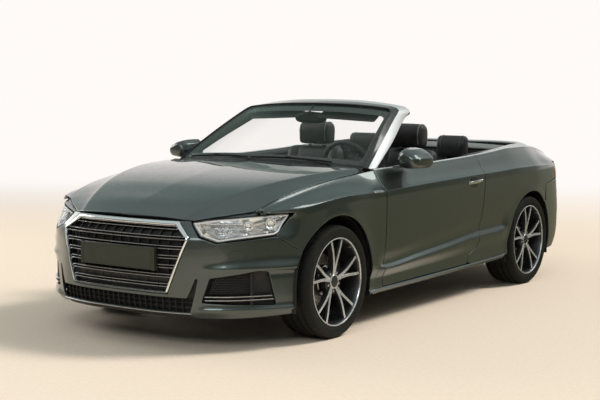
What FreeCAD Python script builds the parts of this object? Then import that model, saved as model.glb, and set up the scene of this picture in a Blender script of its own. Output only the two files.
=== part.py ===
"""Compact two-door convertible car, built as separate panels, frames, wheels and fittings.

Frame: origin on the ground under the middle of the car, front towards -Y, the car's left
side at +X, Z up, millimetres.
"""
import FreeCAD
import Part
import math
import os

Vec = FreeCAD.Vector

# ---------------------------------------------------------------- driving dimensions
OVERALL_LENGTH = 4423.0
BODY_WIDTH = 1793.0
ROOF_HEIGHT = 1345.0
FRONT_OVERHANG = 880.0
REAR_OVERHANG = 948.0
FRONT_WHEEL_INSET = 124.5
REAR_WHEEL_INSET = 134.5
TYRE_RADIUS = 323.5
TYRE_WIDTH = 228.0
RIM_RADIUS = 241.3
RIM_LIP = 11.0
DISC_RADIUS = 156.0
DISC_THICKNESS = 25.0
DISC_OFFSET = 37.0
HUB_RADIUS = 72.0
HUB_REACH = 44.0
NECK_LENGTH = 100.0
FLANGE_RADIUS = 50.0
FLANGE_THICKNESS = 24.0
BALL_JOINT_HEIGHT = 118.0
CALIPER_GAP = 3.0
ARCH_CLEARANCE = 61.0
REAR_ARCH_TRIM = 22.0
FRONT_WELL_DEPTH = 296.0
REAR_WELL_DEPTH = 140.0
LINER_INSET = 38.5
WELL_WALL = 12.0
WELL_WALL_GAP = 2.0
LINER_WALL = 4.0
TIP_PLACES = (320.0, 400.0)
TIP_HEIGHT = 240.0
TIP_RADIUS = 30.0
KINGPIN_OFFSET = 77.0
KINGPIN_SIZE = 30.0
STRUT_INSET = 91.0
STRUT_RADIUS = 20.0
SPRING_RADIUS = 46.0
SPRING_BASE = 668.0
STRUT_TOP = 745.0
TOWER_PLATE = 12.0
SKIN = 24.0
SHUT_GAP = 6.0
SEAT_CLEARANCE = 0.3
HINGE_PIN = 5.0
DOOR_HINGE_X = 856.0
DOOR_HINGE_Y = -753.0
DOOR_INNER_X = 700.0
GLASS_THICKNESS = 5.0
STEERING_WHEEL_RADIUS = 183.0
STEERING_RIM_RADIUS = 15.0
STEERING_TILT = 24.0
CALIPER_REACH = 28.0
SUBFRAME_HALF = 380.0
LOWER_ARM_DROP = 25.2
STRUT_LEAN = 22.0
FLOOR_BOOT_Z = 330.0
SUBFRAME_HEIGHT = 50.0
REAR_WALL_SETBACK = 2064.0
PILLAR_FOOT_REACH = 776.0

# the styling tables below are written for these sizes and follow the driving ones
DRAWN_LENGTH = 4423.0
DRAWN_WIDTH = 1793.0
DRAWN_HEIGHT = 1345.0
LONG = OVERALL_LENGTH / DRAWN_LENGTH
WIDE = BODY_WIDTH / DRAWN_WIDTH
TALL = ROOF_HEIGHT / DRAWN_HEIGHT

FRONT_AXLE_Y = FRONT_OVERHANG - OVERALL_LENGTH / 2
REAR_AXLE_Y = OVERALL_LENGTH / 2 - REAR_OVERHANG
FRONT_WHEEL_X = BODY_WIDTH / 2 - FRONT_WHEEL_INSET
REAR_WHEEL_X = BODY_WIDTH / 2 - REAR_WHEEL_INSET
KINGPIN_X = FRONT_WHEEL_X - KINGPIN_OFFSET
STRUT_X = KINGPIN_X - STRUT_INSET
FRONT_WELL_X = FRONT_WHEEL_X - FRONT_WELL_DEPTH
REAR_WELL_X = REAR_WHEEL_X - REAR_WELL_DEPTH
LINER_OUTER_X = BODY_WIDTH / 2 - LINER_INSET
WHEEL_Z = TYRE_RADIUS
ARCH_RADIUS = TYRE_RADIUS + ARCH_CLEARANCE
REAR_ARCH_RADIUS = ARCH_RADIUS - REAR_ARCH_TRIM
HALF_TYRE = TYRE_WIDTH / 2
LOWER_JOINT_Z = WHEEL_Z - BALL_JOINT_HEIGHT - SEAT_CLEARANCE
UPPER_JOINT_Z = WHEEL_Z + BALL_JOINT_HEIGHT + SEAT_CLEARANCE
SPRING_TOP = STRUT_TOP * TALL - SEAT_CLEARANCE
FRONT_ARM_Z = LOWER_JOINT_Z - LOWER_ARM_DROP
SUBFRAME_TOP = FRONT_ARM_Z + SUBFRAME_HEIGHT

# drawn limits that lie outside the widest, longest and highest parts, for cutting tools
OUTSIDE = 960.0
NOSE_END = -2300.0
TAIL_END = 2300.0
OUTSIDE_REAL = OUTSIDE * WIDE
ARCH_TOOL_X = 500.0

# ---------------------------------------------------------------- body sections
SIDE_COLUMNS = ("y", "wide_x", "low_z", "blade_z", "line_z", "edge_x", "edge_z")
SIDE_ROWS = (
    (-1875, 752, 236, 400, 742, 692, 752),
    (-1695, 838, 232, 400, 765, 730, 810),
    (-1455, 889, 228, 400, 797, 750, 858),
    (-1205, 893, 226, 398, 814, 757, 890),
    (-945, 886, 224, 394, 814, 764, 912),
    (-800, 886, 226, 395, 817, 785, 927),
    (-340, 887, 232, 425, 832, 797, 938),
    (0, 888, 238, 440, 842, 800, 948),
    (414, 889, 246, 471, 853, 801, 964),
    (800, 891, 254, 440, 862, 797, 985),
    (1071, 893, 256, 440, 870, 790, 1001),
    (1323, 892, 256, 440, 871, 778, 1002),
    (1560, 876, 250, 440, 867, 752, 988),
    (1750, 850, 250, 440, 858, 722, 962),
    (1930, 800, 250, 440, 845, 684, 925),
    (2050, 724, 250, 440, 828, 636, 898),
)
# each row: y, inner edge x, inner edge z
REAR_TOP_ROWS = (
    (500, 742, 966), (800, 738, 988), (1071, 716, 1006), (1323, 680, 1017),
    (1560, 626, 1014), (1750, 600, 996), (1930, 584, 972), (2050, 572, 952),
)
HOOD_COLUMNS = ("y", "centre_z", "crease_x", "crease_z", "edge_x", "edge_z")
HOOD_ROWS = (
    (-2122, 714, 352, 690, 640, 640),
    (-1985, 783, 415, 757, 690, 700),
    (-1872, 818, 465, 800, 700, 751),
    (-1693, 868, 535, 853, 732, 810),
    (-1455, 911, 612, 898, 752, 858),
    (-1200, 942, 672, 927, 759, 890),
    (-945, 963, 715, 938, 766, 912),
    (-850, 966, 730, 940, 772, 920),
)
# each row: y, centre z, half-way x, half-way z, side x, side z
BOOT_ROWS = (
    (1575, 1030, 400, 1030, 700, 1012),
    (1750, 1026, 400, 1018, 690, 984),
    (1930, 1010, 400, 998, 680, 956),
    (2060, 992, 400, 974, 660, 930),
    (2125, 984, 400, 962, 640, 915),
)
NOSE_PLAN = ((0, -2211.5), (220, -2203), (400, -2170), (520, -2120), (620, -2055),
             (710, -1955), (790, -1825), (848, -1700), (884, -1560))
NOSE_LEVELS = ((172, 62), (205, 18), (300, 2), (450, 0), (600, 8), (655, 50), (705, 92), (752, 130))
LAMP_LEVELS = ((580, 52), (640, 62), (700, 80), (752, 118))
TAIL_PLAN = ((0, 2211.5), (250, 2202), (500, 2152), (640, 2100), (730, 2035),
             (800, 1935), (850, 1770), (884, 1520))
TAIL_LEVELS = ((222, 130), (300, 40), (380, 8), (500, 0), (620, 22), (700, 42), (738, 52))
TAIL_LAMP_LEVELS = ((735, 48), (800, 66), (868, 120))


def at(rows, y, column):
    """Value of one column at station y, in straight steps between the rows."""
    if y <= rows[0][0]:
        return rows[0][column]
    for low, high in zip(rows, rows[1:]):
        if y <= high[0]:
            share = (y - low[0]) / (high[0] - low[0])
            return low[column] + share * (high[column] - low[column])
    return rows[-1][column]


def side(y, name):
    return at(SIDE_ROWS, y, SIDE_COLUMNS.index(name))


def hood_at(y, name):
    return at(HOOD_ROWS, y, HOOD_COLUMNS.index(name))


# ---------------------------------------------------------------- shape helpers
def place(x, y, z):
    """A point of the styling tables, moved to the size being built."""
    return Vec(x * WIDE, y * LONG, z * TALL)


def drawn_x(x):
    """A real distance from the middle, in the width units of the styling tables."""
    return x / WIDE


def box(x0, x1, y0, y1, z0, z1):
    """Box between real coordinates, given in either order across the car."""
    low, high = sorted((x0, x1))
    return Part.makeBox(high - low, y1 - y0, z1 - z0, Vec(low, y0, z0))


def wire(points):
    return Part.makePolygon(list(points) + [points[0]])


def face(points):
    return Part.Face(wire(points))


def loft(sections):
    return Part.makeLoft([wire(section) for section in sections], True, True)


def along_x(outline, x0, x1):
    """Prism of a (y, z) outline from x0 to x1."""
    return face([place(x0, y, z) for y, z in outline]).extrude(Vec((x1 - x0) * WIDE, 0, 0))


def along_y(outline, y0, y1):
    """Prism of an (x, z) outline from y0 to y1."""
    return face([place(x, y0, z) for x, z in outline]).extrude(Vec(0, (y1 - y0) * LONG, 0))


def along_z(outline, z0, z1):
    """Prism of an (x, y) outline from z0 to z1."""
    return face([place(x, y, z0) for x, y in outline]).extrude(Vec(0, 0, (z1 - z0) * TALL))


def block(x0, x1, y0, y1, z0, z1):
    return along_z(((x0, y0), (x1, y0), (x1, y1), (x0, y1)), z0, z1)


def rod(centre, axis, radius, length):
    """Cylinder with its middle at centre."""
    axis = Vec(axis)
    axis.normalize()
    return Part.makeCylinder(radius, length, centre - axis * (length / 2), axis)


def tube(start, end, radius):
    run = end - start
    return Part.makeCylinder(radius, run.Length, start, run)


def mirrored(shape):
    return shape.mirror(Vec(0, 0, 0), Vec(1, 0, 0))


def pair(shape):
    return Part.makeCompound([shape, mirrored(shape)])


def union(shapes):
    first = shapes[0]
    return first.fuse(list(shapes[1:])).removeSplitter()


def solids_of(shape):
    """One solid, or a compound of all of them."""
    solids = shape.Solids
    if len(solids) == 1:
        return solids[0]
    return Part.makeCompound(solids)


def largest(shape):
    return max(shape.Solids, key=lambda solid: solid.Volume)


# ---------------------------------------------------------------- side surfaces
def side_outline(y):
    """Outer half-section of the body side at station y, from the bottom up."""
    wide = side(y, "wide_x")
    low = side(y, "low_z")
    blade = side(y, "blade_z")
    line = side(y, "line_z")
    return [
        (wide - 50, low - 30), (wide - 22, low + 8), (wide - 28, low + 66),
        (wide - 3, blade - 62), (wide - 17, blade), (wide - 4, 600), (wide, 700),
        (wide - 7, line - 14), (wide - 21, line + 8), (side(y, "edge_x"), side(y, "edge_z")),
    ]


def side_loft(stations, inner):
    """Solid between the side surface and an inner line given by inner(outline, y)."""
    sections = []
    for y in stations:
        outer = side_outline(y)
        sections.append([place(x, y, z) for x, z in outer + inner(outer, y)])
    return loft(sections)


def thin_inner(outer, y):
    """Inner line one skin thickness inboard."""
    return [(x - SKIN, z) for x, z in reversed(outer)]


def door_inner(outer, y):
    """Flat inner face of a door."""
    top = outer[-1][1]
    bottom = outer[0][1]
    return [(DOOR_INNER_X, top), (DOOR_INNER_X, bottom)]


def arch_cut(axle_y, radius, x0, x1):
    centre = Vec((x0 + x1) / 2, axle_y, WHEEL_Z)
    return rod(centre, (1, 0, 0), radius, x1 - x0)


def arch_well(axle_y, radius, x0, x1):
    """Space over and under a wheel, open at the bottom."""
    round_part = arch_cut(axle_y, radius, x0, x1)
    lower = Part.makeBox(x1 - x0, 2 * radius, WHEEL_Z + 50, Vec(x0, axle_y - radius, -50))
    return round_part.fuse(lower)


# ---------------------------------------------------------------- shut lines
DOOR_OUTLINE = ((-803, 233), (-803, 940), (0, 962), (510, 979), (506, 860), (492, 757),
                (460, 550), (414, 356), (318, 300), (285, 252))
HOOD_PLAN = ((0, -2114), (360, -2090), (431, -2074), (690, -1868), (722, -1693), (742, -1455),
             (751, -1200), (756, -945), (700, -890), (400, -932), (0, -950))
BOOT_PLAN = ((0, 1575), (590, 1575), (590, 1596), (612, 1604), (594, 1750), (578, 1930), (566, 2050),
             (552, 2230), (0, 2230))
BOOT_HINGE = (1575, 1016)
HOOD_HINGE = (-826, 905)
HOOD_HINGE_X = 644


def door_hinge_column(radius):
    centre = place(DOOR_HINGE_X, DOOR_HINGE_Y, 600)
    return rod(centre, (0, 0, 1), radius, 900 * TALL)


HINGE_HEIGHTS = (470, 735)
BRACKET_HEIGHT = 18.0
BRACKET_REACH = 88.0
BRACKET_WIDTH = 20.0
BRACKET_HALF = 7.0
LUG_HEIGHT = 26.0
EYE_RADIUS = 12.0
DOOR_SWEEP = 65.8
DOOR_REAR_STEP = 14.0


def door_bracket(z):
    """Body half of a door hinge: a bent plate and its pin."""
    root_y = PILLAR_REAR_Y - 19
    root_in = DOOR_HINGE_X - BRACKET_REACH
    root_out = root_in + BRACKET_WIDTH
    eye_out = DOOR_HINGE_X + BRACKET_HALF
    eye_front = DOOR_HINGE_Y - BRACKET_HALF
    eye_rear = DOOR_HINGE_Y + BRACKET_HALF
    outline = ((root_in, root_y), (root_out, root_y), (root_out, eye_front), (eye_out, eye_front),
               (eye_out, eye_rear), (root_in, eye_rear))
    plate = along_z(outline, z, z + BRACKET_HEIGHT)
    pin_base = place(DOOR_HINGE_X, DOOR_HINGE_Y, z)
    pin = Part.makeCylinder(HINGE_PIN, (BRACKET_HEIGHT + LUG_HEIGHT) * TALL, pin_base)
    return plate.fuse(pin)


def door_lug(z):
    """Door half of a hinge: an arm ending in an eye around the pin."""
    base = z + BRACKET_HEIGHT + SEAT_CLEARANCE
    arm_top = z + BRACKET_HEIGHT + LUG_HEIGHT - 2
    arm = block(DOOR_HINGE_X - 9, DOOR_HINGE_X + 9, DOOR_HINGE_Y, DOOR_HINGE_Y + 25, base, arm_top)
    eye_base = place(DOOR_HINGE_X, DOOR_HINGE_Y, base)
    height = (LUG_HEIGHT - 2 - SEAT_CLEARANCE) * TALL
    eye = Part.makeCylinder(EYE_RADIUS, height, eye_base)
    bore = Part.makeCylinder(HINGE_PIN + SEAT_CLEARANCE, height + 2, eye_base - Vec(0, 0, 1))
    return arm.fuse(eye).cut(bore)


# ---------------------------------------------------------------- body side panels
def make_door():
    """Left door: outer skin, inner trim, window slot and hinge lugs in one solid."""
    stations = (-812, -340, 0, 414, 560)
    shell = side_loft(stations, door_inner)
    door = shell.common(along_x(DOOR_OUTLINE, DOOR_INNER_X - 40, OUTSIDE))
    box_front = -738
    front_pocket = along_z(((DOOR_INNER_X - 20, -850), (856, -850), (872, -850), (872, box_front),
                            (DOOR_INNER_X - 20, box_front)), 150, 1000)
    door = door.cut(front_pocket)
    window_slot = along_x(((-690, 905), (-690, 990), (470, 1010), (470, 925)), 742, 752)
    door = door.cut(window_slot)
    map_pocket = along_x(((-600, 300), (150, 300), (150, 400), (-600, 400)), DOOR_INNER_X - 10, 745)
    door = door.cut(map_pocket)
    outside = [(y + 40, z) for y, z in DOOR_OUTLINE[3:]]
    inside = [(y - DOOR_REAR_STEP, z) for y, z in reversed(DOOR_OUTLINE[3:])]
    door = door.cut(along_x(outside + inside, DOOR_INNER_X - 20, 832))
    hinge_room = rod(place(DOOR_HINGE_X, DOOR_HINGE_Y, 600), (0, 0, 1), EYE_RADIUS + 4, 700 * TALL)
    door = largest(door.cut(hinge_room))
    lugs = [door_lug(z) for z in HINGE_HEIGHTS]
    return union([door] + lugs)


def make_fender():
    """Left front fender with its flange towards the A-pillar."""
    stations = (-1875, -1695, -1455, -1205, -945, -800)
    shell = side_loft(stations, thin_inner)
    outline = ((-1866, 660), (-1866, 770), (-1690, 840), (-1200, 920), (-803 - SHUT_GAP, 960),
               (-803 - SHUT_GAP, 222), (-870, 216), (-1000, 190), (-1331, 190), (-1722, 548), (-1800, 625))
    fender = shell.common(along_x(outline, 640, 940))
    fender = fender.cut(arch_well(FRONT_AXLE_Y, ARCH_RADIUS, ARCH_TOOL_X, OUTSIDE_REAL))
    lamp_room = along_z(((560, -1900), (900, -1900), (900, -1690), (790, -1690)), 560, 735)
    fender = fender.cut(lamp_room).cut(hood_room())
    return largest(fender.cut(door_hinge_column(DOOR_SWEEP)))


SILL_DEPTH = 120.0


def make_sill():
    """Left side sill under the door."""
    outline = ((-955, 190), (760, 214), (880, 214), (838, 250), (760, 247),
               (-800, 219), (-870, 210), (-960, 196))
    sections = []
    for y in (-965, -800, -340, 0, 414, 800, 900):
        outer = side_outline(y)[:3]
        inner = [(outer[1][0] - SILL_DEPTH, outer[1][1] + 24), (outer[0][0] - SILL_DEPTH + 28, outer[0][1])]
        sections.append([place(x, y, z) for x, z in outer + inner])
    sill = loft(sections).common(along_x(outline, 600, OUTSIDE))
    return largest(sill.cut(arch_well(FRONT_AXLE_Y, ARCH_RADIUS, ARCH_TOOL_X, OUTSIDE_REAL)))


SHOULDER_FILL = 0.7


def quarter_top(y):
    return [(at(REAR_TOP_ROWS, y, 1), at(REAR_TOP_ROWS, y, 2))]


def make_quarter():
    """Left rear quarter panel, from the door to the tail lamp, with its shoulder."""
    sections = []
    for y in (440, 800, 1071, 1323, 1560, 1750, 1930, 2050):
        outer = side_outline(y) + quarter_top(y)
        edge = outer[-2]
        top = outer[-1]
        inner = [(top[0], top[1] - SKIN), (edge[0] - SKIN * SHOULDER_FILL, edge[1] - SKIN)]
        inner += [(x - SKIN, z) for x, z in reversed(outer[:-2])]
        sections.append([place(x, y, z) for x, z in outer + inner])
    shell = loft(sections)
    front = [(y + SHUT_GAP, z) for y, z in DOOR_OUTLINE[3:]]
    outline = front[:1] + [(540, 1060), (2045, 1060), (2045, 905), (1990, 880), (1745, 875), (1745, 745),
                           (1690, 735), (1500, 720), (1560, 560), (1400, 255), (345, 246)]
    outline += list(reversed(front[1:]))
    quarter = shell.common(along_x(outline, 500, OUTSIDE))
    quarter = quarter.cut(arch_well(REAR_AXLE_Y, REAR_ARCH_RADIUS, ARCH_TOOL_X, OUTSIDE_REAL))
    return largest(quarter)


# ---------------------------------------------------------------- nose and tail
def plan_loft(plan, levels, back_y, inset):
    """Solid between levels, each a plan outline set back and moved in by inset."""
    sections = []
    forward = 1 if back_y > 0 else -1
    for z, setback in levels:
        half = []
        for x, y in plan:
            lean = setback * (1 - 0.35 * x / 884.0)
            half.append((max(x - inset, 0), y - forward * (lean + inset)))
        points = half + [(half[-1][0], back_y)]
        points += [(-x, y) for x, y in reversed(points) if x > 0]
        sections.append([place(x, y, z) for x, y in points])
    return loft(sections)


GRILLE = ((-359, 697), (359, 697), (457, 616), (342, 312), (-342, 312), (-457, 616))
GRILLE_FRAME = 26.0
INTAKE = ((560, 405), (800, 438), (822, 246), (565, 276))
HEADLAMP = ((437, 694), (503, 626), (600, 593), (650, 608), (798, 626), (880, 626),
            (880, 732), (740, 726), (700, 735))
LAMP_OPENING = ((420, 712), (500, 625.6), (600, 592.6), (650, 607.6), (798, 625.6), (950, 625.6),
                (950, 900), (420, 900))
TAIL_LAMP = ((572, 745), (900, 745), (900, 874.6), (572, 868))
PLATE_HALF = 262.0
LIP_SLOT = (470.0, 218.0, 268.0)


def grown(outline, amount, centre):
    """Outline scaled outwards from its centre by about amount."""
    result = []
    for u, v in outline:
        du = u - centre[0]
        dv = v - centre[1]
        reach = math.hypot(du, dv)
        result.append((u + du / reach * amount, v + dv / reach * amount))
    return result


def mirror_outline(outline):
    return [(-u, v) for u, v in reversed(outline)]


def make_front_bumper():
    outer = plan_loft(NOSE_PLAN, NOSE_LEVELS, -1500, 0)
    inner = plan_loft(NOSE_PLAN, NOSE_LEVELS, -1490, SKIN)
    bumper = outer.cut(inner)
    bumper = bumper.cut(along_y(grown(GRILLE, 0.4, (0, 506)), NOSE_END, -1900))
    for outline in (INTAKE, mirror_outline(INTAKE)):
        bumper = bumper.cut(along_y(outline, NOSE_END, -1640))
    slot_half, slot_low, slot_high = LIP_SLOT
    bumper = bumper.cut(block(-slot_half, slot_half, NOSE_END, -2000, slot_low, slot_high))
    for outline in (LAMP_OPENING, mirror_outline(LAMP_OPENING)):
        bumper = bumper.cut(along_y(outline, NOSE_END, -1400))
    bumper = bumper.cut(block(-425, 425, -2300, -1400, 706, 900))
    for sign in (1, -1):
        side_seam = [(-1400, 100), (-1590, 100), (-1722, 542), (-1806, 606), (-1806, 900), (-1400, 900)]
        bumper = bumper.cut(along_x(side_seam, sign * 700, sign * OUTSIDE))
    bumper = bumper.cut(arch_well(FRONT_AXLE_Y, ARCH_RADIUS + 2, -OUTSIDE_REAL, OUTSIDE_REAL))
    return largest(bumper.cut(hood_room()))


def make_grille_frame():
    outer = along_y(GRILLE, -2230, -2090)
    hole = along_y(grown(GRILLE, -GRILLE_FRAME, (0, 506)), NOSE_END, -2000)
    nose = plan_loft(NOSE_PLAN, NOSE_LEVELS, -1500, -3)
    inner = plan_loft(NOSE_PLAN, NOSE_LEVELS, -1490, 40)
    return solids_of(outer.cut(hole).common(nose).cut(inner).cut(hood_room()))


def make_grille_insert():
    """Slats in pairs, upright ribs and the blank plate holder."""
    inner_outline = grown(GRILLE, -GRILLE_FRAME - 0.3, (0, 506))
    depth = plan_loft(NOSE_PLAN, NOSE_LEVELS, -1500, 34)
    back = plan_loft(NOSE_PLAN, NOSE_LEVELS, -1490, 52)
    slats = []
    for index in range(9):
        z = 344 + index * 38.0
        slats.append(block(-460, 460, -2230, -1900, z, z + 12))
    for x in (-300, -100, 100, 300):
        slats.append(block(x - 6, x + 6, -2230, -1900, 300, 720))
    mesh = union(slats).common(along_y(inner_outline, -2230, -1900)).common(depth).cut(back)
    border = along_y(inner_outline, -2230, -1900).cut(
        along_y(grown(inner_outline, -10, (0, 506)), -2240, -1890)).common(depth).cut(back)
    plate = block(-PLATE_HALF, PLATE_HALF, -2192, -2160, 432, 552)
    carrier = block(-PLATE_HALF, PLATE_HALF, -2176, -2140, 440, 545)
    return union([mesh, border, plate, carrier])


def make_intake_grilles():
    """Mesh panels behind the side intakes and the strip under the grille."""
    depth = plan_loft(NOSE_PLAN, NOSE_LEVELS, -1500, SKIN + 0.3)
    back = plan_loft(NOSE_PLAN, NOSE_LEVELS, -1490, SKIN + 16)
    outline = grown(INTAKE, 14, (690, 340))
    panel = along_y(outline, NOSE_END, -1740).common(depth).cut(back)
    panel = largest(panel.cut(arch_well(FRONT_AXLE_Y, ARCH_RADIUS + 1, 400, OUTSIDE_REAL)))
    strip = block(-490, 490, -2300, -2000, 208, 278).common(depth).cut(back)
    return Part.makeCompound([panel, mirrored(panel), largest(strip)])


def make_headlamps():
    outer = plan_loft(NOSE_PLAN, LAMP_LEVELS, -1500, 0)
    inner = plan_loft(NOSE_PLAN, LAMP_LEVELS, -1490, 90)
    lamp = outer.cut(inner).common(along_y(HEADLAMP, NOSE_END, -1700))
    lamp = lamp.cut(hood_room())
    return pair(largest(lamp.cut(make_fender())))


def build_rear_bumper():
    """Rear bumper skin with its plate recess and lower valance."""
    outer = plan_loft(TAIL_PLAN, TAIL_LEVELS, 1480, 0)
    inner = plan_loft(TAIL_PLAN, TAIL_LEVELS, 1470, SKIN)
    bumper = outer.cut(inner)
    for sign in (1, -1):
        seam = [(1400, 100), (1440, 740), (1496, 714), (1555, 566), (1580, 100)]
        bumper = bumper.cut(along_x(seam, sign * 640, sign * OUTSIDE))
    bumper = bumper.cut(arch_well(REAR_AXLE_Y, REAR_ARCH_RADIUS, -OUTSIDE_REAL, OUTSIDE_REAL))
    bumper = bumper.cut(block(-562, 562, 2000, 2300, 709, 800))
    for x in TIP_PLACES:
        bumper = bumper.cut(rod(Vec(x, 2150 * LONG, TIP_HEIGHT), (0, 1, 0), TIP_RADIUS + 5, 300))
    return largest(bumper.cut(make_quarter()).cut(mirrored(make_quarter())))


def make_tail_lamps():
    outer = plan_loft(TAIL_PLAN, TAIL_LAMP_LEVELS, 1500, 0)
    inner = plan_loft(TAIL_PLAN, TAIL_LAMP_LEVELS, 1490, 70)
    lamp = outer.cut(inner).common(along_y(TAIL_LAMP, 1745.4, TAIL_END))
    return pair(largest(lamp.cut(make_quarter())))


# ---------------------------------------------------------------- hood and boot lid
HOOD_THICKNESS = 22.0
HOOD_LIP = 10.0


def hood_section(y, raise_by, extra):
    """Closed section of the hood at y, grown up by raise_by and thicker by extra."""
    thickness = (HOOD_LIP if y < -2100 else HOOD_THICKNESS) + extra
    centre = hood_at(y, "centre_z")
    crease_x = hood_at(y, "crease_x")
    top = [(-hood_at(y, "edge_x"), hood_at(y, "edge_z")), (-crease_x, hood_at(y, "crease_z")),
           (-crease_x * 0.5, centre - (centre - hood_at(y, "crease_z")) * 0.3), (0, centre)]
    top += [(-x, z) for x, z in reversed(top[:-1])]
    upper = [(x, z + raise_by) for x, z in top]
    lower = [(x, z + raise_by - thickness) for x, z in reversed(top)]
    return upper + lower


def hood_solid(margin):
    """Hood panel cut to its plan outline, grown all round by margin."""
    sections = []
    for row in HOOD_ROWS:
        sections.append([place(x, row[0], z) for x, z in hood_section(row[0], margin, 2 * margin)])
    half = grown(HOOD_PLAN, margin * 1.4, (0, -1500)) if margin else list(HOOD_PLAN)
    return loft(sections).common(along_z(both_halves(half), 500, 1100))


def make_hood():
    """Hood with its two hinge arms under the rear edge."""
    panel = hood_solid(0)
    arms = []
    y, z = HOOD_HINGE
    for sign in (1, -1):
        outline = ((-1010, 924), (-905, 926), (y + 4, z + 11), (y + 4, z - 11), (-905, z - 12), (-1010, 894))
        arm = along_x(outline, sign * (HOOD_HINGE_X - 8), sign * (HOOD_HINGE_X + 8))
        eye = rod(place(sign * HOOD_HINGE_X, y, z), (1, 0, 0), EYE_RADIUS, 16 * WIDE)
        hole = rod(place(sign * HOOD_HINGE_X, y, z), (1, 0, 0), HINGE_PIN + SEAT_CLEARANCE, 40)
        arms.append(arm.fuse(eye).cut(hole))
    return union([panel] + arms)


def hood_room():
    """Space kept clear around the closed hood."""
    return hood_solid(SHUT_GAP)


def boot_section(y, thickness):
    top = [(-at(BOOT_ROWS, y, 4), at(BOOT_ROWS, y, 5)), (-at(BOOT_ROWS, y, 2), at(BOOT_ROWS, y, 3)),
           (0, at(BOOT_ROWS, y, 1))]
    top += [(-x, z) for x, z in reversed(top[:-1])]
    return top + [(x, z - thickness) for x, z in reversed(top)]


def make_boot_lid():
    """Boot lid: top skin, rear face with plate recess, and a round front edge on its hinge line."""
    sections = []
    for row in BOOT_ROWS:
        sections.append([place(x, row[0], z) for x, z in boot_section(row[0], 20)])
    top = loft(sections).common(along_z(both_halves(BOOT_PLAN), 500, 1100))
    rear = along_x(((2166, 716), (2172, 840), (2150, 905), (2122, 962), (2092, 962), (2124, 890),
                    (2146, 835), (2142, 716)), -552, 552)
    sides = plan_loft(TAIL_PLAN, ((700, 30), (860, 70), (990, 110)), 1500, 0)
    rear = rear.common(sides)
    bar = rod(place(0, *BOOT_HINGE), (1, 0, 0), 13 * TALL, 1180 * WIDE)
    bar_bore = rod(place(0, *BOOT_HINGE), (1, 0, 0), HINGE_PIN + SEAT_CLEARANCE, 2000 * WIDE)
    keep = block(-560, 560, 1500, 1700, 900, 1100)
    bore_ends = bar_bore.cut(keep)
    lid = union([top, rear, bar])
    return largest(lid.cut(bore_ends))


# ---------------------------------------------------------------- windscreen
# each row: x, base y, base z, top y, top z
GLASS_ROWS = ((0, -918, 974, -262, 1314), (200, -912, 973, -258, 1311), (400, -885, 967, -246, 1301),
              (560, -845, 958, -228, 1285), (735, -790, 944, -200, 1262))
GLASS_PLAN = ((0, -1010), (690, -1010), (700, -786), (556, -214), (556, -150), (0, -150))


def glass_row(x, raise_by, thick, low, high):
    """Quad of the glass section at x, between shares low and high of its slope."""
    base_y = at(GLASS_ROWS, abs(x), 1)
    base_z = at(GLASS_ROWS, abs(x), 2)
    dy = at(GLASS_ROWS, abs(x), 3) - base_y
    dz = at(GLASS_ROWS, abs(x), 4) - base_z
    reach = math.hypot(dy, dz)
    normal = (-dz / reach, dy / reach)
    corners = []
    for share, lift in ((low, raise_by), (high, raise_by), (high, raise_by - thick), (low, raise_by - thick)):
        corners.append((base_y + share * dy + normal[0] * lift, base_z + share * dz + normal[1] * lift))
    return [place(x, y, z) for y, z in corners]


def glass_band(raise_by, thick, low, high):
    stations = [-row[0] for row in reversed(GLASS_ROWS[1:])] + [row[0] for row in GLASS_ROWS]
    return loft([glass_row(x, raise_by, thick, low, high) for x in stations])


def both_halves(half):
    inner = [(x, y) for x, y in half if x > 0]
    return list(half) + [(-x, y) for x, y in reversed(inner)]


def make_windscreen_glass():
    band = glass_band(0, GLASS_THICKNESS, 0.0, 1.0)
    return band.common(along_z(both_halves(GLASS_PLAN), 800, 1500))


# each row: x, rear y, rear z
HEADER_ROWS = ((0, -62, 1341), (200, -58, 1338), (400, -46, 1323), (560, -30, 1299), (735, -10, 1266))


def make_windscreen_frame():
    """Header rail and the two A-pillars as one frame around the glass."""
    slab = glass_band(6, 34, -0.02, 1.0)
    plan_out = ((0, -1010), (768, -1010), (768, -790), (740, -700), (612, -190), (600, -150), (0, -150))
    gap = SEAT_CLEARANCE
    plan_in = ((0, -1010), (690 + gap, -1010), (700 + gap, -786), (556 + gap, -214), (0, -214))
    pillars = slab.common(along_z(both_halves(plan_out), 800, 1500))
    pillars = pillars.cut(along_z(both_halves(plan_in), 800, 1500))
    pillars = pillars.cut(block(-1000, 1000, -1100, -856, 700, 1000))
    sections = []
    for x in (-606, -560, -400, -200, 0, 200, 400, 560, 606):
        front_y = at(GLASS_ROWS, abs(x), 3)
        front_z = at(GLASS_ROWS, abs(x), 4)
        rear_y = at(HEADER_ROWS, abs(x), 1)
        rear_z = at(HEADER_ROWS, abs(x), 2)
        points = ((front_y - 3, front_z + 5), (rear_y, rear_z), (rear_y - 6, rear_z - 26),
                  (front_y + 50, front_z - 24), (front_y + 4, front_z - 14))
        sections.append([place(x, y, z) for y, z in points])
    header = loft(sections)
    glass = make_windscreen_glass()
    foot_out = PILLAR_FOOT_REACH - SKIN
    foot = along_y(((702, 880.3), (foot_out, 880.3), (foot_out, 936), (702, 948)), -852, -815)
    frame = union([pillars, header, foot, mirrored(foot)])
    return largest(frame.cut(glass))


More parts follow.
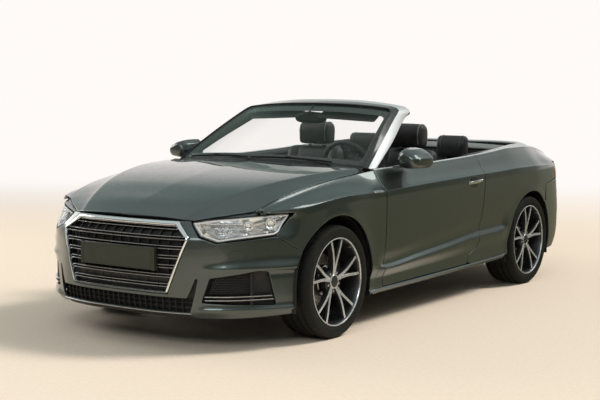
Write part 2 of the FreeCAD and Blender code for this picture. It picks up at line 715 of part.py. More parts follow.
def make_belt_trim():
    """Bright rail around the rear quarters and the folded top."""
    sections = []
    for y in (516, 800, 1071, 1323, 1500):
        edge_x = side(y, "edge_x")
        edge_z = side(y, "edge_z")
        in_x = at(REAR_TOP_ROWS, y, 1)
        in_z = at(REAR_TOP_ROWS, y, 2)
        points = ((edge_x, edge_z + 0.3), (in_x, in_z + 0.3), (in_x, in_z + 10), (edge_x - 4, edge_z + 12))
        sections.append([place(x, y, z) for x, z in points])
    side_rail = loft(sections)
    cross = along_y(((-708, 1012), (-640, 1024), (640, 1024), (708, 1012), (708, 1022), (640, 1034),
                     (-640, 1034), (-708, 1022)), 1478, 1552)
    trim = union([side_rail, mirrored(side_rail), cross])
    return largest(trim.cut(make_quarter()).cut(mirrored(make_quarter())))


# ---------------------------------------------------------------- tub
def side_core():
    """Everything just inboard of the body side skins on the left."""
    sections = []
    for y in (-1205, -945, -800, -340, 0, 414, 800, 1071, 1323, 1560, 1750):
        outer = [(x - SKIN - SEAT_CLEARANCE, z) for x, z in side_outline(y)]
        low = outer[0][1]
        high = outer[-1][1]
        sections.append([place(x, y, z) for x, z in outer + [(300, high), (300, low)]])
    return loft(sections)


RAIL_X = 400.0
PILLAR_PLATE_TOP = 856.0


def tub_side():
    """Left half of the body structure."""
    pieces = [block(620, 692, -880, 895, 165, 330)]
    pieces.append(block(692, 743.6, -880, 900, 165, 190))
    wall_out = drawn_x(FRONT_WELL_X - WELL_WALL_GAP)
    wall_in = drawn_x(FRONT_WELL_X - WELL_WALL_GAP - WELL_WALL)
    pieces.append(block(RAIL_X, wall_in, -2000, -862, 400, 480))
    pieces.append(block(wall_in, wall_out, -1760, -862, 400, STRUT_TOP))
    pieces.append(block(wall_in, 735, -1760, -862, STRUT_TOP, STRUT_TOP + TOWER_PLATE))
    pieces.append(block(690, 835, -945, -812, 258, 860))
    pieces.append(block(690, 760, -945, -812, 860, 880))
    pieces.append(along_x(((535, 330), (535, 700), (560, 930), (1030, 950), (1030, 330)), 694, 720))
    pieces.append(block(560, 720, 560, 1045, 330, 345))
    pieces.append(block(720, 880, 536, 560, 345, PILLAR_PLATE_TOP))
    back = REAR_WALL_SETBACK - SKIN
    boot_side = ((1030, 330), (1030, 960), (1540, 960), (1725, 935), (1730, 735), (back, 735), (back, 330))
    pieces.append(along_x(boot_side, 600, 612))
    return union(pieces)


def hinge_fittings():
    """Left hinge brackets and pins for the door, hood and boot lid."""
    pieces = [door_bracket(z) for z in HINGE_HEIGHTS]
    y, z = HOOD_HINGE
    pieces.append(rod(place(HOOD_HINGE_X + 18, y, z), (1, 0, 0), HINGE_PIN, 56 * WIDE))
    pieces.append(block(HOOD_HINGE_X + 16, 700, y - 9, y + 9, z - 80, z + 9))
    y, z = BOOT_HINGE
    pieces.append(rod(place(590, y, z), (1, 0, 0), HINGE_PIN, 44 * WIDE))
    pieces.append(block(599, 612, y - 8, y + 8, z - 80, z + 6))
    return pieces


NODE_GAP = 0.3
SPLIT_X = 692.0
SPLIT_Y = -862.0
SPLIT_Z = 329.7
PILLAR_REAR_Y = -811.0
DOOR_MIDDLE_Y = -150.0


def build_tub():
    """Body structure in three nodes: floor pan, front structure and rear structure."""
    middle = [block(-690, 690, -880, 572, 165, 180)]
    middle.append(along_y(((-140, 165), (-115, 330), (115, 330), (140, 165)), -880, 1000))
    firewall = ((-690, 165), (-690, 880), (-600, 880), (-560, 914), (-300, 938), (0, 946), (300, 938),
                (560, 914), (600, 880), (690, 880), (690, 165))
    wall = along_y(firewall, -880, -862)
    middle.append(wall.cut(make_cowl()))
    middle.append(block(-620, 620, 560, 572, 165, 330))
    middle.append(block(-620, 620, 560, 1045, 330, 345))
    middle.append(block(-612, 612, 1030, 1045, 330, 975))
    back = REAR_WALL_SETBACK - SKIN
    middle.append(block(-612, 612, 1030, back, 330, 345))
    middle.append(block(-612, 612, back - 14, back, 330, 690))
    middle.append(block(-500, 500, -2000, -1985, 230, 570))
    rear_beam = block(-420, 420, 2030, 2230, 460, 540)
    middle.append(rear_beam.common(plan_loft(TAIL_PLAN, TAIL_LEVELS, 1480, SKIN + SEAT_CLEARANCE)))
    nose = plan_loft(NOSE_PLAN, NOSE_LEVELS, -1490, SKIN + SEAT_CLEARANCE)
    middle.append(block(-580, 580, -2010, -1985, 462, 500))
    for x in (-580, 480):
        middle.append(block(x, x + 100, -2230, -1990, 462, 500).common(nose))
    half = tub_side()
    core = side_core()
    well = arch_well(FRONT_AXLE_Y, ARCH_RADIUS, FRONT_WELL_X, OUTSIDE_REAL)
    well = well.fuse(arch_well(REAR_AXLE_Y, REAR_ARCH_RADIUS, REAR_WELL_X, OUTSIDE_REAL))
    rear = half.common(block(0, 1000, -1205, 1740, 0, 1200)).common(core)
    front = half.common(block(0, 1000, -2300, -1205, 0, 1200))
    aft = half.common(block(0, 1000, 1740, 2300, 0, 1200))
    left = union([rear, front, aft]).cut(well)
    column = door_hinge_column(DOOR_SWEEP)
    left = left.cut(column)
    left = union([left] + hinge_fittings())
    tub = union(middle + [left, mirrored(left)])
    tub = largest(tub.cut(along_y(((-122, 150), (-100, 316), (100, 316), (122, 150)), -900, 1100)))
    floor_zone = block(-SPLIT_X, SPLIT_X, SPLIT_Y + NODE_GAP, 1200, 0, SPLIT_Z)
    sill_zone = block(SPLIT_X - 1, OUTSIDE, PILLAR_REAR_Y + NODE_GAP, 1200, 0, SPLIT_Z)
    floor_zone = floor_zone.fuse(pair(sill_zone))
    front_zone = block(-SPLIT_X - NODE_GAP, SPLIT_X + NODE_GAP, -2400, SPLIT_Y, 0, 1400)
    front_zone = front_zone.fuse(pair(block(SPLIT_X + NODE_GAP, OUTSIDE, -2400, PILLAR_REAR_Y, 0, 1400)))
    front_zone = front_zone.fuse(block(-OUTSIDE, OUTSIDE, -2400, DOOR_MIDDLE_Y, SPLIT_Z + NODE_GAP, 1400))
    rear_zone = block(-OUTSIDE, OUTSIDE, DOOR_MIDDLE_Y, 2400, SPLIT_Z + NODE_GAP, 1400)
    return [largest(tub.common(zone)) for zone in (floor_zone, front_zone, rear_zone)]


def arch_liner(axle_y, radius, x0, x1):
    outer = arch_well(axle_y, radius, x0, x1)
    inner = arch_well(axle_y, radius - LINER_WALL, x0 - 1, x1 + 1)
    keep = Part.makeBox(x1 - x0, 3 * radius, 2 * radius, Vec(x0, axle_y - 1.5 * radius, 190))
    return outer.cut(inner).common(keep)


def make_arch_liners():
    front = arch_liner(FRONT_AXLE_Y, ARCH_RADIUS - SEAT_CLEARANCE, FRONT_WELL_X + SEAT_CLEARANCE,
                       LINER_OUTER_X)
    hole_base = Vec(STRUT_X - STRUT_LEAN + 2, FRONT_AXLE_Y, WHEEL_Z + ARCH_RADIUS - 60)
    leg_hole = Part.makeCylinder(SPRING_RADIUS + 6, 100, hole_base)
    rear = arch_liner(REAR_AXLE_Y, REAR_ARCH_RADIUS - SEAT_CLEARANCE, REAR_WELL_X + SEAT_CLEARANCE,
                      LINER_OUTER_X)
    return front.cut(leg_hole), rear


# ---------------------------------------------------------------- wheels and running gear
def turned(profile, centre):
    """Ring from an (x, radius) profile turned about the wheel axis through centre."""
    points = [Vec(centre.x + x, centre.y, centre.z + radius) for x, radius in profile]
    return face(points).revolve(centre, Vec(1, 0, 0), 360)


def make_tyre(centre):
    bead = RIM_RADIUS + SEAT_CLEARANCE
    half = HALF_TYRE
    outer = [(-half + 12, bead), (-half + 12, bead + RIM_LIP), (-half, RIM_RADIUS + 40),
             (-half + 5, TYRE_RADIUS - 14), (-half + 17, TYRE_RADIUS - 3), (-half + 34, TYRE_RADIUS)]
    outer += [(-x, radius) for x, radius in reversed(outer)]
    inner = [(half - 22, bead), (half - 14, RIM_RADIUS + 40), (half - 28, TYRE_RADIUS - 14)]
    inner += [(-x, radius) for x, radius in reversed(inner)]
    return turned(outer + inner, centre)


SPOKE_PAIRS = 5
SPOKE_SPREAD = 13.0
SPOKE_ROOT = 4.0


def spoke(centre, angle, root_angle, outward):
    """One tapered spoke from the hub to the barrel."""
    def point(radius, degrees, offset):
        turn = math.radians(degrees)
        y = radius * math.cos(turn) - offset * math.sin(turn)
        z = radius * math.sin(turn) + offset * math.cos(turn)
        return Vec(0, y, z)
    inner_left = point(50, root_angle, -11)
    inner_right = point(50, root_angle, 11)
    outer_left = point(RIM_RADIUS - 9, angle, -9)
    outer_right = point(RIM_RADIUS - 9, angle, 9)
    corners = (inner_left, outer_left, outer_right, inner_right)
    near = [centre + corner + Vec(outward * 52, 0, 0) for corner in corners]
    return face(near).extrude(Vec(outward * 34, 0, 0))


def make_rim(centre, outward):
    """Rim with barrel, lips, hub, spokes in pairs and the brake disc on its inner face."""
    half = HALF_TYRE - 4
    lip = RIM_RADIUS + RIM_LIP
    barrel = turned([(-half, lip), (-half + 6, lip), (-half + 6, RIM_RADIUS), (half - 6, RIM_RADIUS),
                     (half - 6, lip), (half, lip), (half, RIM_RADIUS - 9), (half - 30, RIM_RADIUS - 13),
                     (-half, RIM_RADIUS - 9)], centre)
    hub_face = centre + Vec(outward * 60, 0, 0)
    hub = rod(hub_face, (1, 0, 0), HUB_RADIUS, HUB_REACH)
    pieces = [barrel, hub]
    for index in range(SPOKE_PAIRS):
        middle = 90 + index * 360 / SPOKE_PAIRS
        for sign in (1, -1):
            pieces.append(spoke(centre, middle + sign * SPOKE_SPREAD, middle + sign * SPOKE_ROOT, outward))
    neck = rod(centre + Vec(outward * 6, 0, 0), (1, 0, 0), HUB_RADIUS, NECK_LENGTH)
    disc = rod(centre - Vec(outward * DISC_OFFSET, 0, 0), (1, 0, 0), DISC_RADIUS, DISC_THICKNESS)
    return union(pieces + [neck, disc])


def hub_plane(outward, centre):
    """Inner end of the wheel's hub neck, where the axle flange meets it."""
    return centre.x - outward * (DISC_OFFSET + DISC_THICKNESS / 2)


def caliper(centre, outward, inner_radius, outer_radius, spread):
    """Brake caliper straddling the disc behind the axle, with its ear to the upright."""
    disc_in = centre.x - outward * (DISC_OFFSET + DISC_THICKNESS / 2 + CALIPER_GAP)
    bridge_out = centre.x - outward * (DISC_OFFSET - DISC_THICKNESS / 2 - CALIPER_REACH)
    x0, x1 = sorted((disc_in - outward * CALIPER_REACH, bridge_out))
    middle = Vec((x0 + x1) / 2, centre.y, centre.z)
    ring = rod(middle, (1, 0, 0), outer_radius, x1 - x0)
    ring = ring.cut(rod(middle, (1, 0, 0), inner_radius, x1 - x0 + 2))
    wedge = face([Vec(x0, centre.y, centre.z), Vec(x0, centre.y + 300, centre.z - spread),
                  Vec(x0, centre.y + 300, centre.z + spread + 30)]).extrude(Vec(x1 - x0, 0, 0))
    slot_middle = Vec(centre.x - outward * DISC_OFFSET, centre.y, centre.z)
    slot = rod(slot_middle, (1, 0, 0), DISC_RADIUS + 4, DISC_THICKNESS + 2 * CALIPER_GAP)
    ear = box(disc_in - outward * 14, disc_in - outward * 38, centre.y + 10, centre.y + 140,
              centre.z - 22, centre.z + 22)
    return [ring.common(wedge).cut(slot), ear]


def make_front_knuckle(centre, outward):
    """Upright between two ball joints, with axle flange, steering arm and brake caliper."""
    plane = hub_plane(outward, centre) - outward * SEAT_CLEARANCE
    kingpin = outward * KINGPIN_X
    half = KINGPIN_SIZE / 2
    upright = box(kingpin - half, kingpin + half, centre.y - 30, centre.y + 30,
                  WHEEL_Z - BALL_JOINT_HEIGHT, WHEEL_Z + BALL_JOINT_HEIGHT)
    flange_x = plane - outward * FLANGE_THICKNESS / 2
    flange = rod(Vec(flange_x, centre.y, centre.z), (1, 0, 0), FLANGE_RADIUS, FLANGE_THICKNESS)
    body_link = rod(Vec(plane - outward * 20, centre.y, centre.z), (1, 0, 0), 40, 38)
    arm = box(kingpin - outward * 12, kingpin - outward * 36, centre.y + 20, centre.y + 150,
              centre.z - 80, centre.z - 50)
    return union([upright, flange, body_link, arm] + caliper(centre, outward, 106, 196, 120))


def make_front_suspension():
    """Subframe, lower arms, strut legs with springs and their ball-joint carriers."""
    axle = FRONT_AXLE_Y
    arm_z = FRONT_ARM_Z
    inner_x = SUBFRAME_HALF - 10
    pieces = [box(-SUBFRAME_HALF, SUBFRAME_HALF, axle - 20, axle + 170, arm_z - 10, SUBFRAME_TOP)]
    for sign in (1, -1):
        pin_x = sign * KINGPIN_X
        arm = face([Vec(sign * inner_x, axle - 30, arm_z), Vec(sign * inner_x, axle + 150, arm_z),
                    Vec(pin_x, axle + 24, arm_z), Vec(pin_x, axle - 24, arm_z)]).extrude(Vec(0, 0, 18))
        joint = Part.makeCylinder(STRUT_RADIUS, LOWER_JOINT_Z - arm_z + 4, Vec(pin_x, axle, arm_z - 4))
        carrier = box(sign * (STRUT_X - 14), sign * (KINGPIN_X + 8), axle - 14, axle + 14,
                      UPPER_JOINT_Z, UPPER_JOINT_Z + 26)
        leg_top = Vec(sign * (STRUT_X - STRUT_LEAN), axle, SPRING_TOP - 9)
        leg = tube(Vec(sign * STRUT_X, axle, UPPER_JOINT_Z), leg_top, STRUT_RADIUS)
        spring = Part.makeCylinder(SPRING_RADIUS, SPRING_TOP - SPRING_BASE,
                                   Vec(sign * (STRUT_X - STRUT_LEAN + 2), axle, SPRING_BASE))
        pieces += [arm, joint, carrier, leg, spring]
    return union(pieces)


def make_rear_suspension():
    """Subframe, arms, springs, wheel carriers and calipers."""
    axle = REAR_AXLE_Y
    inner_x = 330.0
    pieces = [box(-350, 350, axle - 130, axle + 130, 200, 260)]
    for sign in (1, -1):
        centre = Vec(sign * REAR_WHEEL_X, axle, WHEEL_Z)
        plane = hub_plane(sign, centre) - sign * SEAT_CLEARANCE
        carrier_x = sign * (REAR_WHEEL_X - 94)
        inboard = carrier_x - sign * 34
        flange_x = plane - sign * FLANGE_THICKNESS / 2
        flange = rod(Vec(flange_x, axle, WHEEL_Z), (1, 0, 0), FLANGE_RADIUS, FLANGE_THICKNESS)
        carrier = box(carrier_x, inboard, axle - 45, axle + 45, 190, WHEEL_Z + 116.5)
        link = rod(Vec(carrier_x + sign * 12, axle, WHEEL_Z), (1, 0, 0), 40, 60)
        arm = box(sign * inner_x, inboard + sign * 26, axle - 35, axle + 35, 200, 226)
        upper = box(sign * inner_x, inboard + sign * 26, axle - 75, axle - 25, 292, 314)
        post = box(sign * inner_x, sign * (inner_x + 24), axle - 75, axle - 25, 214, 314)
        spring = Part.makeCylinder(SPRING_RADIUS, FLOOR_BOOT_Z * TALL - SEAT_CLEARANCE - 220,
                                   Vec(sign * 430, axle + 20, 220))
        reach = REAR_ARCH_RADIUS - LINER_WALL - 2 * SEAT_CLEARANCE
        trail_x = carrier_x - sign * 54
        trailing = box(trail_x, trail_x + sign * 26, axle - reach, axle, 215, 275)
        elbow = box(trail_x, trail_x + sign * 40, axle - 30, axle + 30, 215, 275)
        pieces += [flange, carrier, link, arm, upper, post, spring, trailing, elbow]
        pieces += caliper(centre, sign, 112, 192, 90)
    return union(pieces)


def make_exhaust():
    """Pipe in the tunnel, silencer across the tail and two tips on the left."""
    pipe = tube(Vec(0, -900 * LONG, 285), Vec(0, 1780 * LONG, 285), 24)
    silencer = rod(Vec(0, 1780 * LONG, 250), (1, 0, 0), 62, 900)
    hanger = Part.makeBox(16, 40, 330 * TALL - SEAT_CLEARANCE - 250, Vec(-200, 1780 * LONG - 20, 250))
    pieces = [pipe, silencer, hanger]
    for x in TIP_PLACES:
        outside = tube(Vec(x, 1780 * LONG, TIP_HEIGHT), Vec(x, 2165 * LONG, TIP_HEIGHT), TIP_RADIUS)
        bore = tube(Vec(x, 1900 * LONG, TIP_HEIGHT), Vec(x, 2170 * LONG, TIP_HEIGHT), TIP_RADIUS - 3)
        pieces.append(outside.cut(bore))
    return union(pieces)


# ---------------------------------------------------------------- cabin
def leaning(outline, x0, x1, radius):
    """Soft block from a (y, z) side outline, its edges rounded."""
    body = along_x(outline, x0, x1)
    return body.makeFillet(radius, body.Edges)


SEAT_X = 380.0
SEAT_HALF = 232.0
FRONT_PILLOW_HALF = 135.0
REAR_PILLOW_HALF = 125.0


def make_front_seat_bases():
    pieces = []
    for sign in (1, -1):
        x0, x1 = sorted((sign * (SEAT_X - 190), sign * (SEAT_X + 190)))
        plinth = block(x0, x1, -250, 240, 180.2, 299.7)
        hollow = block(x0 + 30, x1 - 30, -260, 250, 182, 270)
        pieces.append(plinth.cut(hollow))
    return Part.makeCompound(pieces)


def make_front_cushions():
    outline = ((-345, 300), (-345, 440), (-300, 470), (120, 425), (120, 300))
    return pair(leaning(outline, SEAT_X - SEAT_HALF, SEAT_X + SEAT_HALF, 22))


def make_front_backs():
    outline = ((124, 300), (124, 500), (262, 1010), (372, 1012), (300, 600), (262, 300))
    return pair(leaning(outline, SEAT_X - SEAT_HALF - 6, SEAT_X + SEAT_HALF + 6, 24))


def make_front_headrests():
    outline = ((272, 1040), (262, 1120), (290, 1180), (360, 1180), (392, 1120), (380, 1040))
    pillow = leaning(outline, SEAT_X - FRONT_PILLOW_HALF, SEAT_X + FRONT_PILLOW_HALF, 20)
    posts = [tube(place(SEAT_X + x, 324, 1011.2), place(SEAT_X + x, 324, 1075), 7) for x in (-60, 60)]
    return pair(union([pillow] + posts))


def make_rear_seat():
    """Bench cushion, backrest and two headrests."""
    bench = leaning(((575, 345.3), (575, 470), (610, 500), (900, 450), (900, 345.3)), -585, 585, 22)
    back = leaning(((905, 345.3), (905, 470), (970, 930), (1024, 930), (1024, 345.3)), -560, 560, 12)
    pieces = [bench, back]
    for sign in (1, -1):
        middle = sign * SEAT_X
        outline = ((935, 975), (930, 1050), (955, 1085), (1000, 1085), (1015, 1040), (1010, 975))
        pillow = leaning(outline, middle - REAR_PILLOW_HALF, middle + REAR_PILLOW_HALF, 14)
        posts = [tube(place(middle + x, 978, 930.3), place(middle + x, 978, 990), 6) for x in (-50, 50)]
        pieces.append(union([pillow] + posts))
    return pieces


def make_dashboard():
    outline = ((-861.7, 560), (-861.7, 876), (-800, 884), (-700, 900), (-600, 890), (-540, 850), (-510, 760),
               (-530, 650), (-640, 560))
    body = along_x(outline, -656, 656)
    hood_outline = ((-690, 860), (-680, 938), (-575, 946), (-535, 900), (-545, 830))
    binnacle = along_x(hood_outline, SEAT_X - 170, SEAT_X + 170)
    inside = ((-840, 580), (-840, 858), (-780, 866), (-640, 820), (-600, 740), (-620, 660), (-700, 580))
    hollow = along_x(inside, -640, 640)
    start = place(*STEERING_CENTRE)
    column_room = Part.makeCylinder(34 + SEAT_CLEARANCE, 600, start - steering_axis() * 600, steering_axis())
    return largest(union([body, binnacle]).cut(hollow).cut(column_room))


def steering_axis():
    tilt = math.radians(STEERING_TILT)
    return Vec(0, math.cos(tilt), math.sin(tilt))


STEERING_CENTRE = (SEAT_X, -435.0, 905.0)
COLUMN_TOP = 60.0


def make_steering_wheel():
    centre = place(*STEERING_CENTRE)
    axis = steering_axis()
    rim = Part.makeTorus(STEERING_WHEEL_RADIUS, STEERING_RIM_RADIUS, centre, axis)
    hub = Part.makeCylinder(62, 50, centre - axis * 40, axis)
    shaft = Part.makeCylinder(20, 30, centre - axis * COLUMN_TOP, axis)
    across = Vec(1, 0, 0)
    down = axis.cross(across)
    spokes = []
    for way, width in ((across, 40), (across * -1, 40), (down, 46)):
        start = centre - axis * 22
        half = way.cross(axis) * (width / 2)
        corners = [start + half, start - half, start - half + way * STEERING_WHEEL_RADIUS,
                   start + half + way * STEERING_WHEEL_RADIUS]
        spokes.append(face(corners).extrude(axis * 20))
    return union([rim, hub, shaft] + spokes)


def make_steering_column():
    centre = place(*STEERING_CENTRE)
    axis = steering_axis()
    start = centre - axis * (COLUMN_TOP + SEAT_CLEARANCE)
    column = Part.makeCylinder(34, 90, start - axis * 90, axis)
    shaft = Part.makeCylinder(14, 320, start - axis * 370, axis)
    stalks = tube(start - axis * 16 - Vec(120, 0, 0), start - axis * 16 + Vec(120, 0, 0), 8)
    return union([column, shaft, stalks])


def make_console():
    """Centre console with two cup wells and the gear lever."""
    outline = ((-505, 330.3), (-505, 620), (-480, 650), (-420, 560), (-300, 520), (250, 520), (250, 330.3))
    body = along_x(outline, -112, 112)
    for y in (-120, -25):
        body = body.cut(Part.makeCylinder(37, 90, place(-45, y, 440)))
    tray = block(-80, 80, 60, 230, 430, 600)
    lever = tube(place(30, -220, 500), place(30, -228, 610), 12)
    knob = Part.makeSphere(26, place(30, -229, 625))
    return union([body.cut(tray), lever, knob])


def make_interior_mirror():
    body = block(-125, 125, -345, -310, 1185, 1250)
    stem = tube(place(0, -328, 1240), place(0, -330, 1268), 12)
    return body.fuse(stem)


def hood_rear(x):
    """Plan position of the hood's rear edge at x."""
    edge = sorted(point for point in HOOD_PLAN if point[1] > -946)
    return at([(0, -950)] + edge, abs(x), 1)


def make_cowl():
    """Cowl tray below the hood's rear edge with two parked wipers on it."""
    sections = []
    for x in (-684, -560, -300, 0, 300, 560, 684):
        base_y = at(GLASS_ROWS, abs(x), 1)
        base_z = at(GLASS_ROWS, abs(x), 2)
        front = hood_rear(x) + 8
        top = base_z - 14
        back = base_y + 60
        outline = ((front, top - 26), (back, top), (back, top - 16), (front, top - 34))
        sections.append([place(x, y, z) for y, z in outline])
    tray = loft(sections)
    for sign in (1, -1):
        tray = tray.cut(block(*sorted((sign * 625, sign * 720)), -960, -805, 820, 990))
    return tray


def make_wipers():
    """Two parked wiper arms with blades, just above the cowl."""
    pieces = []
    for x0, x1 in ((560, -20), (-60, -600)):
        sections = []
        for share in (0, 0.25, 0.5, 0.75, 1):
            x = x0 + share * (x1 - x0)
            y = hood_rear(x) + 20
            z = at(GLASS_ROWS, abs(x), 2) - 19
            outline = ((y - 4, z), (y + 4, z), (y + 4, z + 8), (y - 4, z + 8))
            sections.append([place(x, v, w) for v, w in outline])
        foot_y = hood_rear(x0) + 20
        foot_z = at(GLASS_ROWS, abs(x0), 2) - 13
        foot = block(x0 - 12, x0, foot_y - 4, foot_y + 8, foot_z - 50, foot_z)
        pieces.append(largest(union([loft(sections), foot]).cut(make_cowl())))
    return Part.makeCompound(pieces)


def make_mirror():
    """Door mirror: housing on a short foot."""
    outline = ((842, -560), (860, -588), (930, -592), (985, -560), (990, -500), (975, -452), (850, -452))
    housing = along_z(outline, 924, 1060)
    housing = housing.makeFillet(26, housing.Edges)
    foot = along_x(((-640, 884), (-540, 892), (-540, 950), (-600, 950)), 812, 880)
    return foot.fuse(housing)


def make_handle():
    grip = along_x(((250, 822), (430, 806), (430, 784), (250, 800)), 893, 908)
    feet = [block(882, 898, y, y + 24, 796, 812) for y in (262, 400)]
    return union([grip] + feet)


def make_folded_top():
    outline = ((1036, 975.3), (1036, 998), (1090, 1008), (1470, 1018), (1470, 975.3))
    half = ((0, 1036), (560, 1036), (700, 1070), (668, 1323), (622, 1470), (0, 1470))
    body = along_x(outline, -720, 720).common(along_z(both_halves(half), 850, 1100))
    return largest(body.cut(make_quarter()).cut(mirrored(make_quarter())))


ENGINE_HALF = 330.0
ENGINE_FRONT = -1790.0
ENGINE_REAR = -1180.0
ENGINE_TOP = 765.0


def make_engine():
    """One plain block that stands on the front subframe."""
    return box(-ENGINE_HALF * WIDE, ENGINE_HALF * WIDE, ENGINE_FRONT * LONG, ENGINE_REAR * LONG,
               SUBFRAME_TOP + SEAT_CLEARANCE, ENGINE_TOP * TALL)


def make_fuel_tank():
    """Tank under the rear seat, just below the rear floor."""
    return block(-560, -150, 600, 1000, 190, FLOOR_BOOT_Z - SEAT_CLEARANCE)


def write(name, shape):
    clean = solids_of(shape)
    clean.exportStep("parts/" + name + ".step")
    print(name, len(shape.Solids), round(shape.Volume / 1e6, 2), "l", shape.isValid())


def main():
    os.makedirs("parts", exist_ok=True)
    door = make_door()
    mirror = make_mirror().cut(door)
    handle = make_handle().cut(door)
    fender = make_fender()
    front_liner, rear_liner = make_arch_liners()
    floor_pan, front_structure, rear_structure = build_tub()
    nodes = {
        "floor_pan": floor_pan,
        "front_structure": front_structure,
        "rear_structure": rear_structure,
        "engine_block": make_engine(),
        "front_bumper": make_front_bumper(),
        "grille_frame": make_grille_frame(),
        "grille_insert": make_grille_insert(),
        "intake_grilles": make_intake_grilles(),
        "headlamps": make_headlamps(),
        "front_fenders": pair(fender),
        "side_sills": pair(make_sill()),
        "rear_quarters": pair(make_quarter()),
        "rear_bumper": build_rear_bumper(),
        "tail_lamps": make_tail_lamps(),
        "hood": make_hood(),
        "boot_lid": make_boot_lid(),
        "windscreen_glass": make_windscreen_glass(),
        "windscreen_frame": make_windscreen_frame(),
        "cowl": make_cowl(),
        "wipers": make_wipers(),
        "belt_trim": make_belt_trim(),
        "folded_top": make_folded_top(),
        "left_door": door,
        "right_door": mirrored(door),
        "left_door_mirror": mirror,
        "right_door_mirror": mirrored(mirror),
        "left_door_handle": handle,
        "right_door_handle": mirrored(handle),
        "front_arch_liners": pair(front_liner),
        "rear_arch_liners": pair(rear_liner),
        "front_suspension": make_front_suspension(),
        "rear_suspension": make_rear_suspension(),
        "exhaust": make_exhaust(),
        "fuel_tank": make_fuel_tank(),
        "front_seat_bases": make_front_seat_bases(),
        "front_seat_cushions": make_front_cushions(),
        "front_seat_backs": make_front_backs(),
        "front_headrests": make_front_headrests(),
        "rear_seat": Part.makeCompound(make_rear_seat()),
        "dashboard": make_dashboard(),
        "steering_column": make_steering_column(),
        "steering_wheel": make_steering_wheel(),
        "centre_console": make_console(),
        "interior_mirror": make_interior_mirror(),
    }
    for name, outward in (("left", 1), ("right", -1)):
        front = Vec(outward * FRONT_WHEEL_X, FRONT_AXLE_Y, WHEEL_Z)
        rear = Vec(outward * REAR_WHEEL_X, REAR_AXLE_Y, WHEEL_Z)
        nodes["front_" + name + "_tyre"] = make_tyre(front)
        nodes["front_" + name + "_rim"] = make_rim(front, outward)
        nodes["rear_" + name + "_tyre"] = make_tyre(rear)
        nodes["rear_" + name + "_rim"] = make_rim(rear, outward)
        nodes["front_" + name + "_knuckle"] = make_front_knuckle(front, outward)
    for name, shape in nodes.items():
        write(name, shape)


main()
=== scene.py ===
"""Looks of the compact convertible: smooth body panels, wheels, lamps, cabin and studio."""
import bpy
import math
import numpy as np
from mathutils import Matrix, Vector, geometry
from mathutils.bvhtree import BVHTree


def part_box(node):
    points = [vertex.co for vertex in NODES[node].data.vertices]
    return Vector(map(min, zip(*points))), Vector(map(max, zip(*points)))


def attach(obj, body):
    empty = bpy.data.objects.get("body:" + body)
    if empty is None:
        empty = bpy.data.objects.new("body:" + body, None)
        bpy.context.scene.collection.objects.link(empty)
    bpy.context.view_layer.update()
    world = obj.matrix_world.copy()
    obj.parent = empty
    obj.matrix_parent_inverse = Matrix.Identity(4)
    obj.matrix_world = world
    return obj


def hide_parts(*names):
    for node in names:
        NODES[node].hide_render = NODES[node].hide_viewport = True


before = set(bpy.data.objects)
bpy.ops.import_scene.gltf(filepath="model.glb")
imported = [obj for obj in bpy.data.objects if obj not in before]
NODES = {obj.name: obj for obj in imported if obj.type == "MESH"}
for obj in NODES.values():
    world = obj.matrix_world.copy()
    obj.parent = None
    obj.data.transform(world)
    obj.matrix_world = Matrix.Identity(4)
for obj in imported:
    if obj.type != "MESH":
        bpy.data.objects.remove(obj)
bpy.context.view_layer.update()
MM = 0.001
LEFT, RIGHT = 1, -1

# ---------------------------------------------------------------- styling tables, millimetres
SIDE_COLUMNS = ("y", "wide_x", "low_z", "blade_z", "line_z", "edge_x", "edge_z")
SIDE_ROWS = np.array((
    (-1875, 757, 236, 400, 742, 692, 752), (-1695, 849, 232, 400, 765, 730, 810),
    (-1455, 889, 228, 400, 797, 750, 858), (-1205, 893, 226, 398, 814, 757, 890),
    (-945, 886, 224, 380, 814, 764, 912), (-800, 886, 226, 369, 817, 785, 927),
    (-340, 887, 232, 404, 832, 797, 938), (0, 888, 238, 432, 842, 800, 948),
    (414, 889, 246, 469, 853, 801, 964), (800, 891, 254, 480, 862, 797, 985),
    (1071, 893, 256, 480, 870, 790, 1001), (1323, 892, 256, 480, 871, 778, 1002),
    (1560, 876, 250, 470, 867, 752, 988), (1750, 850, 250, 460, 858, 722, 962),
    (1930, 800, 250, 450, 845, 684, 925), (2050, 724, 250, 440, 828, 636, 898)), float)
TOP_ROWS = np.array(((440, 746, 962), (500, 742, 966), (800, 738, 988), (1071, 716, 1006), (1323, 680, 1017),
                     (1560, 626, 1014), (1750, 600, 996), (1930, 584, 972), (2050, 572, 952)), float)
HOOD_ROWS = np.array((
    (-2122, 714, 352, 690, 640, 640), (-1985, 783, 415, 757, 690, 700), (-1872, 818, 465, 800, 700, 751),
    (-1693, 868, 535, 853, 732, 810), (-1455, 911, 612, 898, 752, 858), (-1200, 942, 672, 927, 759, 890),
    (-945, 963, 715, 938, 766, 912), (-850, 966, 730, 940, 772, 920)), float)
BOOT_ROWS = np.array(((1575, 1030, 400, 1030, 700, 1012), (1750, 1026, 400, 1018, 690, 984),
                      (1930, 1010, 400, 998, 680, 956), (2060, 992, 400, 974, 660, 930),
                      (2125, 984, 400, 962, 640, 915)), float)
NOSE_PLAN = np.array(((0, -2211.5), (220, -2203), (400, -2170), (520, -2120), (620, -2055), (710, -1955),
                      (790, -1825), (848, -1700), (884, -1560)), float)
NOSE_LEVELS = np.array(((172, 62), (205, 18), (300, 2), (450, 0), (600, 8), (655, 50), (705, 92), (752, 130)), float)
TAIL_PLAN = np.array(((0, 2211.5), (250, 2202), (500, 2152), (640, 2100), (730, 2035), (800, 1935), (850, 1770),
                      (884, 1520)), float)
TAIL_LEVELS = np.array(((222, 130), (300, 40), (380, 8), (500, 0), (620, 22), (700, 42), (738, 52)), float)
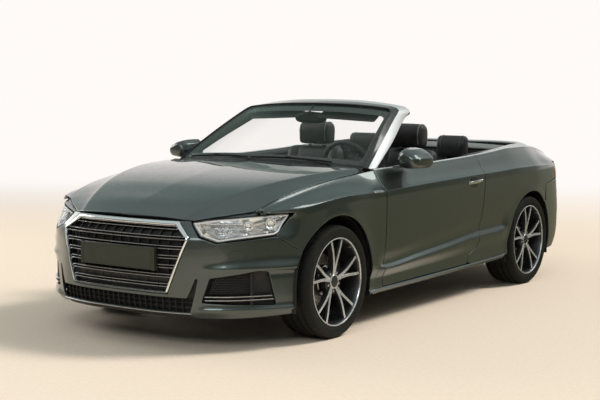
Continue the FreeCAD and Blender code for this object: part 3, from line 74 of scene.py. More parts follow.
TAIL_LAMP_LEVELS = np.array(((735, 48), (800, 66), (868, 120)), float)
GLASS_ROWS = np.array(((0, -918, 974, -262, 1314), (200, -912, 973, -258, 1311), (400, -885, 967, -246, 1301),
                       (560, -845, 958, -228, 1285), (735, -790, 944, -200, 1262)), float)
HEADER_ROWS = np.array(((0, -62, 1341), (200, -58, 1338), (400, -46, 1323), (560, -30, 1299), (735, -10, 1266)), float)
GRILLE = ((-359, 697), (359, 697), (457, 616), (342, 312), (-342, 312), (-457, 616))
SHUT_GAP = 5.0
SKIN = 20.0
HOOD_HINGE = (-826.0, 905.0)
HOOD_HINGE_X = 644.0
BOOT_HINGE = (1575.0, 1016.0)
SEAT_X = 380.0
PLAN_REACH = 884.0
LEAN_EASE = 0.35
PLAN_STEPS = 1200
STEERING_CENTRE = (380.0, -435.0, 905.0)
STEERING_TILT = math.radians(24)


def centre_of(node):
    low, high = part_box(node)
    return (low + high) * 500.0


WHEELS = {name: centre_of(name + "_tyre") for name in ("front_left", "front_right", "rear_left", "rear_right")}
FRONT_AXLE_Y = WHEELS["front_left"].y
REAR_AXLE_Y = WHEELS["rear_left"].y
WHEEL_Z = WHEELS["front_left"].z
TYRE_RADIUS = WHEEL_Z
FRONT_ARCH = TYRE_RADIUS + 57
REAR_ARCH = TYRE_RADIUS + 37


# ---------------------------------------------------------------- smooth curves
def slopes_of(knots, values):
    """Slopes of a smooth curve with no overshoot; the last axis runs along the curve."""
    run = np.diff(knots, axis=-1)
    rise = np.diff(values, axis=-1) / run
    slope = np.zeros_like(values)
    slope[..., 0] = rise[..., 0]
    slope[..., -1] = rise[..., -1]
    before, after = rise[..., :-1], rise[..., 1:]
    weight_a = 2 * run[..., 1:] + run[..., :-1]
    weight_b = run[..., 1:] + 2 * run[..., :-1]
    same = before * after > 0
    safe_before = np.where(same, before, 1.0)
    safe_after = np.where(same, after, 1.0)
    mean = (weight_a + weight_b) / (weight_a / safe_before + weight_b / safe_after)
    slope[..., 1:-1] = np.where(same, mean, 0.0)
    return slope


def along(knots, values, where):
    """Smooth value at each place; knots and values may be one row or a row for each place."""
    knots = np.asarray(knots, float)
    values = np.asarray(values, float)
    where = np.asarray(where, float)
    if knots.ndim == 1:
        knots = np.broadcast_to(knots, where.shape + knots.shape)
        values = np.broadcast_to(values, where.shape + values.shape)
    slope = slopes_of(knots, values)
    spot = np.clip(where, knots[..., 0], knots[..., -1])
    index = np.clip((spot[..., None] >= knots).sum(-1) - 1, 0, knots.shape[-1] - 2)[..., None]

    def pick(table, shift=0):
        return np.take_along_axis(table, index + shift, -1)[..., 0]
    start, end = pick(knots), pick(knots, 1)
    run = end - start
    t = (spot - start) / run
    a, b = pick(values), pick(values, 1)
    p, q = pick(slope) * run, pick(slope, 1) * run
    return a + t * t * (3 - 2 * t) * (b - a) + t * (1 - t) * (1 - t) * p - t * t * (1 - t) * q


def column(rows, index, where):
    return along(rows[:, 0], rows[:, index], where)


def side_value(y, name):
    return column(SIDE_ROWS, SIDE_COLUMNS.index(name), y)


def smooth_step(low, high, value):
    t = np.clip((np.asarray(value, float) - low) / (high - low), 0, 1)
    return t * t * (3 - 2 * t)


# ---------------------------------------------------------------- body surfaces
def blade_band(y):
    """Height of the band above the sill's blade."""
    return along([-900, -658, 0, 414, 709, 860], [26, 30, 47, 54, 58, 40], y)


def shoulder_length(y):
    top_x, top_z = column(TOP_ROWS, 1, y), column(TOP_ROWS, 2, y)
    edge_x, edge_z = side_value(y, "edge_x"), side_value(y, "edge_z")
    return np.hypot(edge_x - top_x, edge_z - top_z)


def side_point(y, v):
    """Body side at station y; v is the height, and past the edge the way over the shoulder."""
    y = np.asarray(y, float)
    v = np.asarray(v, float)
    wide, low, blade = (side_value(y, name) for name in ("wide_x", "low_z", "blade_z"))
    line, edge_x, edge_z = (side_value(y, name) for name in ("line_z", "edge_x", "edge_z"))
    show = smooth_step(-900, -780, y) * (1 - smooth_step(790, 900, y))
    band = blade_band(y)
    dent = 14 * show
    crease = 12 * smooth_step(-1760, -1500, y) * (1 - smooth_step(1450, 1800, y)) + 3
    run = shoulder_length(y)
    knots = np.stack([low - 30, low + 8, low + 62, blade - band, blade, blade + 90, 700 + 0 * y, line - 9, line + 5,
                      edge_z - 14, edge_z, edge_z + run * 0.5, edge_z + run], -1)
    xs = np.stack([wide - 50, wide - 24, wide - 26, wide - 3 - (14 - dent) * 0.4, wide - 3 - dent * 1.1 - 3,
                   wide - 6, wide, wide - 5, wide - 6 - crease, edge_x + 10, edge_x,
                   edge_x + (column(TOP_ROWS, 1, y) - edge_x) * 0.55, column(TOP_ROWS, 1, y)], -1)
    zs = np.stack([low - 30, low + 8, low + 62, blade - band, blade, blade + 90, 700 + 0 * y, line - 9, line + 5,
                   edge_z - 14, edge_z, edge_z + (column(TOP_ROWS, 2, y) - edge_z) * 0.7,
                   column(TOP_ROWS, 2, y)], -1)
    x = along(knots, xs, v)
    z = along(knots, zs, v)
    nose = nose_x(y, z)
    share = smooth_step(-1600, -1780, y) * (1 - smooth_step(700, 760, z))
    x = x + share * np.where(nose > 0, nose - x, 0)
    for axle, radius in ((FRONT_AXLE_Y, FRONT_ARCH), (REAR_AXLE_Y, REAR_ARCH)):
        away = np.hypot(y - axle, z - WHEEL_Z) - radius
        x = x + 3.0 * np.exp(-(away / 34.0) ** 2)
    return np.stack([x, y, z], -1)


def nose_x(y, z):
    """Half width of the nose at (y, z), by its plan outline and lean."""
    lean = along(NOSE_LEVELS[:, 0], NOSE_LEVELS[:, 1], z)
    x = np.full(np.shape(y), 850.0)
    for _ in range(3):
        plan_y = y - lean * eased(x)
        x = along(NOSE_PLAN[:, 1], NOSE_PLAN[:, 0], plan_y)
    return x


def eased(x):
    """Share of the lean that is left at x: less of it towards the sides."""
    return 1 - LEAN_EASE * x / PLAN_REACH


def plan_length(plan):
    """Distance along a plan outline at each of its points."""
    steps = np.hypot(*np.diff(plan, axis=0).T)
    return np.concatenate([[0.0], np.cumsum(steps)])


def wrap_point(plan, levels, u, z, forward):
    """Nose or tail surface; u is the distance round the plan outline from the middle."""
    u = np.asarray(u, float)
    z = np.asarray(z, float)
    places = plan_length(plan)
    x = along(places, plan[:, 0], np.abs(u))
    y = along(places, plan[:, 1], np.abs(u))
    lean = along(levels[:, 0], levels[:, 1], z) * eased(x)
    y = y + forward * lean
    return np.stack([x * np.sign(u + 1e-9), y, z], -1)


def nose_point(u, z):
    point = wrap_point(NOSE_PLAN, NOSE_LEVELS, u, z, 1)
    return with_lip(point, u, z)


def with_lip(point, u, z):
    """Soft brow over each side intake, a lip under it and the chin's step."""
    across = np.abs(point[..., 0])
    ends = 1 - smooth_step(845, 880, across)
    broad = 18.0 + 16.0 * smooth_step(560, 760, across)
    high = np.where(z > 450, (z - 450) / broad, (z - 450) / 13.0)
    over = 19.0 * np.exp(-high ** 2) * smooth_step(500, 700, across)
    cup_shade = -4.0 * np.exp(-((z - 415) / 14.0) ** 2) * smooth_step(540, 640, across)
    under = 17.0 * np.exp(-((z - 226) / 17.0) ** 2) * smooth_step(470, 560, across)
    chin = -5.0 * np.exp(-((z - 196) / 12.0) ** 2)
    out = (over + under + cup_shade) * ends + chin
    point = point.copy()
    point[..., 1] = point[..., 1] - out * 0.8
    point[..., 0] = point[..., 0] + np.sign(u) * out * 0.45 * smooth_step(700, 800, across)
    return point


def tail_point(u, z):
    return wrap_point(TAIL_PLAN, TAIL_LEVELS, u, z, -1)


def tail_lamp_point(u, z):
    return wrap_point(TAIL_PLAN, TAIL_LAMP_LEVELS, u, z, -1)


def hood_point(x, y):
    x = np.asarray(x, float)
    y = np.asarray(y, float)
    across = np.abs(x)
    centre, fold_x, fold_z = (column(HOOD_ROWS, i, y) for i in (1, 2, 3))
    edge_x, edge_z = column(HOOD_ROWS, 4, y), column(HOOD_ROWS, 5, y)
    inner = 0.7 * (centre - fold_z) / (0.5 * fold_x)
    outer = (fold_z - edge_z) / (edge_x - fold_x)
    knots = np.stack([0 * y, 0.5 * fold_x, fold_x - 26, fold_x, fold_x + 22, edge_x, edge_x + 60], -1)
    values = np.stack([centre, centre - 0.3 * (centre - fold_z), fold_z + 26 * inner + 1, fold_z,
                       fold_z - 22 * outer - 2, edge_z, edge_z - 60 * outer], -1)
    return np.stack([x, y, along(knots, values, across)], -1)


def boot_point(x, y):
    across = np.abs(np.asarray(x, float))
    y = np.asarray(y, float)
    centre, half_x, half_z = (column(BOOT_ROWS, i, y) for i in (1, 2, 3))
    side_x, side_z = column(BOOT_ROWS, 4, y), column(BOOT_ROWS, 5, y)
    knots = np.stack([0 * y, half_x, side_x], -1)
    values = np.stack([centre, half_z, side_z], -1)
    z = along(knots, values, across)
    return np.stack([np.asarray(x, float), y, z], -1)


def glass_point(x, share):
    """Windscreen surface; share runs from its base to its top."""
    across = np.abs(np.asarray(x, float))
    base_y, base_z, top_y, top_z = (column(GLASS_ROWS, i, across) for i in (1, 2, 3, 4))
    bow = 9.0 * share * (1 - share) * 4
    y = base_y + share * (top_y - base_y) - bow * 0.45
    z = base_z + share * (top_z - base_z) + bow * 0.9
    return np.stack([np.asarray(x, float), y, z], -1)


def normals_at(surface, u, v, step=0.8):
    du = surface(u + step, v) - surface(u - step, v)
    dv = surface(u, v + step) - surface(u, v - step)
    normal = np.cross(du, dv)
    return normal / np.maximum(np.linalg.norm(normal, axis=-1, keepdims=True), 1e-9)


# ---------------------------------------------------------------- outlines
def densify(loop, spacing, closed=True):
    """The outline with points added so that none are further apart than spacing."""
    loop = np.asarray(loop, float)
    ends = np.roll(loop, -1, axis=0) if closed else loop[1:]
    found = []
    for start, end in zip(loop, ends):
        count = max(1, int(math.ceil(np.linalg.norm(end - start) / spacing)))
        found.extend(start + (end - start) * k / count for k in range(count))
    if not closed:
        found.append(loop[-1])
    return np.array(found)


def rounded(loop, radius, steps=5, even=False):
    """The outline with its corners rounded; radius is one number or one for each corner.

    With even, each corner gives as many points, so that outlines can be joined into one form.
    """
    loop = np.asarray(loop, float)
    radii = np.broadcast_to(np.asarray(radius, float), (len(loop),))
    found = []
    for index, corner in enumerate(loop):
        before, after = loop[index - 1] - corner, loop[(index + 1) % len(loop)] - corner
        long_before, long_after = np.linalg.norm(before), np.linalg.norm(after)
        cosine = np.clip(before @ after / (long_before * long_after), -1, 1)
        half = math.acos(cosine) / 2
        reach = radii[index] / max(math.tan(half), 1e-3)
        reach = min(reach, 0.45 * long_before, 0.45 * long_after)
        if reach < 0.2 or half > 1.55:
            found.extend([corner] * (steps + 1 if even else 1))
            continue
        start, end = corner + before / long_before * reach, corner + after / long_after * reach
        for k in range(steps + 1):
            t = k / steps
            found.append((1 - t) ** 2 * start + 2 * t * (1 - t) * corner + t * t * end)
    return np.array(found)


def signed_area(loop):
    x, y = loop[:, 0], loop[:, 1]
    return 0.5 * np.sum(x * np.roll(y, -1) - y * np.roll(x, -1))


def turned_left(loop, left=True):
    """The outline running anticlockwise, or clockwise when left is false."""
    return loop if (signed_area(loop) > 0) == left else loop[::-1]


def inset(loop, distance):
    """The outline moved to its left by a distance."""
    ahead = np.roll(loop, -1, axis=0) - loop
    ahead /= np.maximum(np.linalg.norm(ahead, axis=1, keepdims=True), 1e-9)
    behind = np.roll(ahead, 1, axis=0)
    left = np.stack([-ahead[:, 1], ahead[:, 0]], 1) + np.stack([-behind[:, 1], behind[:, 0]], 1)
    size = np.linalg.norm(left, axis=1, keepdims=True)
    left /= np.maximum(size, 1e-9)
    stretch = np.clip(2 / np.maximum(size, 1e-9), 1, 1.6)
    distance = np.asarray(distance, float).reshape(-1, 1)
    return loop + left * distance * stretch


def inside(points, loop):
    x, y = points[:, 0][:, None], points[:, 1][:, None]
    x0, y0 = loop[:, 0], loop[:, 1]
    x1, y1 = np.roll(x0, -1), np.roll(y0, -1)
    crosses = (y0 <= y) != (y1 <= y)
    rise = np.where(np.abs(y1 - y0) < 1e-12, 1e-12, y1 - y0)
    return (crosses & (x < (x1 - x0) * (y - y0) / rise + x0)).sum(1) % 2 == 1


def far_from(points, loop, gap):
    if len(points) == 0:
        return np.zeros(0, bool)
    near = np.full(len(points), np.inf)
    for start in range(0, len(loop), 200):
        part = loop[start:start + 200]
        near = np.minimum(near, np.hypot(points[:, None, 0] - part[:, 0], points[:, None, 1] - part[:, 1]).min(1))
    return near > gap


def arc(centre, radius, start, end, steps):
    angles = np.radians(np.linspace(start, end, steps + 1))
    return np.stack([centre[0] + radius * np.cos(angles), centre[1] + radius * np.sin(angles)], 1)


# ---------------------------------------------------------------- forms
class Form:
    """Points, faces and normals that become one mesh piece. Lengths are millimetres."""

    def __init__(self):
        self.points = []
        self.normals = []
        self.faces = []
        self.slots = []
        self.count = 0

    def add(self, points, faces, normals=None, slot=0):
        points = np.asarray(points, float).reshape(-1, 3)
        if normals is None:
            normals = np.zeros_like(points)
        self.points.append(points)
        self.normals.append(np.asarray(normals, float).reshape(-1, 3))
        self.faces.extend(tuple(i + self.count for i in face) for face in faces)
        self.slots.extend([slot] * len(faces))
        self.count += len(points)
        return self

    def join(self, other, slot=None):
        points = np.concatenate(other.points)
        normals = np.concatenate(other.normals)
        base = self.count
        self.points.append(points)
        self.normals.append(normals)
        self.faces.extend(tuple(i + base for i in face) for face in other.faces)
        self.slots.extend(other.slots if slot is None else [slot] * len(other.faces))
        self.count += len(points)
        return self

    def moved(self, matrix):
        """A copy with each point turned and moved by a 4 by 4 matrix."""
        matrix = np.array(matrix, float)
        copy = Form()
        points = np.concatenate(self.points) @ matrix[:3, :3].T + matrix[:3, 3]
        normals = np.concatenate(self.normals) @ matrix[:3, :3].T
        faces = self.faces
        if np.linalg.det(matrix[:3, :3]) < 0:
            faces = [face[::-1] for face in faces]
        copy.points, copy.normals, copy.faces = [points], [normals], list(faces)
        copy.slots, copy.count = list(self.slots), self.count
        return copy

    def mirrored(self):
        return self.moved(np.diag([-1.0, 1, 1, 1]))

    def paired(self):
        both = Form()
        both.join(self)
        both.join(self.mirrored())
        return both

    def grid(self, points, wrap_u=False, wrap_v=False, slot=0, flip=False):
        """A sheet of quads over an array of points, (rows, columns, 3)."""
        points = np.asarray(points, float)
        rows, columns = points.shape[:2]
        faces = []
        for i in range(rows if wrap_u else rows - 1):
            for j in range(columns if wrap_v else columns - 1):
                a, b = i * columns + j, i * columns + (j + 1) % columns
                c, d = ((i + 1) % rows) * columns + (j + 1) % columns, ((i + 1) % rows) * columns + j
                faces.append((a, b, c, d) if not flip else (a, d, c, b))
        return self.add(points.reshape(-1, 3), faces, slot=slot)

    def cap(self, loop, slot=0, flip=False):
        order = list(range(len(loop)))
        return self.add(loop, [tuple(order[::-1] if flip else order)], slot=slot)


def band(count, flip, base=0):
    """Quads between two rings of count points each, from the point base on."""
    quads = [(base + k, base + (k + 1) % count, base + count + (k + 1) % count, base + count + k)
             for k in range(count)]
    return [quad[::-1] for quad in quads] if flip else quads


def skin(surface, outline, holes=(), lattice=None, spacing=14.0, depth=SKIN, outward=(0, 0, 1), roll=1.6,
         under=True, wall=True, slot=0, under_slot=0):
    """A curved panel cut to an outline on a surface, with rolled edges, walls and an underside."""
    form = Form()
    loops = [turned_left(densify(outline, spacing * 0.55))]
    loops += [turned_left(densify(hole, spacing * 0.55), False) for hole in holes]
    rolled = [inset(loop, roll * 0.7) for loop in loops]
    cores = [inset(loop, roll * 1.9) for loop in loops]
    if lattice is None:
        low, high = loops[0].min(0), loops[0].max(0)
        us = np.arange(low[0], high[0], spacing)
        vs = np.arange(low[1], high[1], spacing)
        lattice = np.stack(np.meshgrid(us, vs, indexing="ij"), -1).reshape(-1, 2)
        lattice[:, 1] += (np.round((lattice[:, 0] - low[0]) / spacing) % 2) * spacing * 0.5
    keep = inside(lattice, cores[0]) & far_from(lattice, cores[0], spacing * 0.36)
    for core in cores[1:]:
        keep &= ~inside(lattice, core) & far_from(lattice, core, spacing * 0.36)
    inner = lattice[keep]
    flat = np.concatenate(cores + [inner])
    edges, base = [], 0
    for core in cores:
        edges += [(base + k, base + (k + 1) % len(core)) for k in range(len(core))]
        base += len(core)
    result = geometry.delaunay_2d_cdt([Vector(p) for p in flat], edges, [], 0, 1e-5, True)
    places = np.array([(v.x, v.y) for v in result[0]])
    triangles = np.array([f for f in result[2] if len(f) == 3])
    middles = places[triangles].mean(1)
    good = inside(middles, cores[0])
    for core in cores[1:]:
        good &= ~inside(middles, core)
    a, b, c = (places[triangles[:, k]] for k in range(3))
    size = np.abs((b[:, 0] - a[:, 0]) * (c[:, 1] - a[:, 1]) - (c[:, 0] - a[:, 0]) * (b[:, 1] - a[:, 1]))
    triangles = triangles[good & (size > 1e-3)]

    def lifted(where):
        return surface(where[:, 0], where[:, 1]), normals_at(surface, where[:, 0], where[:, 1])
    points, normals = lifted(places)
    sign = np.sign((normals @ np.asarray(outward, float)).sum()) or 1.0
    normals = normals * sign
    one = triangles[len(triangles) // 2]
    facing = np.cross(points[one[1]] - points[one[0]], points[one[2]] - points[one[0]]) @ normals[one[0]]
    flip = facing < 0
    tri = [tuple(t[::-1]) if flip else tuple(t) for t in triangles]
    form.add(points, tri, normals, slot)
    if under:
        form.add(points - normals * depth, [t[::-1] for t in tri], -normals, under_slot)
    for loop, ring, core in zip(loops, rolled, cores):
        count = len(loop)
        p0, n0 = lifted(loop)
        p1, n1 = lifted(ring)
        p2, n2 = lifted(core)
        n0, n1, n2 = n0 * sign, n1 * sign, n2 * sign
        out = p0 - p2
        out /= np.maximum(np.linalg.norm(out, axis=1, keepdims=True), 1e-9)
        border = p0 - n0 * roll
        middle = p1 - n1 * roll * 0.35
        soft = n0 * 0.45 + out * 0.9
        soft /= np.linalg.norm(soft, axis=1, keepdims=True)
        half = n1 * 0.85 + out * 0.5
        half /= np.linalg.norm(half, axis=1, keepdims=True)
        rows = [(border, soft), (middle, half), (p2, n2)]
        faces = band(count, flip) + band(count, flip, count)
        form.add(np.concatenate([r[0] for r in rows]), faces, np.concatenate([r[1] for r in rows]), slot)
        if wall:
            foot = p2 + (p0 - p2) * 0.9 - n0 * depth
            faces = band(count, not flip)
            form.add(np.concatenate([border, foot]), faces, np.concatenate([out, out]), slot)
            if under:
                last = p2 - n2 * depth
                form.add(np.concatenate([foot, last]), faces, np.concatenate([-n0, -n2]), under_slot)
    return form


def revolve(profile, centre, outward=LEFT, steps=64, start=0.0, sweep=360.0, slot=0):
    """A ring about a wheel's axle; the profile holds (radius, distance out from the centre)."""
    whole = sweep >= 359.9
    angles = np.radians(start + np.linspace(0, sweep, steps + (0 if whole else 1), endpoint=not whole))
    profile = np.asarray(profile, float)
    radius, out = profile[:, 0][None], profile[:, 1][None]
    x = centre[0] + outward * out + 0 * angles[:, None]
    y = centre[1] + radius * np.cos(angles)[:, None]
    z = centre[2] + radius * np.sin(angles)[:, None]
    form = Form()
    return form.grid(np.stack([x, y, z], -1), wrap_u=whole, slot=slot, flip=outward < 0)


def frames_along(path, closed=False, up=(0, 0, 1)):
    """Side and up directions along a path that twist as little as they can."""
    path = np.asarray(path, float)
    if closed:
        ahead = np.roll(path, -1, axis=0) - np.roll(path, 1, axis=0)
    else:
        ahead = np.gradient(path, axis=0)
    ahead /= np.maximum(np.linalg.norm(ahead, axis=1, keepdims=True), 1e-9)
    up = np.asarray(up, float)
    if up.ndim == 1:
        up = np.broadcast_to(up, ahead.shape)
    side = np.cross(ahead, up)
    side /= np.maximum(np.linalg.norm(side, axis=1, keepdims=True), 1e-9)
    over = np.cross(side, ahead)
    return side, over


def sweep(path, section, closed=False, up=(0, 0, 1), slot=0, scale=None, capped=True):
    """A bar that follows a path; the section holds (side, up) offsets, and up may be one for each point."""
    side, over = frames_along(path, closed, up)
    section = np.asarray(section, float)
    size = np.ones(len(path)) if scale is None else np.asarray(scale, float)
    points = (np.asarray(path, float)[:, None] + size[:, None, None] * (
        section[None, :, 0, None] * side[:, None] + section[None, :, 1, None] * over[:, None]))
    form = Form()
    form.grid(points, wrap_u=closed, wrap_v=True, slot=slot, flip=True)
    if not closed and capped:
        form.cap(points[0], slot, flip=False)
        form.cap(points[-1], slot, flip=True)
    return form


def ring_section(radius, steps=10, flat=1.0):
    angles = np.linspace(0, 2 * math.pi, steps, endpoint=False)
    return np.stack([radius * np.cos(angles), radius * flat * np.sin(angles)], 1)


def bar_section(width, height, corner=1.0, steps=3):
    """A rectangular section with rounded corners, centred."""
    w, h = width / 2, height / 2
    return rounded([(-w, -h), (w, -h), (w, h), (-w, h)], corner, steps)


def lofted(rings, slot=0, capped=True, wrap=True, flip=False):
    """A closed form through rings that have as many points each."""
    rings = np.asarray(rings, float)
    form = Form()
    form.grid(rings, wrap_v=wrap, slot=slot, flip=flip)
    if capped:
        form.cap(rings[0], slot, flip=not flip)
        form.cap(rings[-1], slot, flip=flip)
    return form


def at_level(loop, level, axis):
    """The flat outline as points in space, at a level along an axis."""
    return np.insert(np.asarray(loop, float), "xyz".index(axis), float(level), axis=1)


def circle(centre, radius, steps, axis="y", stretch=1.0):
    """Ring of points about an axis through centre; stretch lengthens its second direction."""
    turn = np.linspace(0, 2 * math.pi, steps, endpoint=False)
    a, b = {"x": (1, 2), "y": (0, 2), "z": (0, 1)}[axis]
    ring = np.tile(np.asarray(centre, float), (steps, 1))
    ring[:, a] += radius * np.cos(turn)
    ring[:, b] += radius * stretch * np.sin(turn)
    return ring


def slab(outline, low, high, axis="x", bevel=2.0, slot=0):
    """A plate cut to an outline, from low to high along an axis, with bevelled edges."""
    loop = turned_left(np.asarray(outline, float))
    small = inset(loop, bevel)
    levels = [(small, low), (loop, low + bevel), (loop, high - bevel), (small, high)]
    rings = []
    for ring, level in levels:
        rings.append(at_level(ring[:, ::-1] if axis == "y" else ring, level, axis))
    return lofted(rings, slot, flip=False)


def corners_of(x0, x1, y0, y1):
    return [(x0, y0), (x1, y0), (x1, y1), (x0, y1)]


def block(x0, x1, y0, y1, z0, z1, bevel=3.0, slot=0):
    """A box with softened edges."""
    reach = min(bevel, 0.4 * min(abs(x1 - x0), abs(y1 - y0), abs(z1 - z0)))
    loop = rounded(corners_of(x0, x1, y0, y1), reach, 3)
    return slab(loop, z0, z1, "z", reach * 0.6, slot)


def disc(centre, axis, radius, length, steps=24, bevel=1.0, slot=0, tip=1.0):
    """A short round bar; axis is the direction of its length."""
    axis = Vector(axis).normalized()
    turn = axis.to_track_quat("Z", "Y").to_matrix()
    levels = ((radius * tip - bevel, 0), (radius, bevel), (radius, length - bevel), (radius * tip - bevel, length))
    rings = []
    for size, height in levels:
        ring = ring_section(size, steps)
        rings.append(at_level(ring, height, "z") @ np.array(turn).T + np.asarray(centre, float))
    return lofted(rings, slot)


def placed(name, data):
    """A new object of the scene that shows a mesh, lamp or camera."""
    obj = bpy.data.objects.new(name, data)
    bpy.context.scene.collection.objects.link(obj)
    return obj


def mesh_of(name, points, faces):
    mesh = bpy.data.meshes.new(name)
    mesh.from_pydata(points.tolist(), [], faces)
    return mesh


def tied(obj, body, stands_for):
    """Ties an object to its body, and hides the nodes it stands for."""
    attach(obj, body)
    if stands_for:
        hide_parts(*stands_for)


def piece(name, form, materials, body="body", stands_for=(), sharp=32.0):
    """Makes the mesh object, gives it its finish and ties it to its body."""
    mesh = mesh_of(name, np.concatenate(form.points) * MM, form.faces)
    for material in materials if isinstance(materials, (list, tuple)) else [materials]:
        mesh.materials.append(material)
    mesh.polygons.foreach_set("material_index", np.array(form.slots, np.int32))
    mesh.polygons.foreach_set("use_smooth", np.ones(len(form.faces), bool))
    mesh.update()
    mesh.set_sharp_from_angle(angle=math.radians(sharp))
    normals = np.concatenate(form.normals)
    known = np.linalg.norm(normals, axis=1) > 0.5
    if known.any():
        corner = np.zeros(len(mesh.loops), np.int32)
        mesh.loops.foreach_get("vertex_index", corner)
        found = np.zeros(len(mesh.loops) * 3, np.float32)
        mesh.corner_normals.foreach_get("vector", found)
        found = found.reshape(-1, 3)
        chosen = np.where(known[corner][:, None], normals[corner], found)
        mesh.normals_split_custom_set([Vector(n) for n in chosen])
    tied(placed(name, mesh), body, stands_for)


def door_pair(ending, form, materials, node_ending=None, sharp=32.0):
    """A piece of the left door and its mirror image on the right one, for the nodes with the ending given."""
    for body, shaped in (("left_door", form), ("right_door", form.mirrored())):
        nodes = () if node_ending is None else [body + node_ending]
        piece(body + ending, shaped, materials, body, nodes, sharp)


# ---------------------------------------------------------------- materials
def new_material(name, colour, rough=0.5, metal=0.0, **extra):
    material = bpy.data.materials.new(name)
    material.use_nodes = True
    shader = shader_of(material)
    shader.inputs["Base Color"].default_value = (*colour, 1.0)
    shader.inputs["Roughness"].default_value = rough
    shader.inputs["Metallic"].default_value = metal
    for key, value in extra.items():
        shader.inputs[key.replace("_", " ")].default_value = value
    return material


def node(owner, kind, **settings):
    """A new node in the tree of a material or world."""
    made = owner.node_tree.nodes.new(kind)
    for key, value in settings.items():
        if key in made.inputs:
            made.inputs[key].default_value = value
        else:
            setattr(made, key, value)
    return made


def link(owner, source, target):
    owner.node_tree.links.new(source, target)


def mapped(owner, value, low, high, to_low=0.0, to_high=1.0, curve="SMOOTHSTEP"):
    """The value mapped from one range to another."""
    made = node(owner, "ShaderNodeMapRange", interpolation_type=curve)
    for key, amount in (("From Min", low), ("From Max", high), ("To Min", to_low), ("To Max", to_high)):
        made.inputs[key].default_value = amount
    link(owner, value, made.inputs["Value"])
    return made.outputs["Result"]


def shaded(owner, value, low, high, dark, light, curve="LINEAR"):
    """Colour that goes from dark to light as the value goes from low to high."""
    made = node(owner, "ShaderNodeValToRGB")
    made.color_ramp.interpolation = curve
    first, last = made.color_ramp.elements
    first.position, first.color = low, (*dark, 1)
    last.position, last.color = high, (*light, 1)
    link(owner, value, made.inputs["Fac"])
    return made.outputs["Color"]


def combined(owner, operation, first, second):
    made = node(owner, "ShaderNodeMath", operation=operation)
    link(owner, first, made.inputs[0])
    link(owner, second, made.inputs[1])
    return made.outputs[0]


def reach_along(owner, place, direction):
    """How far a place lies along a direction."""
    made = node(owner, "ShaderNodeVectorMath", operation="DOT_PRODUCT")
    made.inputs[1].default_value = direction
    link(owner, place, made.inputs[0])
    return made.outputs["Value"]


def mixed(owner, share, first, second):
    made = node(owner, "ShaderNodeMixShader")
    link(owner, share, made.inputs["Fac"])
    link(owner, first, made.inputs[1])
    link(owner, second, made.inputs[2])
    return made.outputs[0]


def glow(owner, colour):
    return node(owner, "ShaderNodeEmission", Color=(*colour, 1), Strength=1.0).outputs[0]


def shader_of(material):
    return material.node_tree.nodes["Principled BSDF"]


def grain(material, scale, detail=4.0, stretch=(1, 1, 1), kind="ShaderNodeTexNoise"):
    """A pattern fixed to the object, with a scale in repeats a metre."""
    place = node(material, "ShaderNodeTexCoord")
    turn = node(material, "ShaderNodeMapping")
    turn.inputs["Scale"].default_value = stretch
    link(material, place.outputs["Object"], turn.inputs["Vector"])
    pattern = node(material, kind)
    pattern.inputs["Scale"].default_value = scale
    if "Detail" in pattern.inputs:
        pattern.inputs["Detail"].default_value = detail
    link(material, turn.outputs["Vector"], pattern.inputs["Vector"])
    return pattern


def spread(material, pattern, low, high, target, output=0, lowest=0.3, highest=0.7):
    """Maps a pattern to a range of one shader value."""
    value = mapped(material, pattern.outputs[output], lowest, highest, low, high, "LINEAR")
    link(material, value, shader_of(material).inputs[target])


def bump(material, pattern, strength, distance=0.001, output=0, after=None):
    rise = node(material, "ShaderNodeBump", Strength=strength, Distance=distance)
    link(material, pattern.outputs[output], rise.inputs["Height"])
    if after is not None:
        link(material, after.outputs["Normal"], rise.inputs["Normal"])
    link(material, rise.outputs["Normal"], shader_of(material).inputs["Normal"])
    return rise


def tint(material, pattern, dark, light, output=0, low=0.3, high=0.7):
    """Colour that varies between two shades with a pattern."""
    colour = shaded(material, pattern.outputs[output], low, high, dark, light)
    link(material, colour, shader_of(material).inputs["Base Color"])


def paint_material():
    """Dark grey metallic lacquer: fine flake under a smooth clear coat."""
    made = new_material("paint_slate", (0.04, 0.05, 0.05), 0.32, 0.88, Coat_Weight=1.0, Coat_Roughness=0.025,
                        Coat_IOR=1.5)
    flake = grain(made, 2600.0, 1.0, kind="ShaderNodeTexVoronoi")
    tint(made, flake, (0.036, 0.047, 0.044), (0.076, 0.095, 0.090), output=0, low=0.1, high=0.8)
    cloud = grain(made, 30.0, 3.0)
    spread(made, cloud, 0.30, 0.37, "Roughness")
    bump(made, flake, 0.03, 0.0002)
    return made


def bright_material(name, colour, rough, streaks=(1, 1, 1), scale=300.0, metal=1.0):
    made = new_material(name, colour, rough, metal)
    fine = grain(made, scale, 3.0, streaks)
    spread(made, fine, rough * 0.8, rough * 1.25, "Roughness")
    bump(made, fine, 0.04, 0.0002)
    return made


def plastic_material(name, dark, light, rough, scale=900.0, strength=0.25, coat=0.0):
    """Moulded plastic with a fine pebbled grain and slight uneven shine."""
    made = new_material(name, dark, rough, Coat_Weight=coat, Coat_Roughness=0.05)
    pebble = grain(made, scale, 2.0, kind="ShaderNodeTexVoronoi")
    cloud = grain(made, 14.0, 4.0)
    tint(made, cloud, dark, light)
    spread(made, cloud, rough * 0.9, min(1.0, rough * 1.12), "Roughness")
    bump(made, pebble, strength, 0.0004)
    return made


def leather_material(name, dark, light, rough=0.46):
    made = new_material(name, dark, rough, Sheen_Weight=0.04, Specular_IOR_Level=0.45)
    cells = grain(made, 520.0, kind="ShaderNodeTexVoronoi")
    folds = grain(made, 26.0, 5.0)
    tint(made, folds, dark, light)
    spread(made, folds, rough * 0.88, rough * 1.15, "Roughness")
    soft = bump(made, folds, 0.16, 0.004)
    bump(made, cells, 0.34, 0.0008, after=soft)
    return made


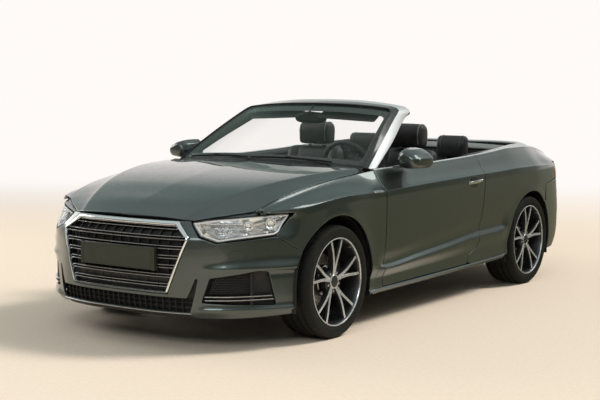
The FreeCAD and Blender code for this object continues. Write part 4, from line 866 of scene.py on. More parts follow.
def cloth_material():
    """Folded roof fabric: fine diagonal weave with a dull sheen."""
    made = new_material("roof_cloth", (0.035, 0.038, 0.042), 0.9, Sheen_Weight=0.35, Sheen_Roughness=0.4)
    weave = grain(made, 420.0, kind="ShaderNodeTexWave")
    weave.bands_direction = "DIAGONAL"
    weave.inputs["Distortion"].default_value = 1.5
    cloud = grain(made, 9.0, 4.0)
    tint(made, cloud, (0.060, 0.075, 0.070), (0.105, 0.124, 0.118))
    spread(made, cloud, 0.82, 0.96, "Roughness")
    bump(made, weave, 0.5, 0.0008)
    return made


def glass_material(name, colour, alpha, rough=0.01):
    """Thin tinted glass: clear, with a gloss that grows at flat angles."""
    made = new_material(name, colour, rough, Alpha=alpha, IOR=1.45, Specular_IOR_Level=0.5)
    facing = node(made, "ShaderNodeLayerWeight", Blend=0.5)
    link(made, mapped(made, facing.outputs["Facing"], 0.60, 1.0, alpha, 0.8), shader_of(made).inputs["Alpha"])
    wash = grain(made, 5.0, 2.0)
    spread(made, wash, rough * 0.7, rough * 2.0, "Roughness")
    return made


def lens_material(name, colour, rough=0.02, weight=1.0):
    made = new_material(name, colour, rough, Transmission_Weight=weight, IOR=1.42, Specular_IOR_Level=0.5)
    wash = grain(made, 60.0, 2.0)
    spread(made, wash, rough, rough * 2.5, "Roughness")
    return made


def tyre_material():
    made = new_material("tyre_rubber", (0.01, 0.01, 0.01), 0.72, Specular_IOR_Level=0.25)
    dust = grain(made, 34.0, 5.0)
    fine = grain(made, 900.0, 2.0)
    tint(made, dust, (0.004, 0.0045, 0.0032), (0.012, 0.013, 0.0095))
    spread(made, dust, 0.62, 0.85, "Roughness")
    bump(made, fine, 0.2, 0.0004)
    return made


def cast_material(name, dark, light, rough, metal, scale=140.0):
    made = new_material(name, dark, rough, metal)
    cloud = grain(made, scale, 6.0)
    tint(made, cloud, dark, light)
    spread(made, cloud, rough * 0.8, min(1.0, rough * 1.2), "Roughness")
    bump(made, cloud, 0.3, 0.0008)
    return made


def turned_metal(name, colour, rough, axis_scale=900.0, metal=1.0):
    """Machined face with fine turning rings."""
    made = new_material(name, colour, rough, metal)
    rings = grain(made, axis_scale, kind="ShaderNodeTexWave")
    cloud = grain(made, 40.0, 3.0)
    spread(made, cloud, rough * 0.75, rough * 1.3, "Roughness")
    bump(made, rings, 0.05, 0.0002)
    return made


def make_materials():
    look = {}
    look["paint"] = paint_material()
    look["shell"] = cast_material("shell_primer", (0.018, 0.02, 0.021), (0.035, 0.037, 0.038), 0.6, 0.1, 30.0)
    look["silver"] = bright_material("brushed_silver", (0.60, 0.62, 0.63), 0.42, (1, 0.05, 1), 700.0, 0.55)
    look["chrome"] = bright_material("chrome_plate", (0.84, 0.85, 0.86), 0.14, (1, 1, 1), 60.0)
    look["satin"] = bright_material("satin_chrome", (0.55, 0.56, 0.57), 0.28, (1, 1, 1), 200.0)
    look["black"] = plastic_material("black_moulding", (0.005, 0.005, 0.006), (0.011, 0.011, 0.012), 0.55)
    look["gloss_black"] = plastic_material("gloss_black_trim", (0.006, 0.006, 0.007), (0.010, 0.010, 0.011), 0.16,
                                           300.0, 0.02, 0.5)
    look["rubber"] = plastic_material("rubber_seal", (0.012, 0.012, 0.012), (0.022, 0.022, 0.022), 0.7, 500.0, 0.15)
    look["plate"] = plastic_material("plate_blank", (0.022, 0.026, 0.016), (0.034, 0.038, 0.026), 0.5, 300.0, 0.06)
    look["tyre"] = tyre_material()
    look["alloy"] = turned_metal("alloy_face", (0.62, 0.63, 0.65), 0.26, 1400.0, 0.72)
    look["alloy_dark"] = cast_material("alloy_pocket", (0.045, 0.047, 0.05), (0.075, 0.078, 0.08), 0.42, 0.8, 160.0)
    look["disc"] = turned_metal("disc_iron", (0.42, 0.41, 0.40), 0.30, 1500.0)
    look["caliper"] = cast_material("caliper_iron", (0.10, 0.10, 0.105), (0.17, 0.17, 0.175), 0.5, 0.7)
    look["iron"] = cast_material("cast_iron", (0.045, 0.045, 0.047), (0.09, 0.088, 0.085), 0.6, 0.5)
    look["steel"] = bright_material("exhaust_steel", (0.45, 0.44, 0.42), 0.34, (1, 1, 1), 160.0)
    look["leather"] = leather_material("black_leather", (0.014, 0.014, 0.015), (0.026, 0.026, 0.027))
    look["piping"] = leather_material("grey_piping", (0.16, 0.16, 0.155), (0.22, 0.22, 0.21), 0.55)
    look["thread"] = leather_material("seam_thread", (0.10, 0.10, 0.10), (0.16, 0.16, 0.16), 0.7)
    look["cabin"] = plastic_material("cabin_plastic_soft", (0.016, 0.016, 0.017), (0.028, 0.028, 0.03), 0.62, 700.0,
                                     0.35)
    look["carpet"] = plastic_material("carpet", (0.014, 0.014, 0.015), (0.03, 0.03, 0.031), 0.95, 1600.0, 0.9)
    look["cloth"] = cloth_material()
    look["window"] = glass_material("window_tint", (0.16, 0.22, 0.19), 0.05)
    look["mirror"] = bright_material("mirror_silver", (0.86, 0.87, 0.88), 0.02, (1, 1, 1), 20.0)
    look["lens"] = glass_material("lamp_lens", (0.75, 0.78, 0.80), 0.05, 0.015)
    look["bulb_glass"] = lens_material("projector_glass", (0.9, 0.93, 0.95), 0.02)
    look["red_lens"] = glass_material("red_lens", (0.30, 0.006, 0.006), 0.86, 0.05)
    look["red_glow"] = plastic_material("red_inner", (0.35, 0.01, 0.01), (0.5, 0.02, 0.015), 0.3, 400.0, 0.1)
    look["clear_lens"] = lens_material("clear_lens_band", (0.7, 0.7, 0.7), 0.06, 0.6)
    look["guide"] = plastic_material("light_guide", (0.82, 0.84, 0.86), (0.9, 0.91, 0.92), 0.18, 300.0, 0.02)
    look["headlamp_dark"] = plastic_material("lamp_bezel", (0.03, 0.032, 0.034), (0.05, 0.052, 0.055), 0.25, 200.0,
                                             0.03, 0.3)
    look["reflector"] = bright_material("lamp_reflector", (0.86, 0.87, 0.88), 0.22, (1, 1, 1), 50.0)
    look["display"] = plastic_material("instrument_glass", (0.010, 0.012, 0.014), (0.02, 0.022, 0.025), 0.12, 200.0,
                                       0.02, 0.4)
    return look


# ---------------------------------------------------------------- body panels
SIDE_STEPS = (3, 4, 6, 7, 7, 9, 8, 7, 8, 4)


def feature_rows(y):
    """Heights up the body side that follow its creases, for one station."""
    y = np.asarray(y, float)
    low, blade = side_value(y, "low_z"), side_value(y, "blade_z")
    line, edge_z = side_value(y, "line_z"), side_value(y, "edge_z")
    band = blade_band(y)
    knots = np.stack([low - 30, low + 8, low + 62, blade - band, blade, blade + 90, 700 + 0 * y, line - 9,
                      line + 5, edge_z - 14, edge_z], -1)
    rows = []
    for index, count in enumerate(SIDE_STEPS):
        for k in range(count):
            rows.append(knots[..., index] + (knots[..., index + 1] - knots[..., index]) * k / count)
    last = knots[..., -1]
    rows += [last + step for step in (0, 6, 14, 24, 36, 50, 66, 84, 104, 126, 150)]
    return np.stack(rows, -1)


def side_lattice(y0, y1, spacing=17.0):
    ys = np.arange(y0, y1, spacing)
    rows = feature_rows(ys)
    return np.stack([np.repeat(ys[:, None], rows.shape[1], 1), rows], -1).reshape(-1, 2)


def edge_at(y):
    return float(side_value(y, "edge_x")), float(side_value(y, "edge_z"))


def edge_v(y, past=0.0):
    return float(side_value(y, "edge_z")) + past


def side_skin(outline, holes=(), **settings):
    outline = np.asarray(outline, float)
    lattice = side_lattice(outline[:, 0].min(), outline[:, 0].max())
    return skin(side_point, outline, holes, lattice=lattice, outward=(1, 0, 0.2), **settings)


def arch_points(axle, radius, start, end, steps=40):
    return [tuple(p) for p in arc((axle, WHEEL_Z), radius, start, end, steps)]


def top_edge(y0, y1, past, steps=24):
    return [(y, edge_v(y, past)) for y in np.linspace(y0, y1, steps)]


DOOR_REAR = np.array(((252, 285), (300, 318), (356, 414), (550, 460), (757, 492), (860, 506), (964, 510)), float)


def door_rear(v):
    return float(along(DOOR_REAR[:, 0], DOOR_REAR[:, 1], v))


def door_outline():
    front = [(-803, 233), (-803, 940)]
    top = top_edge(-800, 508, 6)
    rear = [(door_rear(v), v) for v in np.linspace(955, 262, 34)]
    return rounded(front + top[1:] + rear + [(285, 250)], 4, 3)


def fender_outline():
    joint = [(-1866, 743), (-1780, 741), (-1704, 744), (-1714, 722), (-1762, 670), (-1806, 626), (-1800, 617),
             (-1722, 561), (-1655, 531)]
    low_angle = 180 + math.degrees(math.asin((WHEEL_Z - 222) / FRONT_ARCH))
    start = 180 - math.degrees(math.asin((525 - WHEEL_Z) / FRONT_ARCH))
    over = arch_points(FRONT_AXLE_Y, FRONT_ARCH, start, -(low_angle - 180), 44)
    rear = [(-809, 220), (-809, edge_v(-809))]
    top = top_edge(-812, -1866, 0)
    return np.array(joint + over + rear + top)


def quarter_outline():
    left = [(door_rear(v) + SHUT_GAP, v) for v in np.linspace(262, 955, 34)]
    top_v = [(y, edge_v(y) + float(shoulder_length(y)) - 2) for y in np.linspace(517, 1560, 26)]
    deck = [(y, edge_v(y) + float(shoulder_length(y)) - 14) for y in np.linspace(1590, 2030, 12)]
    tail = [(2040, edge_v(2040) - 6), (1990, 884), (1748, 878), (1748, 748), (1690, 738), (1545, 722),
            (1534, 700), (1534, 590)]
    stop = math.degrees(math.acos((1534 - REAR_AXLE_Y) / REAR_ARCH))
    over = arch_points(REAR_AXLE_Y, REAR_ARCH, stop, 180 + math.degrees(math.asin((WHEEL_Z - 250) / REAR_ARCH)), 44)
    sill = [(880, 250), (345, 246)]
    return np.array(left + top_v + deck + tail + over + sill)


def make_fenders(look):
    form = side_skin(fender_outline(), depth=16)
    piece("fender_panels", form.paired(), look["paint"], "body", ["front_fenders"])


def make_quarters(look):
    form = side_skin(quarter_outline(), depth=16)
    piece("quarter_panels", form.paired(), look["paint"], "body", ["rear_quarters"])
    lamp_edge = np.array(((567, 2040, 864), (590, 2031, 864), (612, 2023, 864), (645, 2008, 865)), float)
    panel_edge = np.array(((576, 2026, 934), (602, 2030, 922), (626, 2031, 900), (648, 2014, 880)), float)
    shares = np.linspace(0, 1, 5)[None, :, None]
    corner = Form()
    corner.grid(lamp_edge[:, None] + (panel_edge - lamp_edge)[:, None] * shares, flip=True)
    piece("tail_corner_fillers", corner.paired(), look["paint"], "body")


def door_core():
    """Inner box of the door, from its skin to the trim, set in where it swings past the pillars."""
    front = [(-738, 262), (-738, 916)]
    top = [(y, edge_v(y) - 18) for y in np.linspace(-700, 470, 14)]
    rear = [(door_rear(v) - 22, v) for v in np.linspace(930, 300, 14)]
    return rounded(front + top + rear + [(262, 268)], 8, 3)


def make_doors(look):
    skin_form = side_skin(door_outline(), depth=15)
    outline = turned_left(densify(door_core(), 26))
    form = Form()
    outer = side_point(outline[:, 0], outline[:, 1])
    outer[:, 0] -= 14.0
    small = inset(outline, 6.0)
    levels = [outer]
    for x in (740.0, 716.0):
        levels.append(at_level(outline, x, "x"))
    levels.append(at_level(small, 711, "x"))
    form.grid(np.array(levels), wrap_v=True)
    skin_form.join(form)
    door_pair("_panel", skin_form, look["paint"], "")
    trims = [look["cabin"], look["leather"], look["satin"], look["carpet"]]
    door_pair("_trim", door_card(small), trims)


def door_card(small):
    """Inner trim: soft upper, armrest with its pull, pocket, speaker and handle."""
    form = Form()
    core = turned_left(densify(rounded(small, 3), 20))
    low, high = core.min(0), core.max(0)
    us, vs = np.arange(low[0], high[0], 22.0), np.arange(low[1], high[1], 16.0)
    lattice = np.stack(np.meshgrid(us, vs, indexing="ij"), -1).reshape(-1, 2)

    def surface(y, z):
        arm = smooth_step(560, 600, z) * (1 - smooth_step(640, 668, z))
        arm = arm * smooth_step(-470, -380, y) * (1 - smooth_step(250, 340, y))
        pocket = smooth_step(300, 316, z) * (1 - smooth_step(380, 400, z))
        pocket = pocket * smooth_step(-620, -600, y) * (1 - smooth_step(140, 170, y))
        upper = smooth_step(740, 800, z)
        x = 711.0 - 7.0 * arm + 14.0 * pocket + 9.0 * upper * smooth_step(820, 930, z)
        return np.stack([x, y, z], -1)
    card = skin(surface, core, (), lattice=lattice, spacing=22, depth=4, outward=(-1, 0, 0), under=False)
    form.join(card, 0)
    pad = slab(rounded([(-400, 606), (230, 606), (260, 640), (230, 668), (-400, 668), (-430, 640)], 18), 700.6, 712,
               "x", 5)
    form.join(pad, 1)
    grip = sweep([(702, y, 700 + 26 * math.sin(math.pi * (y + 330) / 230)) for y in np.linspace(-330, -100, 16)],
                 ring_section(4.5, 8))
    form.join(grip, 2)
    lever = slab(rounded([(-560, 716), (-500, 722), (-490, 740), (-556, 744)], 6), 701, 708, "x", 2)
    form.join(lever, 2)
    form.join(sweep(circle((706, -560, 470), 62, 36, "x"), ring_section(4.0, 8), closed=True, up=(1, 0, 0)), 2)
    return form


def make_sills(look):
    """Blade under the doors, with its step and the plain strip below."""
    ys = np.linspace(-955, 872, 90)
    low, wide = side_value(ys, "low_z"), side_value(ys, "wide_x")
    rise = along([-960, -870, 700, 880], [-4, 0, 0, 6], ys)
    rings = []
    section = ((-46, 6), (-20, 2), (-14, -6), (-17, -20), (-30, -28), (-70, -31))
    inner_x = 694.0
    for y, base, width, lift in zip(ys, low, wide, rise):
        taper = float(smooth_step(-955, -890, y) * (1 - smooth_step(820, 872, y)))
        ring = [(width + dx - 6 * (1 - taper), y, base + (dz if dz > 0 else dz * (0.55 + 0.45 * taper)) + lift)
                for dx, dz in section]
        ring += [(inner_x, y, base - 28 * (0.55 + 0.45 * taper) + lift), (inner_x, y, base + 2 + lift)]
        rings.append(ring)
    form = lofted(rings)
    piece("sill_blades", form.paired(), look["paint"], "body", ["side_sills"], 24)


def hood_outline():
    half = [(0, -2114), (180, -2108), (360, -2091), (431, -2070), (560, -1975), (690, -1866), (722, -1693),
            (742, -1455), (751, -1200), (756, -945), (748, -900), (700, -892), (400, -934), (0, -952)]
    left = [(-x, y) for x, y in half[1:-1]]
    return rounded(half + left[::-1], [0, 4, 6, 16, 30, 40, 60, 80, 80, 30, 16, 30, 60, 0] + [8] * len(left), 5)


def hood_lattice():
    points = []
    for y in np.arange(-2110, -890, 18.0):
        fold, edge = float(column(HOOD_ROWS, 2, y)), float(column(HOOD_ROWS, 4, y))
        xs = np.concatenate([np.linspace(0, fold * 0.5, 14, False), np.linspace(fold * 0.5, fold - 26, 10, False),
                             np.linspace(fold - 26, fold + 22, 9, False), np.linspace(fold + 22, edge, 8)])
        points += [(x, y) for x in xs] + [(-x, y) for x in xs[1:]]
    return np.array(points)


def make_hood(look):
    form = skin(hood_point, hood_outline(), lattice=hood_lattice(), spacing=14, depth=15, outward=(0, 0, 1),
                under_slot=1)
    for x0, x1 in ((-560, -60), (60, 560)):
        ribs = rounded(corners_of(x0, x1, -1960, -1040), 60, 6)
        rail = densify(ribs, 24)
        path = hood_point(rail[:, 0], np.clip(rail[:, 1], -2100, -900))
        path[:, 2] -= 16.0
        form.join(sweep(path, bar_section(26, 8, 3), closed=True), 1)
    for side in (LEFT, RIGHT):
        bar = block(HOOD_HINGE_X - 9, HOOD_HINGE_X + 9, -905, HOOD_HINGE[0] + 8, HOOD_HINGE[1] - 7,
                    HOOD_HINGE[1] + 7, 3)
        form.join(bar if side == LEFT else bar.mirrored(), 1)
        leg = block(HOOD_HINGE_X - 9, HOOD_HINGE_X + 9, -915, -893, HOOD_HINGE[1] - 7, 922, 3)
        form.join(leg if side == LEFT else leg.mirrored(), 1)
    piece("hood_panel", form, [look["paint"], look["shell"]], "hood", ["hood"])


def boot_sheet(x, s):
    """Boot lid surface: s runs back over the top and then down the rear face."""
    x = np.asarray(x, float)
    s = np.asarray(s, float)
    across = np.abs(x)
    plan = along(NOSE_X, TAIL_Y, across)
    end = plan - 2211.5
    top_y = [1575, 1750, 1930, 2060, 2118]
    knots = top_y + [2150, 2200, 2262, 2350, 2402]
    ys, zs = [], []
    for y in top_y:
        shift = end * smooth_step(1930, 2118, y)
        point = boot_point(across, np.full(across.shape, float(y)))
        ys.append(y + shift)
        zs.append(point[..., 2])
    lip = zs[-1]
    drop = lip - 962
    ys += [2140 + end, 2150 + end, 2158 + end, 2164 + end, 2162 + end]
    zs += [lip - 16, 905 + drop * 0.6 + 10, 842 + drop * 0.2, 768 + 0 * across, 716 + 0 * across]
    knots = np.broadcast_to(np.asarray(knots, float), across.shape + (len(knots),))
    y = along(knots, np.stack(ys, -1), s)
    z = along(knots, np.stack(zs, -1), s)
    return np.stack([x, y, z], -1)


TAIL_X = TAIL_PLAN[:, 0]
NOSE_X = np.concatenate([TAIL_X, [900.0]])
TAIL_Y = np.concatenate([TAIL_PLAN[:, 1], [1440.0]])


def make_boot(look):
    half = [(0, 1577), (590, 1577), (607, 1604), (592, 1750), (576, 1930), (566, 2050), (562, 2150), (566, 2262),
            (560, 2400), (0, 2400)]
    left = [(-x, y) for x, y in half[1:-1]]
    outline = rounded(half + left[::-1], 14, 4)
    form = skin(boot_sheet, outline, spacing=17, depth=15, outward=(0, 0.4, 1), under_slot=1)
    bar = disc((-560, BOOT_HINGE[0], BOOT_HINGE[1] - 14), (1, 0, 0), 7, 1120, 16, 1, 1)
    form.join(bar, 1)
    piece("boot_panel", form, [look["paint"], look["shell"]], "boot_lid", ["boot_lid"])
    spoiler = Form()
    xs = np.linspace(-548, 548, 80)
    path = boot_sheet(xs, np.full(xs.shape, 2112.0))
    path[:, 2] += 3.5
    taper = np.clip((560 - np.abs(xs)) / 60, 0.2, 1)
    spoiler.join(sweep(path, rounded([(-17, -3), (14, -4), (16, 2), (2, 4)], 2, 3), scale=taper))
    piece("boot_lip", spoiler, look["paint"], "boot_lid")
    grip = Form()
    xs = np.linspace(-190, 190, 30)
    path = boot_sheet(xs, np.full(xs.shape, 2246.0))
    path[:, 1] += 3.0
    grip.join(sweep(path, bar_section(6, 22, 2.5)))
    piece("boot_handle_strip", grip, look["satin"], "boot_lid")
    plate = Form()
    pocket = block(-262, 262, 2163, 2168, 752, 864, 4)
    plate.join(pocket)
    piece("rear_plate_blank", plate, look["plate"], "boot_lid")


# ---------------------------------------------------------------- nose
def plan_table(plan):
    """The distance round a plan outline, x and y, in fine steps."""
    places = plan_length(plan)
    run = np.linspace(0, places[-1], PLAN_STEPS)
    return run, along(places, plan[:, 0], run), along(places, plan[:, 1], run)


NOSE_TABLE, TAIL_TABLE = plan_table(NOSE_PLAN), plan_table(TAIL_PLAN)
LENS_LEVELS = np.array(((560, 14), (600, 20), (655, 52), (705, 90), (752, 126)), float)


def u_at_x(x, table=NOSE_TABLE):
    return np.sign(x) * np.interp(np.abs(x), table[1], table[0])


def u_at_y(y, z, levels=NOSE_LEVELS, table=NOSE_TABLE, forward=1):
    """Distance round the nose or tail at which its surface passes a station y at height z."""
    run, xs, ys = table
    lean = along(levels[:, 0], levels[:, 1], np.float64(z))
    x = 850.0
    for _ in range(4):
        x = np.interp(forward * y - lean * eased(x), forward * ys, xs)
    return float(np.interp(x, xs, run))


def tail_u_at_x(x):
    return u_at_x(x, TAIL_TABLE)


def tail_u_at_y(y, z, levels=TAIL_LEVELS):
    return u_at_y(y, z, levels, TAIL_TABLE, -1)


def nose_at(x, z, back=0.0):
    """Point of the nose at (x, z), set back from its surface."""
    x = np.asarray(x, float)
    z = np.asarray(z, float)
    point = nose_point(u_at_x(x), z)
    point[..., 1] += back
    return point


def lens_point(u, z):
    return wrap_point(NOSE_PLAN, LENS_LEVELS, u, z, 1)


def arch_side(axle, radius, z, forward):
    return axle + forward * math.sqrt(max(0.0, radius ** 2 - (z - WHEEL_Z) ** 2))


def level_line(surface, us, z, back=0.0):
    """Line on a surface at one height, set back along y."""
    path = surface(us, np.full(np.shape(us), float(z)))
    path[:, 1] += back
    return path


GRILLE_BACK = 46.0
SLAT_DEPTH = 14


def bumper_outline():
    arch = []
    for z in np.linspace(205, 526, 14):
        y = arch_side(FRONT_AXLE_Y, FRONT_ARCH, z, -1)
        arch.append((u_at_y(y, z), z))
    joint = [(u_at_y(y, z), z) for y, z in ((-1722, 556), (-1800, 612), (-1812, 619))]
    lamp = [(u_at_x(800), 621), (u_at_x(640), 594), (u_at_x(589), 586), (u_at_x(502), 619), (u_at_x(437), 686),
            (u_at_x(428), 700), (u_at_x(362), 700)]
    notch = [(u_at_x(460), 616), (u_at_x(344), 309)]
    bottom = [(u_at_x(452), 200), (u_at_x(486), 178), (u_at_x(700), 182), (u_at_y(-1702, 196), 192)]
    return bottom, arch, joint, lamp, notch


def make_bumper(look):
    bottom, arch, joint, lamp, notch = bumper_outline()
    half = [(6, 200)] + bottom + arch + joint + lamp + notch + [(6, 309)]
    outline = mirrored_outline(half[1:-1])
    slot_half = [(u_at_x(462), 213), (u_at_x(478), 260), (u_at_x(494), 330), (u_at_x(506), 398),
                 (u_at_x(494), 398), (u_at_x(468), 330), (u_at_x(450), 292)]
    slot = rounded(mirrored_outline(slot_half), 5, 3)
    intake = rounded([(u_at_x(x), z) for x, z in ((522, 268), (797, 248), (775, 432), (748, 438), (562, 402))],
                     [12, 14, 20, 24, 12], 5)
    intake_left = np.array([(-u, z) for u, z in intake])
    lattice = []
    for u in np.arange(-outline[:, 0].max(), outline[:, 0].max(), 13.0):
        for z in list(np.arange(176, 400, 12)) + list(np.arange(400, 500, 7)) + list(np.arange(500, 710, 10)):
            lattice.append((u, z))
    form = skin(nose_point, rounded(outline, 5, 3), [slot, intake, intake_left], lattice=np.array(lattice),
                spacing=13, depth=14, outward=(0, -1, 0))
    piece("front_bumper_skin", form, look["paint"], "body", ["front_bumper"])
    lip = Form()
    us = np.linspace(-u_at_x(466), u_at_x(466), 70)
    path = level_line(nose_point, us, 207)
    lip.join(sweep(path, bar_section(7, 4, 1.5)))
    piece("front_lip_strip", lip, look["satin"], "body")
    make_washer_covers(look)
    make_lower_intake(look)
    make_side_intakes(look, intake)


def make_washer_covers(look):
    loop = densify(rounded([(u_at_x(640), 512), (u_at_x(650), 549), (u_at_x(716), 547), (u_at_x(704), 510)], 6), 8)
    path = nose_point(loop[:, 0], loop[:, 1])
    path[:, 1] += 0.4
    form = sweep(path, ring_section(1.1, 6), closed=True)
    piece("washer_cover_lines", form.paired(), look["rubber"], "body")


def make_lower_intake(look):
    form = Form()
    us = np.linspace(-u_at_x(536), u_at_x(536), 64)
    rows = []
    for z, back in ((410, 26), (296, 40), (250, 60), (208, 40), (204, 18)):
        rows.append(level_line(nose_point, us, z, back))
    form.grid(np.array(rows))
    for k in range(-11, 12):
        x = k * 38.0
        path = nose_at(np.full(8, x), np.linspace(212, 290, 8), 22)
        form.join(sweep(path, bar_section(5, 16, 1.5), up=(0, -1, 0)))
    for z in (240, 266):
        path = level_line(nose_point, us[4:-4], z, 26)
        form.join(sweep(path, bar_section(12, 4, 1)))
    chin_us = np.linspace(-u_at_x(474), u_at_x(474), 60)
    rows = []
    for z, back in ((199, 6), (194, 12), (184, 15), (174, 20), (172, 60), (176, 110)):
        rows.append(level_line(nose_point, chin_us, z, back))
    form.grid(np.array(rows))
    piece("lower_intake_grid", form, look["black"], "body")


def hexagons(surface, outline, size, back, wall=2.0):
    """Honeycomb of thin ribs that fills an outline on a surface."""
    form = Form()
    low, high = outline.min(0), outline.max(0)
    step_u, step_z = size * math.sqrt(3), size * 1.5
    row = 0
    z = low[1]
    while z < high[1]:
        u = low[0] + (row % 2) * step_u / 2
        while u < high[0]:
            if inside(np.array([(u, z)]), outline)[0]:
                angles = np.radians(np.arange(6) * 60 + 30)
                ring = []
                for radius, depth in ((size, back), (size - wall, back), (size - wall, back + 9)):
                    spots = np.stack([u + radius * np.cos(angles), z + radius * np.sin(angles)], 1)
                    points = surface(spots[:, 0], spots[:, 1])
                    points[:, 1] += depth
                    ring.append(points)
                form.grid(np.array(ring), wrap_v=True, flip=True)
            u += step_u
        z += step_z
        row += 1
    return form


def make_side_intakes(look, outline):
    dark, bright = Form(), Form()
    grown = inset(turned_left(densify(outline, 12)), -4)
    rows = []
    for shift, back in ((0.0, 12.0), (2.0, 44.0)):
        loop = inset(grown, shift)
        points = nose_point(loop[:, 0], loop[:, 1])
        points[:, 1] += back
        rows.append(points)
    dark.grid(np.array(rows), wrap_v=True)
    middle = rows[1].mean(0)
    fan = np.vstack([rows[1], middle])
    count = len(rows[1])
    dark.add(fan, [(k, (k + 1) % count, count) for k in range(count)])
    low_u, high_u = u_at_x(548), u_at_x(712)
    mesh_zone = np.array([(low_u, 318), (high_u, 312), (high_u, 425), (low_u + 30, 402)])
    dark.join(hexagons(nose_point, mesh_zone, 8.5, 20.0))
    pillar = nose_point(np.full(10, float(u_at_x(718))), np.linspace(256, 430, 10))
    pillar[:, 1] += 14
    dark.join(sweep(pillar, bar_section(12, 26, 3), up=(0, -1, 0)))
    for z, end in ((303, 780), (284, 784)):
        us = np.linspace(u_at_x(536), u_at_x(end), 26)
        path = level_line(nose_point, us, z, 8)
        bright.join(sweep(path, bar_section(16, 4.5, 1.4)))
        dark_path = path.copy()
        dark_path[:, 1] += 10
        dark_path[:, 2] -= 4
        dark.join(sweep(dark_path, bar_section(22, 7, 2)))
    piece("side_intake_ducts", dark.paired(), look["black"], "body", ["intake_grilles"], 40)
    piece("side_intake_blades", bright.paired(), look["satin"], "body")


# ---------------------------------------------------------------- grille
def grille_loops():
    outer = turned_left(densify(rounded(GRILLE, [26, 26, 22, 20, 20, 22], 6), 12))
    widths = 14.0 + 12.0 * smooth_step(600, 694, outer[:, 1])
    return outer, widths


def make_grille(look):
    outer, widths = grille_loops()
    frame_form = Form()
    rings = []
    for share, depth in ((0.0, 10), (0.0, 0), (0.10, -5.5), (0.30, -8.5), (0.62, -7.5), (0.86, -1), (1.0, 9),
                         (1.04, 34)):
        loop = inset(outer, widths * share)
        rings.append(nose_at(loop[:, 0], loop[:, 1], depth))
    frame_form.grid(np.array(rings), wrap_v=True, flip=False)
    piece("grille_surround", frame_form, look["chrome"], "body", ["grille_frame"], 50)
    inner = inset(outer, widths * 1.02)
    make_grille_bars(look, inner)


def span_at(loop, z):
    """Lowest and highest x of an outline at a height."""
    found = []
    for (x0, z0), (x1, z1) in zip(loop, np.roll(loop, -1, axis=0)):
        if (z0 <= z) != (z1 <= z):
            found.append(x0 + (x1 - x0) * (z - z0) / (z1 - z0))
    return (min(found), max(found)) if found else None


def make_grille_bars(look, inner):
    black, bright = Form(), Form()
    pad = turned_left(inset(inner, -3))
    back = nose_at(pad[:, 0], pad[:, 1], GRILLE_BACK)
    rows = [back]
    centre = np.array([0.0, 480.0])
    for share in (0.66, 0.33, 0.04):
        loop = centre + (pad - centre) * share
        rows.append(nose_at(loop[:, 0], loop[:, 1], GRILLE_BACK))
    black.grid(np.array(rows), wrap_v=True, flip=True)
    front_rows = [nose_at(pad[:, 0], pad[:, 1], 12), back]
    black.grid(np.array(front_rows), wrap_v=True, flip=True)
    for high in np.arange(669, 340, -51.0):
        for z in (high, high - 15):
            span = span_at(inner, z)
            if span is None:
                continue
            xs = np.linspace(span[0] + 2, span[1] - 2, 46)
            path = nose_at(xs, np.full(xs.shape, z), SLAT_DEPTH)
            bright.join(sweep(path, bar_section(6, 2.6, 1.0)))
            behind = nose_at(xs, np.full(xs.shape, z), SLAT_DEPTH + 13)
            black.join(sweep(behind, bar_section(20, 4.6, 1.4)))
    for k in range(-6, 7):
        x = k * 66.0
        heights = [p for p in np.linspace(320, 690, 26) if inside(np.array([(x, p)]), inner)[0]]
        if len(heights) < 4:
            continue
        path = nose_at(np.full(len(heights), x), np.array(heights), 34)
        black.join(sweep(path, bar_section(5, 16, 1.5), up=(0, -1, 0)))
    piece("grille_slats_dark", black, look["black"], "body", ["grille_insert"], 45)
    piece("grille_slats_bright", bright, look["satin"], "body")
    plate = Form()
    loop = rounded([(434, -262), (434, 262), (553, 262), (553, -262)], 6, 3)
    plate.join(slab(loop, -2211, -2190, "y", 2))
    for x in (-262, 262):
        strip = slab(rounded([(430, x - 9), (430, x + 9), (557, x + 9), (557, x - 9)], 4, 3), -2209, -2186, "y", 2)
        plate.join(strip)
    rim = [(-250, -2211.6, 442), (250, -2211.6, 442), (250, -2211.6, 545), (-250, -2211.6, 545)]
    plate.join(sweep(densify(rim, 40), bar_section(1.2, 2.0, 0.4), closed=True, up=(0, -1, 0)))
    piece("front_plate_blank", plate, look["plate"], "body")


# ---------------------------------------------------------------- headlamps
def lamp_outline():
    u_top = u_at_y(-1706, 740, LENS_LEVELS)
    u_middle = u_at_y(-1766, 676, LENS_LEVELS)
    u_low = u_at_y(-1816, 627, LENS_LEVELS)
    u_knee = u_at_y(-1790, 640, LENS_LEVELS)
    return [(u_at_x(438), 693), (u_at_x(504), 624), (u_at_x(590), 593), (u_at_x(612), 596), (u_at_x(640), 602),
            (u_at_x(700), 612), (u_low, 626), (u_knee, 642), (u_middle, 680), (u_top, 738),
            (u_at_y(-1780, 738, LENS_LEVELS), 735), (u_at_x(700), 728), (u_at_x(560), 713)]


